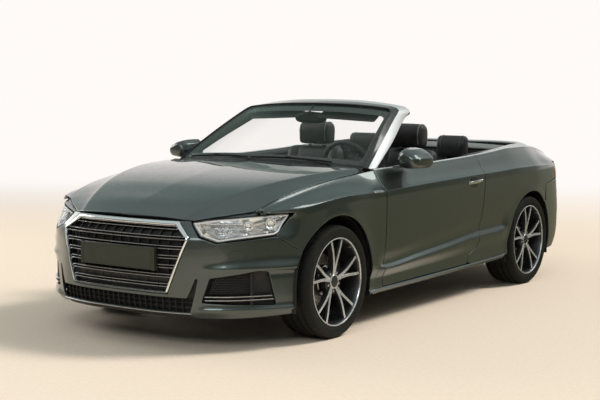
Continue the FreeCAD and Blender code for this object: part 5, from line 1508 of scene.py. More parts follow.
def make_headlamps(look):
    corners = lamp_outline()
    outline = rounded(corners, [8, 14, 10, 4, 10, 14, 20, 30, 24, 14, 30, 60, 60], 5)
    loop = turned_left(densify(outline, 7))
    lens = skin(lens_point, inset(loop, 2.0), spacing=13, depth=3, outward=(0.4, -1, 0), under=False, roll=1.0)
    piece("headlamp_lenses", lens.paired(), look["lens"], "body", ["headlamps"], 40)
    housing, seal, bright, guide, bulb = Form(), Form(), Form(), Form(), Form()
    rings = []
    for shift, back in ((0.5, 3.0), (3.0, 12.0), (6.0, 44.0), (16.0, 58.0)):
        ring = inset(loop, shift)
        points = lens_point(ring[:, 0], ring[:, 1])
        points[:, 1] += back
        points[:, 0] -= back * 0.35
        rings.append(points)
    housing.grid(np.array(rings), wrap_v=True, flip=False)
    centre = rings[-1].mean(0)
    count = len(loop)
    housing.add(np.vstack([rings[-1], centre]), [(k, (k + 1) % count, count) for k in range(count)])
    seal.join(sweep(lens_point(loop[:, 0], loop[:, 1]), ring_section(2.2, 8), closed=True))
    ring = inset(loop, 9.0)
    points = lens_point(ring[:, 0], ring[:, 1])
    points += np.array((-3.0, 8.0, 0.0))
    guide.join(sweep(points, bar_section(13, 7, 2.5), closed=True))
    for x, z, radius in ((762, 684, 31.0), (690, 676, 26.0)):
        u = u_at_x(x)
        spot = lens_point(np.array([u]), np.array([float(z)]))[0]
        ahead = np.array((0.45, -0.89, 0.0))
        base = spot - ahead * 34
        for size, start, length, target in ((radius, -4, 16, bright), (radius - 5, 6, 12, housing)):
            target.join(disc(base + ahead * start, ahead, size, length, 28, 2.0))
        turn = Vector(ahead).to_track_quat("Z", "Y").to_matrix()
        rings = []
        for share in np.linspace(0.02, 1.0, 8):
            ring = ring_section((radius - 6) * share, 28)
            height = 12 + 13 * math.sqrt(max(0.0, 1 - share ** 2))
            rings.append(at_level(ring, height, "z") @ np.array(turn).T + base)
        bulb.grid(np.array(rings), wrap_v=True, flip=True)
    for level, (x0, x1) in enumerate(((520, 655), (545, 655), (575, 655))):
        z0 = 700 - level * 24
        xs = np.linspace(x0 - level * 4, x1, 12)
        path = lens_point(u_at_x(xs), np.full(12, z0 - 12.0))
        path[:, 1] += 30
        bright.join(sweep(path, bar_section(26, 5, 2)))
    for x in np.linspace(560, 650, 5):
        path = lens_point(np.full(6, float(u_at_x(x))), np.linspace(632, 694, 6))
        path[:, 1] += 34
        bright.join(sweep(path, bar_section(3, 14, 1), up=(0, -1, 0)))
    low = [(u_at_x(612), 606), (u_at_x(700), 622), (u_at_x(790), 636)]
    low = densify(np.array(low, float), 8, closed=False)
    path = lens_point(low[:, 0], low[:, 1])
    path[:, 1] += 16
    bright.join(sweep(path, bar_section(14, 9, 3)))
    piece("headlamp_housings", housing.paired(), look["reflector"], "body")
    make_lamp_fillers(look)
    piece("headlamp_seals", seal.paired(), look["rubber"], "body")
    piece("headlamp_reflectors", bright.paired(), look["reflector"], "body")
    piece("headlamp_light_guides", guide.paired(), look["guide"], "body")
    piece("headlamp_projectors", bulb.paired(), look["bulb_glass"], "body")


def make_lamp_fillers(look):
    """Narrow body strip between the hood's front corner and the lamp."""
    hood_edge = ((436, -2066), (500, -2022), (560, -1976), (630, -1920), (684, -1874), (694, -1846))
    lamp_edge = ((440, 697), (504, 709), (560, 717), (630, 725), (690, 731), (712, 735))
    rows = []
    for (x, y), (lamp_x, lamp_z) in zip(hood_edge, lamp_edge):
        high = hood_point(np.float64(x), np.float64(y))
        low = lens_point(np.float64(u_at_x(lamp_x)), np.float64(lamp_z))
        high = high + np.array((0, 4.0, -9.0))
        rows.append([low + np.array((0, 1.5, 0)) + (high - low) * k for k in (0.0, 0.35, 0.7, 1.0)])
    knots = np.arange(len(rows))
    fine = np.linspace(0, len(rows) - 1, 30)
    table = np.array(rows)
    grid = np.stack([np.stack([along(knots, table[:, i, k], fine) for k in range(3)], 1) for i in range(4)], 1)
    form = Form()
    form.grid(grid, flip=True)
    piece("headlamp_fillers", form.paired(), look["paint"], "body")


# ---------------------------------------------------------------- wheels
SPOKE_PAIRS = 5
SPOKE_SPREAD = 12.5
SPOKE_ROOT = 5.0
BOLT_CIRCLE = 56.0


def tyre_profile():
    """Section from the outer bead over the tread to the inner bead, as (radius, out)."""
    wall = [(242.5, 96), (244, 101), (249, 104.5), (253, 107.5), (256.5, 108.2), (259, 106.8), (262, 108.4),
            (268, 111), (275, 112.9), (283, 113.9), (285, 113.3), (287, 114), (294, 113.7), (296, 113.0),
            (298, 113.5), (304, 111.8), (309, 109.2), (313.5, 105.4), (317, 100), (319.4, 94), (321, 88)]
    tread = [(321.9, 82)]
    for groove in (66, 24):
        tread += [(322.9, groove + 5.6), (316.5, groove + 4.6), (316.0, groove - 4.6), (323.1, groove - 5.6)]
    middle = [(323.5, 8), (323.5, -8)]
    half = wall + tread + middle[:1]
    other = [(radius, -out) for radius, out in reversed(half)]
    return half + other


def make_tyre(centre, outward):
    profile = np.array(tyre_profile(), float)
    steps = 216
    angles = np.linspace(0, 2 * math.pi, steps, endpoint=False)
    radius = np.repeat(profile[None, :, 0], steps, 0)
    out = np.repeat(profile[None, :, 1], steps, 0)
    shoulder = (np.abs(out) > 70) & (radius > 308)
    slot = (np.arange(steps) % 4 == 0)[:, None]
    radius = np.where(shoulder & slot, radius - 4.2 * smooth_step(311, 321, radius), radius)
    rib = (np.abs(out) > 30) & (np.abs(out) < 60) & (radius > 320)
    radius = np.where(rib & ((np.arange(steps) % 4 == 2)[:, None]), radius - 3.2, radius)
    x = centre[0] + outward * out
    y = centre[1] + radius * np.cos(angles)[:, None]
    z = centre[2] + radius * np.sin(angles)[:, None]
    form = Form()
    form.grid(np.stack([x, y, z], -1), wrap_u=True, flip=outward < 0)
    return form


def wheel_place(centre, outward, out, radius, degrees):
    """Point of a wheel, out along its axle and at a radius and turn about it."""
    turn = math.radians(degrees)
    return np.array((centre[0] + outward * out, centre[1] + radius * math.cos(turn),
                     centre[2] + radius * math.sin(turn)))


def spoke_path(angle, root_angle, outward, centre, steps=14):
    """Middle line of one spoke on the wheel's face, from the hub to the lip."""
    found = []
    for share in np.linspace(0, 1, steps):
        radius = 40 + share * 203
        bend = smooth_step(0.05, 1.0, share)
        turn = root_angle + (angle - root_angle) * float(bend)
        out = 80.0 + 13.0 * math.sin(math.pi * min(1.0, share * 0.62)) + 5.0 * share
        found.append(wheel_place(centre, outward, out, radius, turn))
    return np.array(found)


def spoke_forms(centre, outward, angle, root_angle):
    """Machined face and dark flanks of one spoke."""
    path = spoke_path(angle, root_angle, outward, centre)
    share = np.linspace(0, 1, len(path))
    width = 1.0 + 0.28 * (1 - share) ** 2 + 0.16 * smooth_step(0.82, 1.0, share)
    face = [(-7.2, -1.0), (7.2, -1.0), (7.2, 0.9), (6.2, 1.5), (-6.2, 1.5), (-7.2, 0.9)]
    flank = [(-7.4, -1.2), (-9.6, -9), (-8.6, -27), (-4.0, -33), (4.0, -33), (8.6, -27), (9.6, -9), (7.4, -1.2)]
    up = (outward, 0, 0)
    bright = sweep(path, face, up=up, scale=width)
    dark = sweep(path, flank, up=up, scale=width)
    return bright, dark


def rim_profiles():
    lip = [(252.2, 100), (252.4, 106), (251.6, 109), (249.6, 110), (246.5, 109.6), (244.6, 107.4), (243.6, 103)]
    barrel = [(243.6, 103), (240.5, 99), (238.5, 94), (236, 82), (233, 60), (230, 25), (228, -20), (231, -80),
              (236, -104), (248, -109), (252.2, -108), (252.2, -100), (242, -96), (241, -40), (240.5, 60),
              (242, 96), (252.2, 100)]
    return lip, barrel


def wheel_forms(centre, outward):
    bright, dark, bolts = Form(), Form(), Form()
    lip, barrel = rim_profiles()
    bright.join(revolve(lip, centre, outward, 128))
    dark.join(revolve(barrel, centre, outward, 128))
    for index in range(SPOKE_PAIRS):
        middle = 90 + index * 360 / SPOKE_PAIRS
        for sign in (1, -1):
            face, flank = spoke_forms(centre, outward, middle + sign * SPOKE_SPREAD, middle + sign * SPOKE_ROOT)
            bright.join(face)
            dark.join(flank)
    hub = [(74, 40), (75, 66), (72, 72), (64, 75), (50, 74.5), (42, 76), (36, 79.5)]
    dark.join(revolve(hub, centre, outward, 64))
    ring = [(41, 78), (41, 84.5), (39, 86.5), (35, 87), (33.5, 85)]
    bright.join(revolve(ring, centre, outward, 64))
    cap = [(33.5, 84), (33.4, 86.6), (31.5, 87.8), (24, 88.6), (12, 89.2), (0.4, 89.4)]
    dark.join(revolve(cap, centre, outward, 48))
    for index in range(SPOKE_PAIRS):
        base = wheel_place(centre, outward, 70, BOLT_CIRCLE, 90 + (index + 0.5) * 360 / SPOKE_PAIRS)
        bolts.join(disc(base, (outward, 0, 0), 12.5, 3.2, 24, 1.0))
        bolts.join(disc(base + np.array((outward * 2.4, 0, 0)), (outward, 0, 0), 8.4, 9.5, 6, 1.6))
    bolts.join(disc(wheel_place(centre, outward, 84, 228, 54), (outward, 0, 0), 4.2, 20, 12, 0.8))
    return bright, dark, bolts


def brake_disc(centre, outward):
    """Vented disc with its hat, a ring of thin black discs on its face as painted shade where holes would be, and
    cooling slots in the edge.
    """
    form = Form()
    hat = [(60, 30), (84, 29), (88, 26), (90, 20), (90, -24)]
    face = [(90, -24), (96, -24.6), (150, -24.6), (155, -25.2), (156, -27), (156, -33), (152, -33.6), (152, -41),
            (156, -41.6), (156, -47), (154, -49.4), (90, -49.6), (60, -49.6)]
    form.join(revolve(hat + face[1:], centre, outward, 96))
    # Holes are not cut: each is a thin gloss black disc on the face, painted shade of a hole.
    for index in range(10):
        for radius, shift in ((112, 0), (138, 18)):
            base = wheel_place(centre, outward, -24.9, radius, index * 36 + shift)
            form.join(disc(base, (outward, 0, 0), 4.0, 0.6, 14, 0.15, slot=1))
    return form


def make_wheels(look):
    for name, centre in WHEELS.items():
        outward = LEFT if centre.x > 0 else RIGHT
        body = name + "_wheel"
        bright, dark, bolts = wheel_forms(centre, outward)
        piece(name + "_tyre_tread", make_tyre(centre, outward), look["tyre"], body, [name + "_tyre"], 50)
        piece(name + "_rim_faces", bright, look["alloy"], body, [name + "_rim"], 30)
        piece(name + "_rim_pockets", dark, look["alloy_dark"], body, (), 40)
        piece(name + "_wheel_bolts", bolts, look["satin"], body, (), 30)
        piece(name + "_brake_disc", brake_disc(centre, outward), [look["disc"], look["gloss_black"]], body)


# ---------------------------------------------------------------- windscreen
SCREEN_RUN = 740.0
PILLAR_OUTER = np.array(((0.0, 762, -742, 918), (0.5, 690, -408, 1086), (0.88, 610, -140, 1218),
                         (1.0, 594, -74, 1250)), float)


def screen_sheet(x, v):
    """Windscreen surface in millimetres across and up the glass."""
    return glass_point(x, np.asarray(v, float) / SCREEN_RUN)


def screen_edge(share):
    return 708.0 - 140.0 * share


def screen_outline(grow=0.0):
    half = [(screen_edge(s) + grow, SCREEN_RUN * s) for s in np.linspace(0.012, 1.0, 12)]
    half[-1] = (half[-1][0], SCREEN_RUN + grow)
    left = [(-x, v) for x, v in half[::-1]]
    return rounded(half + left, [20] + [0] * 10 + [44, 44] + [0] * 10 + [20], 6)


def make_windscreen(look):
    glass = skin(screen_sheet, screen_outline(), spacing=30, depth=4.6, outward=(0, -1, 1), roll=0.6)
    piece("windscreen_pane", glass, look["window"], "body", ["windscreen_glass"])

    def inner_sheet(x, v):
        point = glass_point(x, np.asarray(v, float) / SCREEN_RUN)
        point[..., 1] += 3.4
        point[..., 2] -= 4.6
        return point
    hole = rounded([(672, 62), (566, 640), (-566, 640), (-672, 62)], [30, 60, 60, 30], 7)
    border = skin(inner_sheet, screen_outline(-1.5), [hole], spacing=24, depth=1.2, outward=(0, -1, 1), roll=0.3)
    piece("windscreen_black_border", border, look["gloss_black"], "body")
    make_screen_frame(look)
    make_cowl(look)
    make_wipers(look)
    make_interior_mirror(look)


def frame_stations():
    """Edge beside the glass and the outer edge, up the left pillar and across to the right."""
    inner, outer = [], []
    for share in np.linspace(-0.02, 0.93, 22):
        inner.append(screen_sheet(screen_edge(share) + 4, SCREEN_RUN * share))
        outer.append([float(along(PILLAR_OUTER[:, 0], PILLAR_OUTER[:, i], share)) for i in (1, 2, 3)])
    corner_in = ((572, 0.965), (560, 0.992), (538, 1.004), (505, 1.006))
    corner_out = ((601, -70, 1250), (597, -36, 1262), (584, -26, 1280), (558, -32, 1298))
    for (x, share), point in zip(corner_in, corner_out):
        inner.append(screen_sheet(np.float64(x), SCREEN_RUN * share))
        outer.append(point)
    for x in np.linspace(470, 0, 12):
        inner.append(screen_sheet(np.float64(x), SCREEN_RUN * 1.006))
        reach = x * 1.08
        outer.append((reach, float(column(HEADER_ROWS, 1, np.float64(reach))),
                      float(column(HEADER_ROWS, 2, np.float64(reach)))))
    inner, outer = np.array(inner, float), np.array(outer, float)
    flipped = np.array([-1.0, 1, 1])
    return np.concatenate([inner, inner[-2::-1] * flipped]), np.concatenate([outer, outer[-2::-1] * flipped])


FRAME_SECTION = ((0.0, -3.0), (0.0, 1.5), (0.03, 3.0), (0.20, 5.0), (0.38, 8.0), (0.60, 9.5), (0.80, 8.0),
                 (0.94, 3.5), (0.985, -3.0), (1.0, -9.0), (0.995, -17.0), (0.96, -23.0), (0.86, -27.0),
                 (0.6, -29.0), (0.3, -28.0), (0.08, -24.0), (0.0, -16.0))
FRAME_BRIGHT = (4, 8)


def make_screen_frame(look):
    inner, outer = frame_stations()
    ahead = np.gradient((inner + outer) / 2, axis=0)
    across = outer - inner
    up = np.cross(across, ahead)
    up /= np.linalg.norm(up, axis=1, keepdims=True)
    if up[len(up) // 2][2] < 0:
        up = -up
    rings = []
    for start, run, lift in zip(inner, across, up):
        size = min(1.0, np.linalg.norm(run) / 90.0 + 0.35)
        rings.append([start + run * share + lift * height * size for share, height in FRAME_SECTION])
    rings = np.array(rings)
    form = Form()
    first, last = FRAME_BRIGHT
    form.grid(rings[:, :first + 1], slot=2, flip=False)
    form.grid(rings[:, first:last], slot=0, flip=False)
    under = np.concatenate([rings[:, last - 1:], rings[:, :1]], 1)
    form.grid(under, slot=1, flip=False)
    form.cap(rings[0], 1, flip=True)
    form.cap(rings[-1], 1, flip=False)
    piece("windscreen_surround", form, [look["silver"], look["cabin"], look["gloss_black"]], "body",
          ["windscreen_frame"], 40)
    path = inner + up * 2.0
    side = across / np.linalg.norm(across, axis=1, keepdims=True)
    seal = sweep(path - side * 5.0, bar_section(12, 6, 2), up=up)
    piece("windscreen_seal", seal, look["rubber"], "body")
    make_visors(look)


def make_visors(look):
    """Two sun visors folded up against the header."""
    form = Form()
    outline = rounded([(70, 0), (500, 0), (490, 150), (80, 150)], 24, 5)
    small = inset(turned_left(outline), 3.0)
    levels = []
    for loop, drop in ((small, -30.0), (turned_left(outline), -33.0), (turned_left(outline), -39.0), (small, -42.0)):
        points = glass_point(loop[:, 0], 0.835 + 0.15 * loop[:, 1] / 150)
        points[:, 1] += 8.0
        points[:, 2] += drop
        levels.append(points)
    form.join(lofted(levels, flip=True))
    piece("sun_visors", form.paired(), look["cabin"], "body")


def cowl_front(x):
    return along([0, 400, 700, 752], [-946, -928, -884, -886], np.abs(x))


HOOD_ARM = (624, 664)
SLOT_ROWS = 7


def make_cowl(look):
    """Cowl panel with louvres, and two slots in its front edge for the hood's arms."""
    xs = np.linspace(-704, 704, 119)
    front_y = cowl_front(xs)
    front = hood_point(xs, front_y)
    front[:, 2] -= 15.0
    rear = glass_point(xs, np.full(xs.shape, -0.004))
    rear[:, 2] -= 1.0
    form = Form()
    rows = []
    for share in np.linspace(0, 1, 12):
        point = front + (rear - front) * share
        point[:, 2] -= 5.0 * math.sin(math.pi * share)
        rows.append(point)
    grid = np.array(rows).transpose(1, 0, 2)
    louvre = ((np.arange(len(xs)) % 2 == 0) & (np.abs(xs) < 560))[:, None]
    inner = (np.arange(12) > 2) & (np.arange(12) < 9)
    grid[:, :, 2] -= np.where(louvre & inner[None, :], 3.2, 0.0)
    form.grid(grid[:, SLOT_ROWS:], flip=False)
    edge = np.stack([front + (0, 0, -14), front], 1)
    for low, high in ((-705, -HOOD_ARM[1]), (-HOOD_ARM[0], HOOD_ARM[0]), (HOOD_ARM[1], 705)):
        part = (xs > low) & (xs < high)
        form.grid(grid[part, :SLOT_ROWS + 1], flip=False)
        form.grid(edge[part], flip=False)
        form.join(sweep(front[part] + np.array((0, -1.0, 1.0)), ring_section(3.2, 8)), 1)
    for x in (560.0, -20.0):
        base = hood_point(np.float64(x), np.float64(cowl_front(x) + 16))
        form.join(disc(base - np.array((0, 0, 20)), (0, -0.35, 1), 13, 14, 24, 2), 1)
    for side in (LEFT, RIGHT):
        corner = [(side * x, y, z) for x, y, z in ((702, -884, 904), (756, -886, 889), (762, -800, 894),
                                                   (744, -742, 908), (712, -786, 902))]
        lower = [(x, y, z - 9) for x, y, z in corner]
        rings = [lower, corner] if side == RIGHT else [corner, lower]
        form.join(lofted(np.array(rings, float)), 0)
    piece("cowl_panel", form, [look["black"], look["rubber"]], "body", ["cowl"])


def make_wipers(look):
    """Two arms with their blades, parked along the foot of the glass."""
    form = Form()
    for pivot, start, end in ((556.0, 520.0, -56.0), (-24.0, -70.0, -604.0)):
        xs = np.linspace(start, end, 26)
        share = 0.008 + 0.010 * np.sin(np.linspace(0, math.pi, 26))
        rubber = glass_point(xs, share)
        rubber += np.array((0, -2.4, 3.6))
        form.join(sweep(rubber, [(-1.2, -4), (1.2, -4), (2.4, 1), (-2.4, 1)], up=(0, -0.45, 0.9)), 1)
        blade = glass_point(xs, share) + np.array((0, -6.0, 8.5))
        fin = [(-5, -3), (5, -3), (3.4, 1.5), (-0.5, 4.5), (-2.5, 3.2)]
        taper = 0.62 + 0.38 * np.sin(np.linspace(0.12, math.pi - 0.12, 26))
        form.join(sweep(blade, fin, up=(0, -0.45, 0.9), scale=taper))
        middle = blade[13]
        foot = hood_point(np.float64(pivot), np.float64(cowl_front(pivot) + 16)) + np.array((0, 0, -4))
        bend = foot + np.array((-70.0, 12.0, 11.0))
        arm = [foot, foot + (bend - foot) * 0.5 + np.array((0, 0, 4.0)), bend]
        arm += [bend + (middle + np.array((0, -2, 6.0)) - bend) * k for k in (0.3, 0.6, 0.85, 1.0)]
        size = np.array([1.5, 1.5, 1.3, 1.0, 0.85, 0.8, 0.8])
        form.join(sweep(arm, bar_section(9, 6, 2), scale=size))
        form.join(disc(foot - np.array((0, 0, 6)), (0, -0.3, 1), 12, 15, 20, 3))
        form.join(block(middle[0] - 16, middle[0] + 16, middle[1] - 6, middle[1] + 6, middle[2] - 1,
                        middle[2] + 8, 2.5))
    piece("wiper_arms", form, [look["black"], look["rubber"]], "body", ["wipers"])


def oval_loft(centre, half_x, half_z, stations, power=2.6, steps=40):
    """Rounded body along y from (y, scale) stations."""
    angles = np.linspace(0, 2 * math.pi, steps, endpoint=False)
    cosine, sine = np.cos(angles), np.sin(angles)
    x = np.sign(cosine) * np.abs(cosine) ** (2 / power) * half_x
    z = np.sign(sine) * np.abs(sine) ** (2 / power) * half_z
    rings = [np.stack([centre[0] + x * s, np.full(steps, y), centre[2] + z * s], 1) for y, s in stations]
    return lofted(rings, flip=True)


def make_interior_mirror(look):
    centre = (0.0, -328.0, 1222.0)
    shell = oval_loft(centre, 123, 38, ((-345, 0.42), (-344, 0.62), (-341, 0.80), (-336, 0.92), (-328, 0.985),
                                        (-319, 1.0), (-313, 0.99), (-310.5, 0.965), (-310, 0.94), (-312, 0.925)), 3.0)
    form = Form()
    form.join(shell)
    face = oval_loft(centre, 123 * 0.93, 38 * 0.93, ((-312.6, 1.0), (-311.4, 0.995)), 3.0)
    form.join(face, 1)
    stalk = [(0, -332, 1240), (0, -336, 1262), (0, -318, 1278), (0, -292, 1287)]
    form.join(sweep(stalk, ring_section(8, 12), scale=[1.2, 1.0, 1.1, 1.8]))
    form.join(block(-34, 34, -372, -318, 1243, 1262, 6))
    piece("cabin_mirror", form, [look["black"], look["mirror"]], "body", ["interior_mirror"])


# ---------------------------------------------------------------- tail
def lamp_u_at_y(y, z):
    return tail_u_at_y(y, z, TAIL_LAMP_LEVELS)


def mirrored_outline(half):
    return np.array(half + [(-u, z) for u, z in half[::-1]])


def make_rear_bumper(look):
    arch = []
    for z in np.linspace(228, 588, 18):
        y = arch_side(REAR_AXLE_Y, REAR_ARCH, z, 1)
        arch.append((tail_u_at_y(y, z), z))
    joint = [(tail_u_at_y(y, z), z) for y, z in ((1540, 592), (1540, 700), (1550, 717), (1690, 733), (1742, 738))]
    top = [(tail_u_at_x(700), 739), (tail_u_at_x(574), 739), (tail_u_at_x(566), 706), (6, 706)]
    bottom = [(6, 336), (tail_u_at_x(500), 336), (tail_u_at_x(536), 300), (tail_u_at_x(548), 226),
              (tail_u_at_x(700), 224)]
    outline = rounded(mirrored_outline(bottom + arch + joint + top), 4, 3)
    lattice = []
    for u in np.arange(-outline[:, 0].max(), outline[:, 0].max(), 14.0):
        for z in list(np.arange(228, 400, 11)) + list(np.arange(400, 740, 12)):
            lattice.append((u, z))

    def surface(u, z):
        point = tail_point(u, z)
        fold = np.exp(-((z - 640) / 16.0) ** 2) * 3.0 - np.exp(-((z - 452) / 22.0) ** 2) * 3.0
        point[..., 1] = point[..., 1] + fold * (1 - smooth_step(780, 860, np.abs(point[..., 0])))
        return point
    form = skin(surface, outline, lattice=np.array(lattice), spacing=14, depth=14, outward=(0, 1, 0))
    shelf_x = np.linspace(-562, 562, 60)
    rim = surface(tail_u_at_x(shelf_x), np.full(shelf_x.shape, 706.0))
    rows = [rim + np.array((0, -2.0, -1.0)), rim + np.array((0, -6.0, 2.0)), rim + np.array((0, -46.0, 4.0)),
            rim + np.array((0, -60.0, -10.0))]
    form.grid(np.array(rows), flip=True)
    piece("rear_bumper_skin", form, look["paint"], "body", ["rear_bumper"])
    make_diffuser(look, surface)
    make_rear_reflectors(look, surface)


def make_diffuser(look, surface):
    """Black lower panel with fins and openings round the exhaust ends."""
    half = [(6, 226), (tail_u_at_x(268), 226), (tail_u_at_x(276), 290), (tail_u_at_x(444), 290),
            (tail_u_at_x(452), 226), (tail_u_at_x(543), 226), (tail_u_at_x(531), 298), (tail_u_at_x(496), 331),
            (6, 331)]
    outline = rounded(mirrored_outline(half), 5, 3)
    form = skin(surface, outline, spacing=14, depth=10, outward=(0, 1, 0))
    for x in (-200, -120, -40, 40, 120, 200):
        zs = np.linspace(229, 322, 14)
        path = surface(np.full(zs.shape, float(tail_u_at_x(x))), zs)
        path[:, 1] += 7.0
        form.join(sweep(path, bar_section(5, 20, 2), up=(0, 1, 0)))
    for side in (LEFT, RIGHT):
        frame_loop = [(268, 228), (276, 290), (444, 290), (452, 228)]
        path = densify(np.array([(side * x, z) for x, z in frame_loop]), 10, closed=False)
        rail = surface(tail_u_at_x(path[:, 0]), path[:, 1])
        rail[:, 1] += 1.0
        form.join(sweep(rail, ring_section(3.6, 8), up=(0, 1, 0)), 1)
    piece("rear_diffuser", form, [look["black"], look["satin"]], "body")
    tips = Form()
    for x in (-400, -320, 320, 400):
        profile = ((31.5, 2070), (31.5, 2166), (30.6, 2169), (28.8, 2169.4), (27.4, 2168), (27.0, 2165.6))
        rings = []
        for radius, y in profile:
            ring = ring_section(radius, 40)
            rings.append(np.stack([x + ring[:, 0], np.full(40, float(y)), 240 + ring[:, 1]], 1))
        tips.grid(np.array(rings), wrap_v=True, flip=True)
        # A black disc closes each tip's mouth: painted shade standing in for the dark inside of the pipe.
        tips.cap(rings[-1], 1, flip=True)
    piece("exhaust_tip_trims", tips, [look["chrome"], look["black"]], "body")


def make_rear_reflectors(look, surface):
    form = Form()
    for side in (LEFT, RIGHT):
        xs = np.linspace(596, 742, 20) * side
        path = surface(tail_u_at_x(xs), np.linspace(404, 410, 20))
        path[:, 1] += 1.6
        form.join(sweep(path, bar_section(5, 17, 2)))
    piece("rear_reflectors", form, look["red_glow"], "body")
    sensors = Form()
    for x in (-620, -240, 240, 620):
        spot = surface(tail_u_at_x(np.float64(x)), np.float64(560.0))
        normal = normals_at(surface, tail_u_at_x(np.float64(x)), np.float64(560.0))
        normal = normal * np.sign(normal[1])
        sensors.join(disc(spot - normal * 0.8, tuple(normal), 8.5, 1.8, 24, 0.5))
    piece("parking_sensor_covers", sensors, look["paint"], "body")


def tail_lamp_outline(shrink=0.0):
    corners = [(tail_u_at_x(574) + shrink, 748 + shrink), (lamp_u_at_y(1752, 752) - shrink, 750 + shrink),
               (lamp_u_at_y(1752, 868) - shrink, 869 - shrink), (tail_u_at_x(560) + shrink, 863 - shrink)]
    return rounded(corners, [10, 8, 26, 10], 6)


def make_tail_lamps(look):
    lens = skin(tail_lamp_point, tail_lamp_outline(), spacing=11, depth=3, outward=(0, 1, 0), roll=1.4)
    piece("tail_lamp_lenses", lens.paired(), look["red_lens"], "body", ["tail_lamps"])

    def inner(u, z):
        point = tail_lamp_point(u, z)
        normal = normals_at(tail_lamp_point, u, z)
        normal = normal * np.sign(normal[..., 1:2] + normal[..., 0:1] + 1e-9)
        wave = 2.2 * np.sin(u / 5.2) * (1 - smooth_step(800, 812, z))
        return point - normal * (16.0 + wave[..., None])
    back = skin(inner, tail_lamp_outline(4), spacing=7, depth=2, outward=(0, 1, 0), under=False)
    piece("tail_lamp_backs", back.paired(), look["red_glow"], "body")
    guides = Form()
    us = np.linspace(tail_u_at_x(584), lamp_u_at_y(1772, 838), 50)
    for z in (842.0, 776.0):
        path = tail_lamp_point(us, np.full(us.shape, z))
        normal = normals_at(tail_lamp_point, us, np.full(us.shape, z))
        normal *= np.sign(normal[:, 1:2] + normal[:, 0:1])
        guides.join(sweep(path - normal * 7.0, bar_section(5, 9, 2), up=normal))
    piece("tail_lamp_guides", guides.paired(), look["red_lens"], "body")
    clear = Form()
    us = np.linspace(tail_u_at_x(590), tail_u_at_x(700), 24)
    for z in (806.0, 816.0):
        path = tail_lamp_point(us, np.full(us.shape, z))
        normal = normals_at(tail_lamp_point, us, np.full(us.shape, z))
        normal *= np.sign(normal[:, 1:2])
        clear.join(sweep(path - normal * 6.0, bar_section(5, 7, 2), up=normal))
    piece("tail_lamp_clear_bands", clear.paired(), look["reflector"], "body")
    seal = Form()
    loop = densify(tail_lamp_outline(-2.2), 9)
    path = tail_lamp_point(loop[:, 0], loop[:, 1])
    normal = normals_at(tail_lamp_point, loop[:, 0], loop[:, 1])
    normal *= np.sign(normal[:, 1:2] + normal[:, 0:1])
    seal.join(sweep(path - normal * 3.0, bar_section(5, 6, 1.5), closed=True, up=normal))
    piece("tail_lamp_seals", seal.paired(), look["rubber"], "body")


# ---------------------------------------------------------------- door fittings
MIRROR_MIDDLE = (917.0, 992.0)
MIRROR_LOOP = ((832, 936), (822, 986), (834, 1030), (866, 1058), (912, 1050), (962, 1024), (990, 996), (990, 956),
               (964, 934), (890, 926))
MIRROR_SPLIT = 952.0


def reslot(form, slot, test):
    """Gives a slot to each face whose middle passes the test."""
    points = np.concatenate(form.points)
    for index, face in enumerate(form.faces):
        if test(points[list(face)].mean(0)):
            form.slots[index] = slot
    return form


def mirror_ring(y, size):
    loop = rounded(MIRROR_LOOP, 20, 6)
    middle = np.array(MIRROR_MIDDLE)
    loop = middle + (loop - middle) * size
    return at_level(loop, y, "y")


def make_door_mirrors(look):
    stations = [(-638.5, 0.12), (-638, 0.30), (-635, 0.48), (-629, 0.63), (-618, 0.75), (-602, 0.85),
                (-580, 0.92), (-552, 0.965), (-520, 0.99), (-478, 1.0), (-442, 0.995), (-435, 0.985), (-432.4, 0.968),
                (-432, 0.945), (-436, 0.93), (-442, 0.925)]
    shell = lofted([mirror_ring(y, size) for y, size in stations])
    reslot(shell, 1, lambda p: p[2] < MIRROR_SPLIT or p[1] > -436)
    form = shell
    form.join(lofted([mirror_ring(-440.5, 0.915), mirror_ring(-438.6, 0.91)]), 2)
    foot = ((812, 876, -640, -552, 938), (816, 878, -636, -548, 946), (838, 884, -620, -538, 953),
            (862, 908, -596, -526, 944))
    rings = []
    for x0, x1, y0, y1, z in foot:
        loop = rounded(corners_of(x0, x1, y0, y1), 14, 4)
        rings.append(at_level(loop, z, "z"))
    form.join(lofted(rings), 1)
    arm = [(838, -590, 944), (862, -574, 950), (890, -556, 948), (916, -540, 952)]
    form.join(sweep(arm, bar_section(46, 17, 6), scale=[1.0, 0.95, 0.9, 0.85]), 1)
    lamp = [mirror_ring(-594, 0.873), mirror_ring(-580, 0.92)]
    path = np.array([(a + b) / 2 for a, b in zip(*lamp)])
    chosen = [p + np.array((0, -3.0, 0)) for p in path if 978 < p[2] < 1003 and p[0] > 900]
    if len(chosen) > 2:
        form.join(sweep(chosen, ring_section(3, 8), up=(0, -1, 0)), 3)
    finishes = [look["paint"], look["gloss_black"], look["mirror"], look["guide"]]
    door_pair("_mirror_housing", form, finishes, "_mirror", 44)


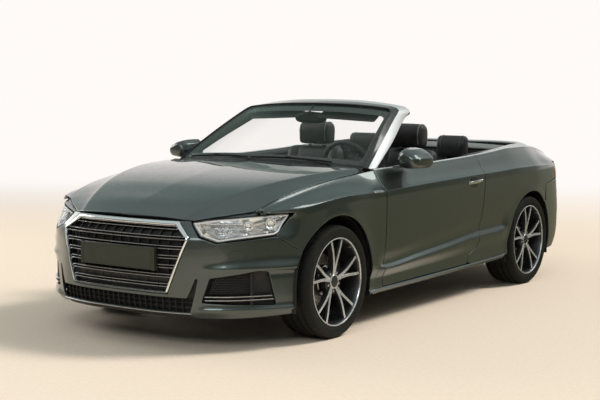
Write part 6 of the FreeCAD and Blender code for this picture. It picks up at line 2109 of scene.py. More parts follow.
def make_handles(look):
    ys = np.linspace(0, 1, 26)
    path = np.array([(886.5 + 18.5 * float(np.sin(math.pi * min(1, max(0, s))) ** 0.38), 254 + 172 * s,
                      797 + 9.0 * s) for s in ys])
    grip = sweep(path, bar_section(21, 10, 4.5, 4), up=(1, 0, 0), scale=0.72 + 0.28 * np.sin(math.pi * ys) ** 0.5)
    lock = disc((889, 437, 806), (1, 0, -0.05), 8.5, 9, 24, 2.0)
    form = Form()
    form.join(grip)
    form.join(lock)
    # Gloss black patch lying just proud of the door skin behind the handle: painted shade of the handle's recess, which
    # is not sunk in.
    cup_loop = rounded([(296, 838), (372, 832), (384, 804), (372, 762), (306, 766), (288, 802)], 26, 6)

    def cup(y, z):
        point = side_point(y, z)
        reach = np.clip(1 - np.hypot((y - 336) / 50.0, (z - 800) / 40.0) ** 2, 0, 1)
        point[..., 0] += 1.8 - 0.5 * reach
        return point
    cup_shade = skin(cup, cup_loop, spacing=7, depth=1, outward=(1, 0, 0), roll=0.5, under=False, wall=False)
    door_pair("_pull_handle", form, look["chrome"], "_handle")
    door_pair("_handle_cup_shade", cup_shade, look["gloss_black"])


def make_badges(look):
    """Blank plates low behind the front wheels' arches."""
    form = Form()
    plate = rounded([(-938, 803), (-840, 803), (-834, 811), (-842, 819), (-936, 819), (-942, 811)], 3, 3)

    def raised(y, z):
        point = side_point(y, z)
        point[..., 0] += 2.0
        return point
    form.join(skin(raised, plate, spacing=8, depth=2.5, outward=(1, 0, 0), roll=0.8))
    piece("fender_blank_plates", form.paired(), look["satin"], "body")


# ---------------------------------------------------------------- belt trim
def belt_ring(outer, inner, rise):
    """Low rounded bar between an outer and an inner point."""
    outer, inner = np.asarray(outer, float), np.asarray(inner, float)
    up = np.array((0, 0, 1.0))
    shares = ((0.0, -7), (-0.02, 0), (0.03, 0.55), (0.14, 0.88), (0.5, 1.0), (0.86, 0.9), (0.97, 0.55), (1.0, 0),
              (0.98, -7))
    ring = []
    for share, level in shares:
        height = level if level < -1 else level * rise
        ring.append(outer + (inner - outer) * share + up * height)
    return ring


def make_belt(look):
    rings = []
    for y in np.linspace(-796, 503, 70):
        x, z = edge_at(y)
        width = 15.0
        rings.append(belt_ring((x - 1.5, y, z + 0.5), (x - 1.5 - width, y, z + 1.0), 5.5))
    strip = lofted(rings, flip=True)
    pad = []
    for y in np.linspace(-700, 488, 40):
        x, z = edge_at(y)
        loop = rounded([(x - 18, z - 26), (x - 18, z + 1), (x - 34, z - 1), (x - 36, z - 9), (x - 44, z - 9),
                        (x - 46, z - 2), (716, z - 6), (711, z - 26)], [1, 2, 2, 2, 2, 4, 8, 2], 3)
        pad.append(at_level(loop, y, "y"))
    top = lofted(pad, flip=True)
    door_pair("_belt_strip", strip, look["silver"], sharp=40)
    door_pair("_top_pad", top, look["cabin"])
    outer, inner = [], []
    for y in np.linspace(516, 1330, 48):
        x, z = edge_at(y)
        width = float(along([516, 800, 960, 1071, 1200, 1330], [15, 17, 26, 40, 62, 84], np.float64(y)))
        in_z = z + (float(column(TOP_ROWS, 2, y)) - z) * width / 100.0
        outer.append((x - 1.5, y, z + 0.5))
        inner.append((x - 1.5 - width, y, in_z + 1.0))
    corner_out = ((766, 1400, 1001), (748, 1452, 1004), (722, 1496, 1008), (688, 1528, 1014), (640, 1546, 1022),
                  (560, 1552, 1026), (420, 1552, 1028), (210, 1552, 1028), (0, 1552, 1028))
    corner_in = ((688, 1388, 1017), (682, 1416, 1018), (672, 1438, 1019), (656, 1456, 1020), (626, 1470, 1022),
                 (556, 1476, 1025), (420, 1478, 1027), (210, 1478, 1027), (0, 1478, 1027))
    outer += list(corner_out)
    inner += list(corner_in)
    knots = np.arange(len(outer))
    fine = np.linspace(0, len(outer) - 1, 3 * len(outer))
    outer = np.stack([along(knots, np.array(outer)[:, k], fine) for k in range(3)], 1)
    inner = np.stack([along(knots, np.array(inner)[:, k], fine) for k in range(3)], 1)
    half = [belt_ring(a, b, 5.5) for a, b in zip(outer, inner)]
    form = lofted(half, flip=True, capped=False)
    form.cap(half[0], 0, flip=False)
    piece("rear_belt_trim", form.paired(), look["silver"], "body", ["belt_trim"], 40)
    make_rear_side_tops(look)


def make_rear_side_tops(look):
    """Soft tops of the rear side walls between the trim and the seat."""
    rings = []
    for y in np.linspace(520, 1040, 26):
        x, z = edge_at(y)
        width = float(along([516, 800, 960, 1071], [15, 17, 26, 40], np.float64(y)))
        out = x - 3 - width
        loop = rounded([(out, z - 10), (out, z + 3), (out - 20, z + 2), (690, z - 2), (640, z - 22), (624, z - 60),
                        (624, z - 80), (650, z - 60), (700, z - 24)], [1, 2, 8, 20, 20, 10, 1, 10, 10], 3)
        rings.append(at_level(loop, y, "y"))
    form = lofted(rings, flip=True)
    piece("rear_side_tops", form.paired(), look["cabin"], "body")


# ---------------------------------------------------------------- padded pieces
PAD_STEP = 0.016
PAD_PRESSURE = 4.0
PAD_FRAMES = 20
PAD_SETTINGS = (("quality", 4), ("mass", 0.3), ("tension_stiffness", 16.0), ("compression_stiffness", 16.0),
                ("shear_stiffness", 8.0), ("bending_stiffness", 0.4), ("use_pressure", True),
                ("uniform_pressure_force", PAD_PRESSURE))


def applied(obj):
    """The mesh of an object with its modifiers, as a mesh of its own."""
    graph = bpy.context.evaluated_depsgraph_get()
    graph.update()
    return bpy.data.meshes.new_from_object(obj.evaluated_get(graph))


def coordinates(mesh):
    flat = np.zeros(len(mesh.vertices) * 3, np.float32)
    mesh.vertices.foreach_get("co", flat)
    return flat.reshape(-1, 3).astype(float)


def stuffed(form, seams, limit, step=PAD_STEP, cuts=1):
    """Pads a closed form: it swells under pressure between its held seams.

    seams(points in mm) gives each point's hold from 0 to 1; limit is the most a point may move, in mm.
    """
    start = placed("pad_start", mesh_of("pad_start", np.concatenate(form.points) * MM, form.faces))
    remesh = start.modifiers.new("even", "REMESH")
    remesh.mode = "VOXEL"
    remesh.voxel_size = step * 1.0
    mesh = applied(start)
    bpy.data.objects.remove(start)
    first = coordinates(mesh)
    hold = seams(first / MM)
    last = first
    pad = placed("pad", mesh)
    group = pad.vertex_groups.new(name="seams")
    for level in np.unique(np.round(hold, 1)):
        if level > 0:
            chosen = np.nonzero(np.round(hold, 1) == level)[0]
            group.add(chosen.tolist(), float(level), "REPLACE")
    cloth = pad.modifiers.new("stuffing", "CLOTH")
    for key, value in PAD_SETTINGS:
        setattr(cloth.settings, key, value)
    cloth.settings.vertex_group_mass = "seams"
    cloth.settings.effector_weights.gravity = 0.0
    cloth.collision_settings.use_self_collision = False
    cloth.point_cache.frame_start = 1
    cloth.point_cache.frame_end = PAD_FRAMES
    scene = bpy.context.scene
    for frame_number in range(1, PAD_FRAMES + 1):
        scene.frame_set(frame_number)
    last = coordinates(applied(pad))
    scene.frame_set(1)
    bpy.data.objects.remove(pad)
    move = last - first
    size = np.linalg.norm(move, axis=1, keepdims=True)
    cap = limit * MM
    move *= np.where(size > 1e-9, cap * np.tanh(size / cap) / np.maximum(size, 1e-9), 0)
    mesh.vertices.foreach_set("co", (first + move).astype(np.float32).ravel())
    mesh.update()
    smooth = placed("pad_smooth", mesh)
    ease = smooth.modifiers.new("ease", "SMOOTH")
    ease.factor = 0.5
    ease.iterations = 2
    if cuts:
        finer = smooth.modifiers.new("finer", "SUBSURF")
        finer.levels = finer.render_levels = cuts
    done = applied(smooth)
    bpy.data.objects.remove(smooth)
    return done


def grooved(mesh, depth_at):
    """Presses the seams in: depth_at(points in mm) gives the depth of each point in mm."""
    points = coordinates(mesh)
    normals = np.zeros(len(mesh.vertices) * 3, np.float32)
    mesh.vertices.foreach_get("normal", normals)
    depth = depth_at(points / MM)[:, None] * MM
    points -= normals.reshape(-1, 3) * depth
    mesh.vertices.foreach_set("co", points.astype(np.float32).ravel())
    mesh.update()
    return mesh


def pad_piece(name, mesh, material, mirror, stands_for=()):
    """The padded piece; with mirror it also covers the other side's seat."""
    points = coordinates(mesh)
    faces = [tuple(p.vertices) for p in mesh.polygons]
    if mirror:
        count = len(points)
        points = np.concatenate([points, points * (-1, 1, 1)])
        faces = faces + [tuple(i + count for i in face[::-1]) for face in faces]
    made = mesh_of(name, points, faces)
    made.materials.append(material)
    made.polygons.foreach_set("use_smooth", np.ones(len(faces), bool))
    obj = placed(name, made)
    tied(obj, "body", stands_for)


def seam_cords(mesh, lines, radius=2.6, lift=0.6, steps=8):
    """Thin cords laid on a padded mesh along lines of points in mm."""
    tree = BVHTree.FromPolygons([tuple(p) for p in coordinates(mesh)], [tuple(p.vertices) for p in mesh.polygons])
    form = Form()
    for line in lines:
        places, ups = [], []
        for point in densify(np.array(line, float), 12, closed=False):
            found = tree.find_nearest(Vector((point * MM).tolist()))
            if found[0] is None:
                continue
            normal = found[1]
            places.append(np.array(found[0] + normal * lift * MM) / MM)
            ups.append(np.array(normal))
        if len(places) < 3:
            continue
        places = np.array(places)
        for _ in range(2):
            places[1:-1] = (places[:-2] + 2 * places[1:-1] + places[2:]) / 4
        form.join(sweep(places, ring_section(radius, steps), up=np.array(ups)))
    return form


def near(value, spot, width):
    return np.exp(-((value - spot) / width) ** 2)


def loft_profile(stations, outline_at):
    """Closed form across x; outline_at(x) gives its (y, z) loop, always as many points."""
    return lofted([at_level(outline_at(x), x, "x") for x in stations])


def shrunk(loop, amount):
    middle = loop.mean(0)
    reach = np.linalg.norm(loop - middle, axis=1, keepdims=True)
    return middle + (loop - middle) * np.maximum(0.05, 1 - amount / reach)


# ---------------------------------------------------------------- seats
SEAT_HALF = 222.0
SEAT_STATIONS = SEAT_X + np.concatenate([[-SEAT_HALF, -218, -208, -196], np.linspace(-184, 184, 17),
                                         [196, 208, 218, SEAT_HALF]])
CUSHION = ((-330, 316), (-334, 392), (-318, 440), (-282, 461), (-120, 444), (60, 426), (112, 424), (116, 316))
BACK = ((134, 330), (134, 470), (150, 560), (206, 790), (262, 985), (290, 1004), (348, 1004), (356, 960), (326, 780),
        (288, 600), (258, 440), (246, 330))
HEADREST = ((272, 1016), (258, 1110), (270, 1158), (298, 1178), (346, 1178), (378, 1158), (388, 1112), (372, 1018))


def rounded_ends(x, middle, half, radius):
    """How far the outline is pulled in at x, so that the pad's ends are round."""
    past = abs(x - middle) - (half - radius)
    if past <= 0:
        return 0.0
    return radius - math.sqrt(max(0.0, radius ** 2 - past ** 2))


def front_cushion_form():
    def outline(x):
        across = abs(x - SEAT_X)
        bolster = 34.0 * float(smooth_step(135, 190, across)) - 10.0 * float(1 - smooth_step(60, 140, across))
        nose = 10.0 * float(smooth_step(150, 220, across))
        loop = []
        for y, z in CUSHION:
            top = smooth_step(400, 425, z)
            loop.append((y + nose * (y < -250), z + bolster * float(top) * (0.4 if y < -290 else 1.0)))
        loop = rounded(loop, [14, 30, 30, 40, 60, 40, 20, 14], 4, True)
        return shrunk(loop, rounded_ends(x, SEAT_X, SEAT_HALF, 42))
    return loft_profile(SEAT_STATIONS, outline)


def back_line(z):
    """Place of the front backs' faces at a height."""
    return along([330, 470, 560, 790, 985], [134, 134, 150, 206, 262], z)


def front_back_form():
    def outline(x):
        across = abs(x - SEAT_X)
        wing = smooth_step(128, 186, across)
        loop = []
        for index, (y, z) in enumerate(BACK):
            front = index <= 5
            low = 1 - smooth_step(720, 900, z)
            push = (-36.0 * wing * low + 8.0 * (1 - wing)) if front else 0.0
            loop.append((y + float(push), z))
        loop = rounded(loop, [12, 20, 60, 60, 40, 30, 30, 40, 60, 60, 40, 12], 4, True)
        return shrunk(loop, rounded_ends(x, SEAT_X, SEAT_HALF, 44))
    return loft_profile(SEAT_STATIONS, outline)


def headrest_form(loop, middle, half, radius):
    def outline(x):
        return shrunk(rounded(loop, [14, 24, 20, 20, 20, 20, 24, 14], 4, True), rounded_ends(x, middle, half, radius))
    stations = middle + np.concatenate([[-half, -half + 3, -half + 10], np.linspace(-half + 22, half - 22, 9),
                                        [half - 10, half - 3, half]])
    return loft_profile(stations, outline)


def make_front_seats(look):
    cushion_form = front_cushion_form()

    def hold_cushion(p):
        across = np.abs(p[:, 0] - SEAT_X)
        top = smooth_step(395, 415, p[:, 2])
        bands = near(across, 128, 8) + near(p[:, 1], -196, 9) * (across < 140) + near(p[:, 1], -20, 9) * (across < 140)
        low = 1 - smooth_step(318, 332, p[:, 2])
        return np.clip(bands * top + low, 0, 1)
    cushion = stuffed(cushion_form, hold_cushion, 22)

    def press_cushion(p):
        across = np.abs(p[:, 0] - SEAT_X)
        top = smooth_step(400, 425, p[:, 2])
        flutes = sum(near(p[:, 1], y, 5.0) for y in (-196, -152, -108, -64, -20)) * (across < 126)
        return top * (6.0 * near(across, 128, 5.5) + 3.0 * np.clip(flutes, 0, 1))
    grooved(cushion, press_cushion)
    pad_piece("front_seat_pads", cushion, look["leather"], True, ["front_seat_cushions"])

    def hold_back(p):
        across = np.abs(p[:, 0] - SEAT_X)
        front = 1 - smooth_step(20, 60, p[:, 1] - back_line(p[:, 2]))
        bands = near(across, 124, 8) + near(p[:, 2], 890, 9) * (across < 136) + near(p[:, 2], 560, 9) * (across < 136)
        rear = smooth_step(60, 84, p[:, 1] - back_line(p[:, 2]))
        return np.clip(bands * front + rear + (p[:, 2] < 342), 0, 1)
    back = stuffed(front_back_form(), hold_back, 22)

    def press_back(p):
        across = np.abs(p[:, 0] - SEAT_X)
        depth = p[:, 1] - back_line(p[:, 2])
        front = 1 - smooth_step(25, 55, depth)
        flutes = sum(near(p[:, 2], z, 5.0) for z in (560, 615, 670, 725, 780, 835, 890)) * (across < 122)
        shell = 3.0 * near(depth, 62, 5.0)
        return front * (6.0 * near(across, 124, 5.5) + 3.0 * np.clip(flutes, 0, 1)) + shell
    grooved(back, press_back)
    pad_piece("front_seat_back_pads", back, look["leather"], True, ["front_seat_backs"])
    rest = stuffed(headrest_form(HEADREST, SEAT_X, 130, 34),
                   lambda p: np.clip(near(np.abs(p[:, 0] - SEAT_X), 92, 7) * (p[:, 1] < 300) + (p[:, 2] < 1022), 0, 1),
                   16, 0.010)
    grooved(rest, lambda p: 3.0 * near(np.abs(p[:, 0] - SEAT_X), 96, 3.5))
    pad_piece("front_headrest_pads", rest, look["leather"], True, ["front_headrests"])
    cords = Form()
    for side in (-1, 1):
        x = SEAT_X + side * 178
        cords.join(seam_cords(cushion, [[(x, y, 520) for y in np.linspace(-300, 90, 34)]]))
        line = [(x, float(along([470, 560, 790, 985], [60, 90, 150, 220], np.float64(z))), z)
                for z in np.linspace(470, 960, 40)]
        cords.join(seam_cords(back, [line]))
        x = SEAT_X + side * 112
        loop = [(x, 320 + 110 * math.cos(a), 1110 + 110 * math.sin(a)) for a in np.linspace(-0.9, 3.9, 40)]
        cords.join(seam_cords(rest, [loop], 3.4))
    piece("front_seat_piping", cords.paired(), look["piping"], "body")
    posts = Form()
    for side in (-1, 1):
        posts.join(disc((SEAT_X + side * 60, 326, 985), (0, 0, 1), 6, 70, 16, 1))
        posts.join(disc((SEAT_X + side * 60, 326, 1003), (0, 0, 1), 14, 8, 24, 3), 1)
    piece("front_headrest_posts", posts.paired(), [look["chrome"], look["cabin"]], "body")
    make_seat_bases(look)


def make_seat_bases(look):
    form = Form()
    for x in (SEAT_X - 150, SEAT_X + 150):
        rail = slab(rounded([(-250, 182), (238, 182), (238, 204), (-250, 204)], 6, 3), x - 18, x + 18, "x", 3)
        form.join(rail, 1)
    pan = slab(rounded([(-240, 204), (226, 204), (232, 300), (60, 316), (-232, 316), (-246, 280)], 14, 4),
               SEAT_X - 178, SEAT_X + 178, "x", 6)
    form.join(pan)
    for side in (-1, 1):
        low, high = sorted((SEAT_X + side * 170, SEAT_X + side * 190))
        shield = rounded([(-236, 232), (150, 226), (214, 262), (226, 330), (150, 322), (-200, 318), (-246, 296)], 16, 4)
        form.join(slab(shield, low, high, "x", 4))
        knob = SEAT_X + side * 188
        form.join(disc((knob, 176, 288), (side, 0, 0), 24, 6, 28, 2), 0)
        form.join(slab(rounded([(-150, 262), (-20, 258), (-16, 276), (-146, 282)], 6, 3),
                       min(knob, knob + side * 7), max(knob, knob + side * 7), "x", 2), 0)
    piece("front_seat_bases_trim", form.paired(), [look["cabin"], look["iron"]], "body",
          ["front_seat_bases"])


REAR_BENCH = ((590, 360), (586, 440), (606, 482), (650, 482), (780, 462), (884, 446), (884, 360))
REAR_BACK = ((918, 362), (918, 460), (944, 700), (976, 900), (996, 916), (1012, 912), (1012, 362))
REAR_PILLOW = ((944, 924), (930, 1020), (942, 1066), (966, 1082), (990, 1082), (1010, 1066), (1014, 1026), (1006, 928))


def make_rear_seats(look):
    def bench(x):
        across = abs(x - 300)
        dish = -12.0 * float(1 - smooth_step(120, 210, across))
        loop = [(y, z + (dish if z > 430 else 0)) for y, z in REAR_BENCH]
        return shrunk(rounded(loop, [12, 24, 24, 40, 60, 16, 12], 4, True), rounded_ends(x, 300, 278, 34))
    stations = 300 + np.concatenate([[-278, -274, -262], np.linspace(-246, 246, 19), [262, 274, 278]])

    def hold_bench(p):
        bands = near(np.abs(p[:, 0] - 300), 190, 9) + near(p[:, 1], 660, 9) * (np.abs(p[:, 0] - 300) < 200)
        return np.clip(bands * (p[:, 2] > 430) + (p[:, 2] < 374), 0, 1)
    cushions = stuffed(loft_profile(stations, bench), hold_bench, 22, 0.018)
    grooved(cushions, lambda p: (p[:, 2] > 425) * (6.0 * near(np.abs(p[:, 0] - 300), 190, 6) + 3.5 * sum(
        near(p[:, 1], y, 6) for y in (660, 715, 770, 825)) * (np.abs(p[:, 0] - 300) < 188)))

    def back(x):
        across = abs(x - 290)
        dish = 12.0 * float(1 - smooth_step(120, 210, across))
        loop = [(y + (dish if y < 990 and z < 910 else 0), z) for y, z in REAR_BACK]
        return shrunk(rounded(loop, [10, 30, 60, 24, 10, 14, 10], 4, True), rounded_ends(x, 290, 266, 30))
    stations = 290 + np.concatenate([[-266, -262, -252], np.linspace(-238, 238, 19), [252, 262, 266]])
    rest = stuffed(loft_profile(stations, back),
                   lambda p: np.clip(near(np.abs(p[:, 0] - 290), 185, 9) * (p[:, 1] < 1000) + (p[:, 1] > 1004)
                                     + (p[:, 2] < 376), 0, 1), 20, 0.018)
    grooved(rest, lambda p: (p[:, 1] < 1000) * (6.0 * near(np.abs(p[:, 0] - 290), 185, 6) + 3.5 * sum(
        near(p[:, 2], z, 6) for z in (520, 590, 660, 730, 800, 870)) * (np.abs(p[:, 0] - 290) < 183)))
    pillow = stuffed(headrest_form(REAR_PILLOW, SEAT_X, 120, 28),
                     lambda p: np.clip(near(np.abs(p[:, 0] - SEAT_X), 86, 7) + (p[:, 2] < 932), 0, 1), 14, 0.011)
    grooved(pillow, lambda p: 3.0 * near(np.abs(p[:, 0] - SEAT_X), 86, 3.5))
    pad_piece("rear_bench_pads", cushions, look["leather"], True, ["rear_seat"])
    pad_piece("rear_back_pads", rest, look["leather"], True)
    pad_piece("rear_headrest_pads", pillow, look["leather"], True)
    posts = Form()
    for side in (-1, 1):
        posts.join(disc((SEAT_X + side * 50, 974, 905), (0, 0, 1), 6, 88, 16, 1))
    piece("rear_headrest_posts", posts.paired(), look["chrome"], "body")
    cords = Form()
    for side in (-1, 1):
        x = SEAT_X + side * 86
        loop = [(x, 972 + 90 * math.cos(a), 1030 + 90 * math.sin(a)) for a in np.linspace(-0.5, 3.6, 30)]
        cords.join(seam_cords(pillow, [loop], 2.2))
    piece("rear_headrest_seams", cords.paired(), look["thread"], "body")
    shell = Form()
    shell.join(block(-600, 600, 1006, 1024, 345, 940, 5))
    shell.join(block(-10, 10, 930, 1010, 420, 900, 6))
    piece("rear_seat_shell", shell, look["cabin"], "body")


# ---------------------------------------------------------------- folded top
def make_folded_top(look):
    def outline(x):
        share = min(1.0, abs(x) / 690.0)
        drop = 16.0 * share ** 3
        loop = [(1048, 984 - drop * 0.4), (1052, 1000 - drop), (1110, 1008 - drop), (1250, 1011 - drop),
                (1390, 1012 - drop), (1452, 1006 - drop * 0.6), (1460, 990 - drop * 0.3), (1440, 979), (1070, 977)]
        return shrunk(rounded(loop, [8, 14, 30, 30, 30, 20, 8, 6, 6], 4, True), rounded_ends(x, 0, 690, 20))
    stations = np.concatenate([[-690, -687, -680], np.linspace(-668, 668, 41), [680, 687, 690]])
    pad = stuffed(loft_profile(stations, outline),
                  lambda p: np.clip(near(p[:, 1], 1190, 9) + near(p[:, 1], 1325, 9) + (p[:, 2] < 984)
                                    + near(p[:, 1], 1056, 12) + near(p[:, 1], 1454, 12), 0, 1), 14, 0.015)
    rng = np.random.default_rng(7)
    waves = [(rng.uniform(0.006, 0.02), rng.uniform(0.01, 0.03), rng.uniform(0, 6.3)) for _ in range(6)]

    def creases(p):
        folds = 3.0 * (near(p[:, 1], 1190, 6) + near(p[:, 1], 1325, 6)) * (p[:, 2] > 990)
        soft = sum(np.sin(p[:, 0] * a + p[:, 1] * b + c) for a, b, c in waves) * 0.45 * (p[:, 2] > 990)
        return folds + soft
    grooved(pad, creases)
    pad_piece("folded_top_cover", pad, look["cloth"], False, ["folded_top"])


# ---------------------------------------------------------------- dashboard
DASH_PROFILE = ((-852, 868), (-850, 900), (-790, 921), (-680, 930), (-585, 922), (-540, 902), (-522, 868),
                (-526, 846), (-530, 806), (-540, 790), (-552, 730), (-566, 640), (-590, 580), (-640, 566),
                (-840, 566))


def dash_ring(x):
    end = smooth_step(560, 652, abs(x))
    loop = [(y + 30.0 * float(end) * (-0.6 if y > -700 else 0.2),
             z - 26.0 * float(end) * float(smooth_step(800, 930, z))) for y, z in DASH_PROFILE]
    loop = rounded(loop, [10, 20, 40, 60, 40, 26, 10, 4, 4, 8, 40, 60, 30, 30, 10], 4, True)
    return at_level(loop, x, "x")


def fascia_slab(x0, x1, z0, z1, front, back, corner=8.0, bevel=2.0, slot=0):
    """Plate facing the seats, between two heights."""
    loop = rounded([(z0, x0), (z0, x1), (z1, x1), (z1, x0)], corner, 4)
    return slab(loop, back, front, "y", bevel, slot)


def make_dashboard(look):
    form = Form()
    form.join(lofted([dash_ring(x) for x in np.linspace(-652, 652, 45)]))
    band = fascia_slab(-600, 600, 811, 842, -524.5, -534, 10, 2.5, 1)
    form.join(band)
    form.join(fascia_slab(-118, 118, 852, 906, -516, -536, 12, 3, 2))
    form.join(fascia_slab(-122, 122, 700, 790, -534, -552, 14, 3, 0))
    form.join(fascia_slab(-640, -190, 612, 782, -547, -560, 24, 4, 0))
    for x in (-78.0, 0.0, 78.0):
        form.join(disc((x, -540, 742), (0, 1, 0), 21, 16, 36, 2.5), 0)
        form.join(sweep(circle((x, -533, 742), 22, 36), ring_section(1.8, 8), closed=True, up=(0, 1, 0)), 1)
    for x in (-556.0, -168.0, 168.0, 556.0):
        base_y = -534.0 if abs(x) < 300 else -540.0
        for radius, thick, slot in ((40.0, 4.2, 1), (30.0, 3.0, 0)):
            ring = circle((x, base_y + 6, 876), radius, 40)
            form.join(sweep(ring, ring_section(thick, 8), closed=True, up=(0, 1, 0)), slot)
        form.join(disc((x, base_y - 16, 876), (0, 1, 0), 38, 16, 40, 2), 2)
        for turn in range(6):
            angle = turn * math.pi / 3
            tip = (x + 30 * math.cos(angle), base_y + 4, 876 + 30 * math.sin(angle))
            form.join(sweep([(x, base_y + 4, 876), tip], bar_section(2.5, 6, 0.8), up=(0, 1, 0)), 0)
        form.join(disc((x, base_y - 2, 876), (0, 1, 0), 8, 9, 20, 2), 1)
    make_binnacle(form)
    piece("dashboard_body", form, [look["cabin"], look["satin"], look["display"]], "body",
          ["dashboard"])
    mats = Form()
    for x in (-380.0, 380.0):
        for y0, y1 in ((-640, -290), (330, 560)):
            mats.join(slab(rounded(corners_of(x - 190, x + 190, y0, y1), 40, 6), 181, 190, "z", 3))
    piece("floor_mats", mats, look["carpet"], "body")


def make_binnacle(form):
    """Hood over the instruments, with its dials."""
    angles = np.radians(np.linspace(-12, 192, 30))
    rings = []
    for y, size, lift in ((-720, 0.80, -10), (-640, 0.97, -1), (-566, 1.0, 0), (-558, 0.985, 0), (-560, 0.93, -1),
                          (-600, 0.90, -3)):
        x = SEAT_X + 130 * size * np.cos(angles)
        z = 878 + lift + 62 * size * np.sin(angles)
        rings.append(np.stack([x, np.full(30, float(y)), z], 1))
    form.grid(np.array(rings), flip=True)
    loop = rounded([(862, SEAT_X - 114), (862, SEAT_X + 114), (908, SEAT_X + 100), (930, SEAT_X + 50),
                    (930, SEAT_X - 50), (908, SEAT_X - 100)], 20, 5)
    form.join(slab(loop, -612, -596, "y", 2), 2)
    for x in (SEAT_X - 58, SEAT_X + 58):
        for radius in (34.0, 24.0):
            ring = circle((x, -594.5, 892), radius, 44)
            form.join(sweep(ring, ring_section(1.3, 6), closed=True, up=(0, 1, 0)), 1)
        for k in range(13):
            angle = math.radians(225 - k * 22.5)
            inner = (x + 27 * math.cos(angle), -595, 892 + 27 * math.sin(angle))
            outer = (x + 32 * math.cos(angle), -595, 892 + 32 * math.sin(angle))
            form.join(sweep([inner, outer], bar_section(1.4, 1.0, 0.2), up=(0, 1, 0)), 1)
        form.join(disc((x, -597, 892), (0, 1, 0), 5, 5, 16, 1), 0)
        angle = math.radians(215)
        tip = (x + 28 * math.cos(angle), -593.5, 892 + 28 * math.sin(angle))
        form.join(sweep([(x, -593.5, 892), tip], bar_section(1.8, 1.2, 0.3), up=(0, 1, 0)), 1)


# ---------------------------------------------------------------- steering wheel
def wheel_frame():
    """Matrix from the steering wheel's own plane to the car."""
    lean = STEERING_TILT
    matrix = np.eye(4)
    matrix[:3, 0] = (1, 0, 0)
    matrix[:3, 1] = (0, -math.sin(lean), math.cos(lean))
    matrix[:3, 2] = (0, math.cos(lean), math.sin(lean))
    matrix[:3, 3] = STEERING_CENTRE
    return matrix


def make_steering(look):
    form = Form()
    turn = np.linspace(0, 2 * math.pi, 72, endpoint=False)
    rim = np.stack([183 * np.cos(turn), 183 * np.sin(turn), 0 * turn], 1)
    rim[:, 1] = np.where(rim[:, 1] < -172, -172 - (rim[:, 1] + 172) * -0.25, rim[:, 1])
    swell = 1 + 0.10 * (near(turn, math.radians(35), 0.22) + near(turn, math.radians(145), 0.22))
    form.join(sweep(rim, ring_section(14.2, 14, 1.05), closed=True, up=(0, 0, 1), scale=swell), 1)
    cover = rounded([(-78, 46), (-62, -50), (-34, -74), (34, -74), (62, -50), (78, 46), (50, 58), (-50, 58)],
                    [16, 20, 20, 20, 20, 16, 20, 20], 5)
    cover = turned_left(cover)
    levels = ((0.80, -46), (0.98, -34), (1.0, 6), (0.985, 14), (0.93, 19), (0.80, 23), (0.5, 26), (0.05, 27))
    rings = [at_level(cover * size, w, "z") for size, w in levels]
    form.join(lofted(rings), 0)
    for angle in (4.0, 176.0):
        a = math.radians(angle)
        start = np.array((62 * math.cos(a), 62 * math.sin(a) - 2, -8))
        end = np.array((176 * math.cos(a), 176 * math.sin(a), -2))
        bar = [start + (end - start) * k for k in np.linspace(0, 1, 7)]
        taper = [1.25, 1.1, 0.95, 0.82, 0.75, 0.74, 0.8]
        form.join(sweep(bar, bar_section(17, 54, 6, 4), up=(0, 1, 0), scale=taper), 0)
        trim = [p + np.array((0, 0, 8.0)) for p in bar[1:5]]
        form.join(sweep(trim, bar_section(4, 30, 1.8), up=(0, 1, 0), scale=[1.1, 1.0, 0.85, 0.7]), 2)
        for k in (0.36, 0.5, 0.64):
            spot = start + (end - start) * k
            form.join(disc(spot + np.array((0, 0, 10)), (0, 0, 1), 6.5, 5, 16, 1.4), 0)
    for x in (-20.0, 20.0):
        low = [(x * 0.9, -66, -8), (x, -110, -6), (x * 1.3, -168, -2)]
        form.join(sweep(densify(np.array(low), 14, closed=False), bar_section(15, 15, 5, 3), up=(0, 0, 1)), 2)
    form.join(disc((0, 0, -62), (0, 0, 1), 34, 30, 36, 4), 0)
    finishes = [look["cabin"], look["leather"], look["satin"]]
    piece("steering_wheel_rim", form.moved(wheel_frame()), finishes, "steering_wheel", ["steering_wheel"],
          45)
    column_form = Form()
    loop = turned_left(rounded([(-46, -52), (46, -52), (52, 8), (34, 34), (-34, 34), (-52, 8)], 16, 4))
    rings = [at_level(loop * size, w, "z")
             for size, w in ((0.80, -64), (0.92, -70), (1.0, -92), (1.0, -160), (0.9, -260), (0.8, -350))]
    column_form.join(lofted(rings, flip=True))
    for side in (-1, 1):
        path = [(side * 40, -6, -92), (side * 74, 0, -90), (side * 116, 8, -84)]
        column_form.join(sweep(path, bar_section(10, 15, 4), up=(0, 1, 0), scale=[0.7, 0.85, 1.2]))
    piece("steering_column_shroud", column_form.moved(wheel_frame()), look["cabin"], "body",
          ["steering_column"])


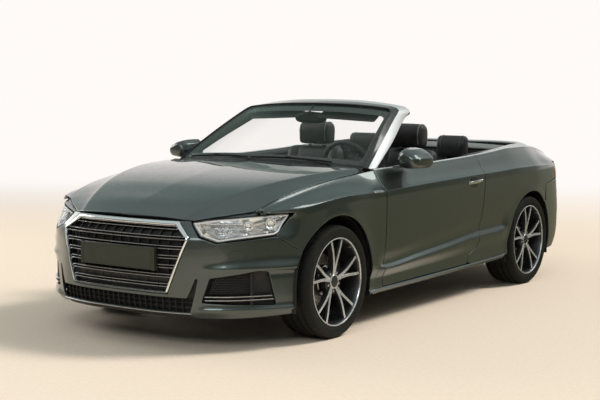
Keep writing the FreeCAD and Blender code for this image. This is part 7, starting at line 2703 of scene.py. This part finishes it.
# ---------------------------------------------------------------- console
def make_console(look):
    form = Form()
    side_view = rounded([(-502, 334), (-502, 640), (-452, 606), (-352, 566), (-60, 548), (46, 550), (62, 580),
                         (246, 590), (248, 334)], [6, 16, 40, 60, 60, 16, 16, 14, 10], 4)
    form.join(slab(side_view, -98, 98, "x", 9))
    top = rounded([(64, 582), (58, 622), (76, 646), (232, 650), (247, 634), (244, 586)], [8, 16, 20, 16, 14, 6], 4)
    form.join(slab(top, -92, 92, "x", 12), 1)
    plate = rounded([(-64, -318), (78, -318), (84, -60), (70, 36), (-78, 36), (-84, -60)], 22, 5)
    loops = []
    for amount, lift in ((0.0, -3.0), (0.0, 1.2), (3.0, 2.6), (5.5, 2.6), (8.0, 0.6)):
        loop = inset(turned_left(plate), amount)
        z = along([-502, -352, -60, 46], [640, 566, 548, 550], loop[:, 1])
        loops.append(np.column_stack([loop, z + lift]))
    form.grid(np.array(loops), wrap_v=True, slot=2)
    for y in (-102.0, -18.0):
        base = float(along([-352, -60, 46], [566, 548, 550], np.float64(y)))
        ring = circle((-40, y, base + 2.0), 36, 40, "z")
        form.join(sweep(ring, ring_section(3.0, 8), closed=True), 2)
        form.join(disc((-40, y, base - 3), (0, 0, 1), 35, 4, 40, 1), 3)
    boot_base = np.array((22.0, -236.0, 556.0))
    shaft_top = np.array((22.0, -226.0, 606.0))
    rings = []
    for share, radius in ((0.0, 44), (0.15, 41), (0.35, 30), (0.6, 20), (0.85, 13), (1.0, 10)):
        ring = ring_section(radius, 28)
        wave = 1 + 0.05 * np.sin(np.arange(28) * math.pi / 2)
        middle = boot_base + (shaft_top - boot_base) * share
        rings.append(np.stack([middle[0] + ring[:, 0] * wave, middle[1] + ring[:, 1] * wave,
                               np.full(28, middle[2])], 1))
    form.join(lofted(rings), 1)
    rings = []
    for height, radius in ((604, 9), (608, 15), (616, 21), (628, 24), (640, 22), (647, 15), (650, 4)):
        ring = ring_section(radius, 28)
        rings.append(np.stack([22 + ring[:, 0], -225 + ring[:, 1] * 1.15, np.full(28, float(height))], 1))
    form.join(lofted(rings), 1)
    ring = circle((22, -236, 560), 46, 40, "z", 50 / 46)
    form.join(sweep(ring, ring_section(3.2, 8), closed=True), 2)
    for x in (-56.0, 68.0):
        for k in range(4):
            y = -300.0 + k * 26
            base = float(along([-502, -352, -60], [640, 566, 548], np.float64(y)))
            form.join(block(x - 10, x + 10, y - 9, y + 9, base + 0.5, base + 4.0, 2), 0)
    piece("centre_console_body", form, [look["cabin"], look["leather"], look["satin"], look["display"]], "body",
          ["centre_console"], 40)


# ---------------------------------------------------------------- CAD nodes that stay in view
KEPT_LOOKS = {
    "engine_block": "iron", "exhaust": "steel", "floor_pan": "shell", "front_structure": "shell",
    "rear_structure": "shell", "front_arch_liners": "black", "rear_arch_liners": "black",
    "front_suspension": "iron", "rear_suspension": "iron", "fuel_tank": "black",
    "front_left_knuckle": "iron", "front_right_knuckle": "iron",
}


def dress_cad_nodes(look):
    for name, key in KEPT_LOOKS.items():
        mesh = NODES[name].data
        mesh.materials.clear()
        mesh.materials.append(look[key])


# ---------------------------------------------------------------- studio
HORIZON = (1.0, 0.957, 0.93)
HORIZON_BEHIND = (0.055, 0.062, 0.038)
SKY_TOP = (0.25, 0.33, 0.32)
SKY_BEHIND = (0.52, 0.58, 0.57)
FLOOR_DARK = (0.76, 0.64, 0.52)
FLOOR_LIGHT = (0.82, 0.69, 0.565)
# Dark olive that only glossy rays see on the floor beside the near side: painted dark reflection, not the floor's
# colour.
FLOOR_REFLECTED_SHADE = (0.15, 0.155, 0.078)
FLOOR_REFLECTED_SHADE_SIDE = (0.85, 0.53, 0.0)
WORLD_LIGHT = 0.62
FLOOR_HALF = 40.0
VIEW_AHEAD = (-0.567, 0.824, 0.0)
SEEN_RAYS = ("Is Camera Ray", "Is Glossy Ray", "Is Transmission Ray")


def seen_share(owner):
    """1 for rays from the camera, a glossy surface or glass, which see the plain background."""
    paths = node(owner, "ShaderNodeLightPath")
    first, second, third = (paths.outputs[name] for name in SEEN_RAYS)
    return combined(owner, "MAXIMUM", combined(owner, "MAXIMUM", first, second), third)


def ahead_share(owner, direction):
    """1 for directions on the far side of the car, 0 for the rest."""
    return mapped(owner, reach_along(owner, direction, VIEW_AHEAD), 0.42, 0.80)


def floor_reflected_shade_share(owner, place):
    """Share of painted dark reflection: high where a glossy surface looks at the floor well away on the near side of
    the car.
    """
    reach = mapped(owner, reach_along(owner, place, FLOOR_REFLECTED_SHADE_SIDE), 0.7, 1.7, 0.0, 0.9)
    paths = node(owner, "ShaderNodeLightPath")
    return combined(owner, "MULTIPLY", reach, paths.outputs["Is Glossy Ray"])


def make_floor():
    """Pale floor that fades into the background behind the car; to glossy rays it shows a dark olive zone beside the
    near side, a painted dark reflection.
    """
    look = new_material("studio_floor", FLOOR_LIGHT, 0.8)
    fine = grain(look, 40.0, 4.0)
    tint(look, fine, FLOOR_DARK, FLOOR_LIGHT)
    bump(look, fine, 0.04, 0.001)
    place = node(look, "ShaderNodeTexCoord").outputs["Object"]
    toward = node(look, "ShaderNodeVectorMath", operation="NORMALIZE")
    link(look, place, toward.inputs[0])
    far = mapped(look, reach_along(look, place, VIEW_AHEAD), 3.0, 11.0)
    share = combined(look, "MULTIPLY", far, ahead_share(look, toward.outputs[0]))
    share = combined(look, "MULTIPLY", share, seen_share(look))
    surface = mixed(look, share, shader_of(look).outputs[0], glow(look, HORIZON))
    surface = mixed(look, floor_reflected_shade_share(look, place), surface, glow(look, FLOOR_REFLECTED_SHADE))
    link(look, surface, look.node_tree.nodes["Material Output"].inputs["Surface"])
    corners = np.array([(x, y, 0) for x, y in corners_of(-FLOOR_HALF, FLOOR_HALF, -FLOOR_HALF, FLOOR_HALF)])
    mesh = mesh_of("studio_floor", corners, [(0, 1, 2, 3)])
    mesh.materials.append(look)
    placed("studio_floor", mesh)


def make_world():
    """A pale background ahead that fades to a slate sky, and a dark one behind the camera."""
    world = bpy.data.worlds.new("studio_world")
    bpy.context.scene.world = world
    world.use_nodes = True
    light = world.node_tree.nodes["Background"]
    light.inputs["Strength"].default_value = WORLD_LIGHT
    seen = node(world, "ShaderNodeBackground", Strength=1.0)
    place = node(world, "ShaderNodeTexCoord").outputs["Generated"]
    split = node(world, "ShaderNodeSeparateXYZ")
    link(world, place, split.inputs[0])
    ahead = shaded(world, split.outputs["Z"], 0.20, 0.52, HORIZON, SKY_TOP, "EASE")
    behind = shaded(world, split.outputs["Z"], 0.08, 0.62, HORIZON_BEHIND, SKY_BEHIND)
    both = node(world, "ShaderNodeMix", data_type="RGBA")
    for source, socket in ((ahead_share(world, place), 0), (behind, 6), (ahead, 7)):
        link(world, source, both.inputs[socket])
    for background in (light, seen):
        link(world, both.outputs[2], background.inputs["Color"])
    surface = mixed(world, seen_share(world), light.outputs["Background"], seen.outputs["Background"])
    link(world, surface, world.node_tree.nodes["World Output"].inputs["Surface"])


def soft_light(name, place, target, size, power, colour=(1, 1, 1), glossy=True):
    data = bpy.data.lights.new(name, "AREA")
    data.shape = "RECTANGLE"
    data.size, data.size_y = size
    data.energy = power
    data.color = colour
    lamp = placed(name, data)
    lamp.location = place
    lamp.rotation_euler = (Vector(target) - Vector(place)).to_track_quat("-Z", "Y").to_euler()
    lamp.visible_glossy = glossy


def make_lights():
    soft_light("key_softbox", (19.2, 20.0, 28.0), (0.0, -0.3, 0.3), (9.0, 9.0), 11200, (1.0, 0.965, 0.91), False)
    soft_light("side_softbox", (19.2, 20.0, 27.0), (0.0, -0.3, 0.3), (16.0, 16.0), 4200, (1.0, 0.98, 0.95))
    soft_light("front_softbox", (3.0, -8.0, 5.0), (0.2, -0.8, 0.5), (5.0, 2.6), 190, (0.94, 0.98, 1.0))
    soft_light("far_softbox", (-7.0, -2.0, 4.0), (-0.4, 0.0, 0.6), (5.0, 2.5), 160, (1.0, 0.98, 0.94))


CAMERA_PLACE = (4.7397, -7.3226, 1.4136)
CAMERA_TURN = (34.551, 5.024, 0.546)
CAMERA_LENS = 76.128


def make_camera():
    """Low three-quarter view from the front left of the car."""
    yaw, pitch, roll = (math.radians(turn) for turn in CAMERA_TURN)
    back = Vector((math.sin(yaw) * math.cos(pitch), -math.cos(yaw) * math.cos(pitch), math.sin(pitch)))
    right = (-back).cross(Vector((0, 0, 1))).normalized()
    up = right.cross(-back)
    turned_right = math.cos(roll) * right + math.sin(roll) * up
    turned_up = -math.sin(roll) * right + math.cos(roll) * up
    matrix = Matrix((turned_right, turned_up, back)).transposed().to_4x4()
    matrix.translation = Vector(CAMERA_PLACE)
    data = bpy.data.cameras.new("camera")
    data.lens = CAMERA_LENS
    data.sensor_width = 36.0
    data.sensor_fit = "HORIZONTAL"
    data.clip_end = 200.0
    camera = placed("camera", data)
    camera.matrix_world = matrix
    bpy.context.scene.camera = camera


def main():
    bpy.context.scene.view_settings.view_transform = "Standard"
    make_camera()
    look = make_materials()
    dress_cad_nodes(look)
    for build in BUILDERS:
        build(look)
    make_floor()
    make_world()
    make_lights()


BUILDERS = [make_fenders, make_quarters, make_doors, make_sills, make_hood, make_boot,
            make_bumper, make_grille, make_headlamps, make_wheels,
            make_windscreen, make_rear_bumper, make_tail_lamps, make_door_mirrors, make_handles, make_badges,
            make_belt, make_front_seats, make_rear_seats, make_folded_top,
            make_dashboard, make_steering, make_console]
main()
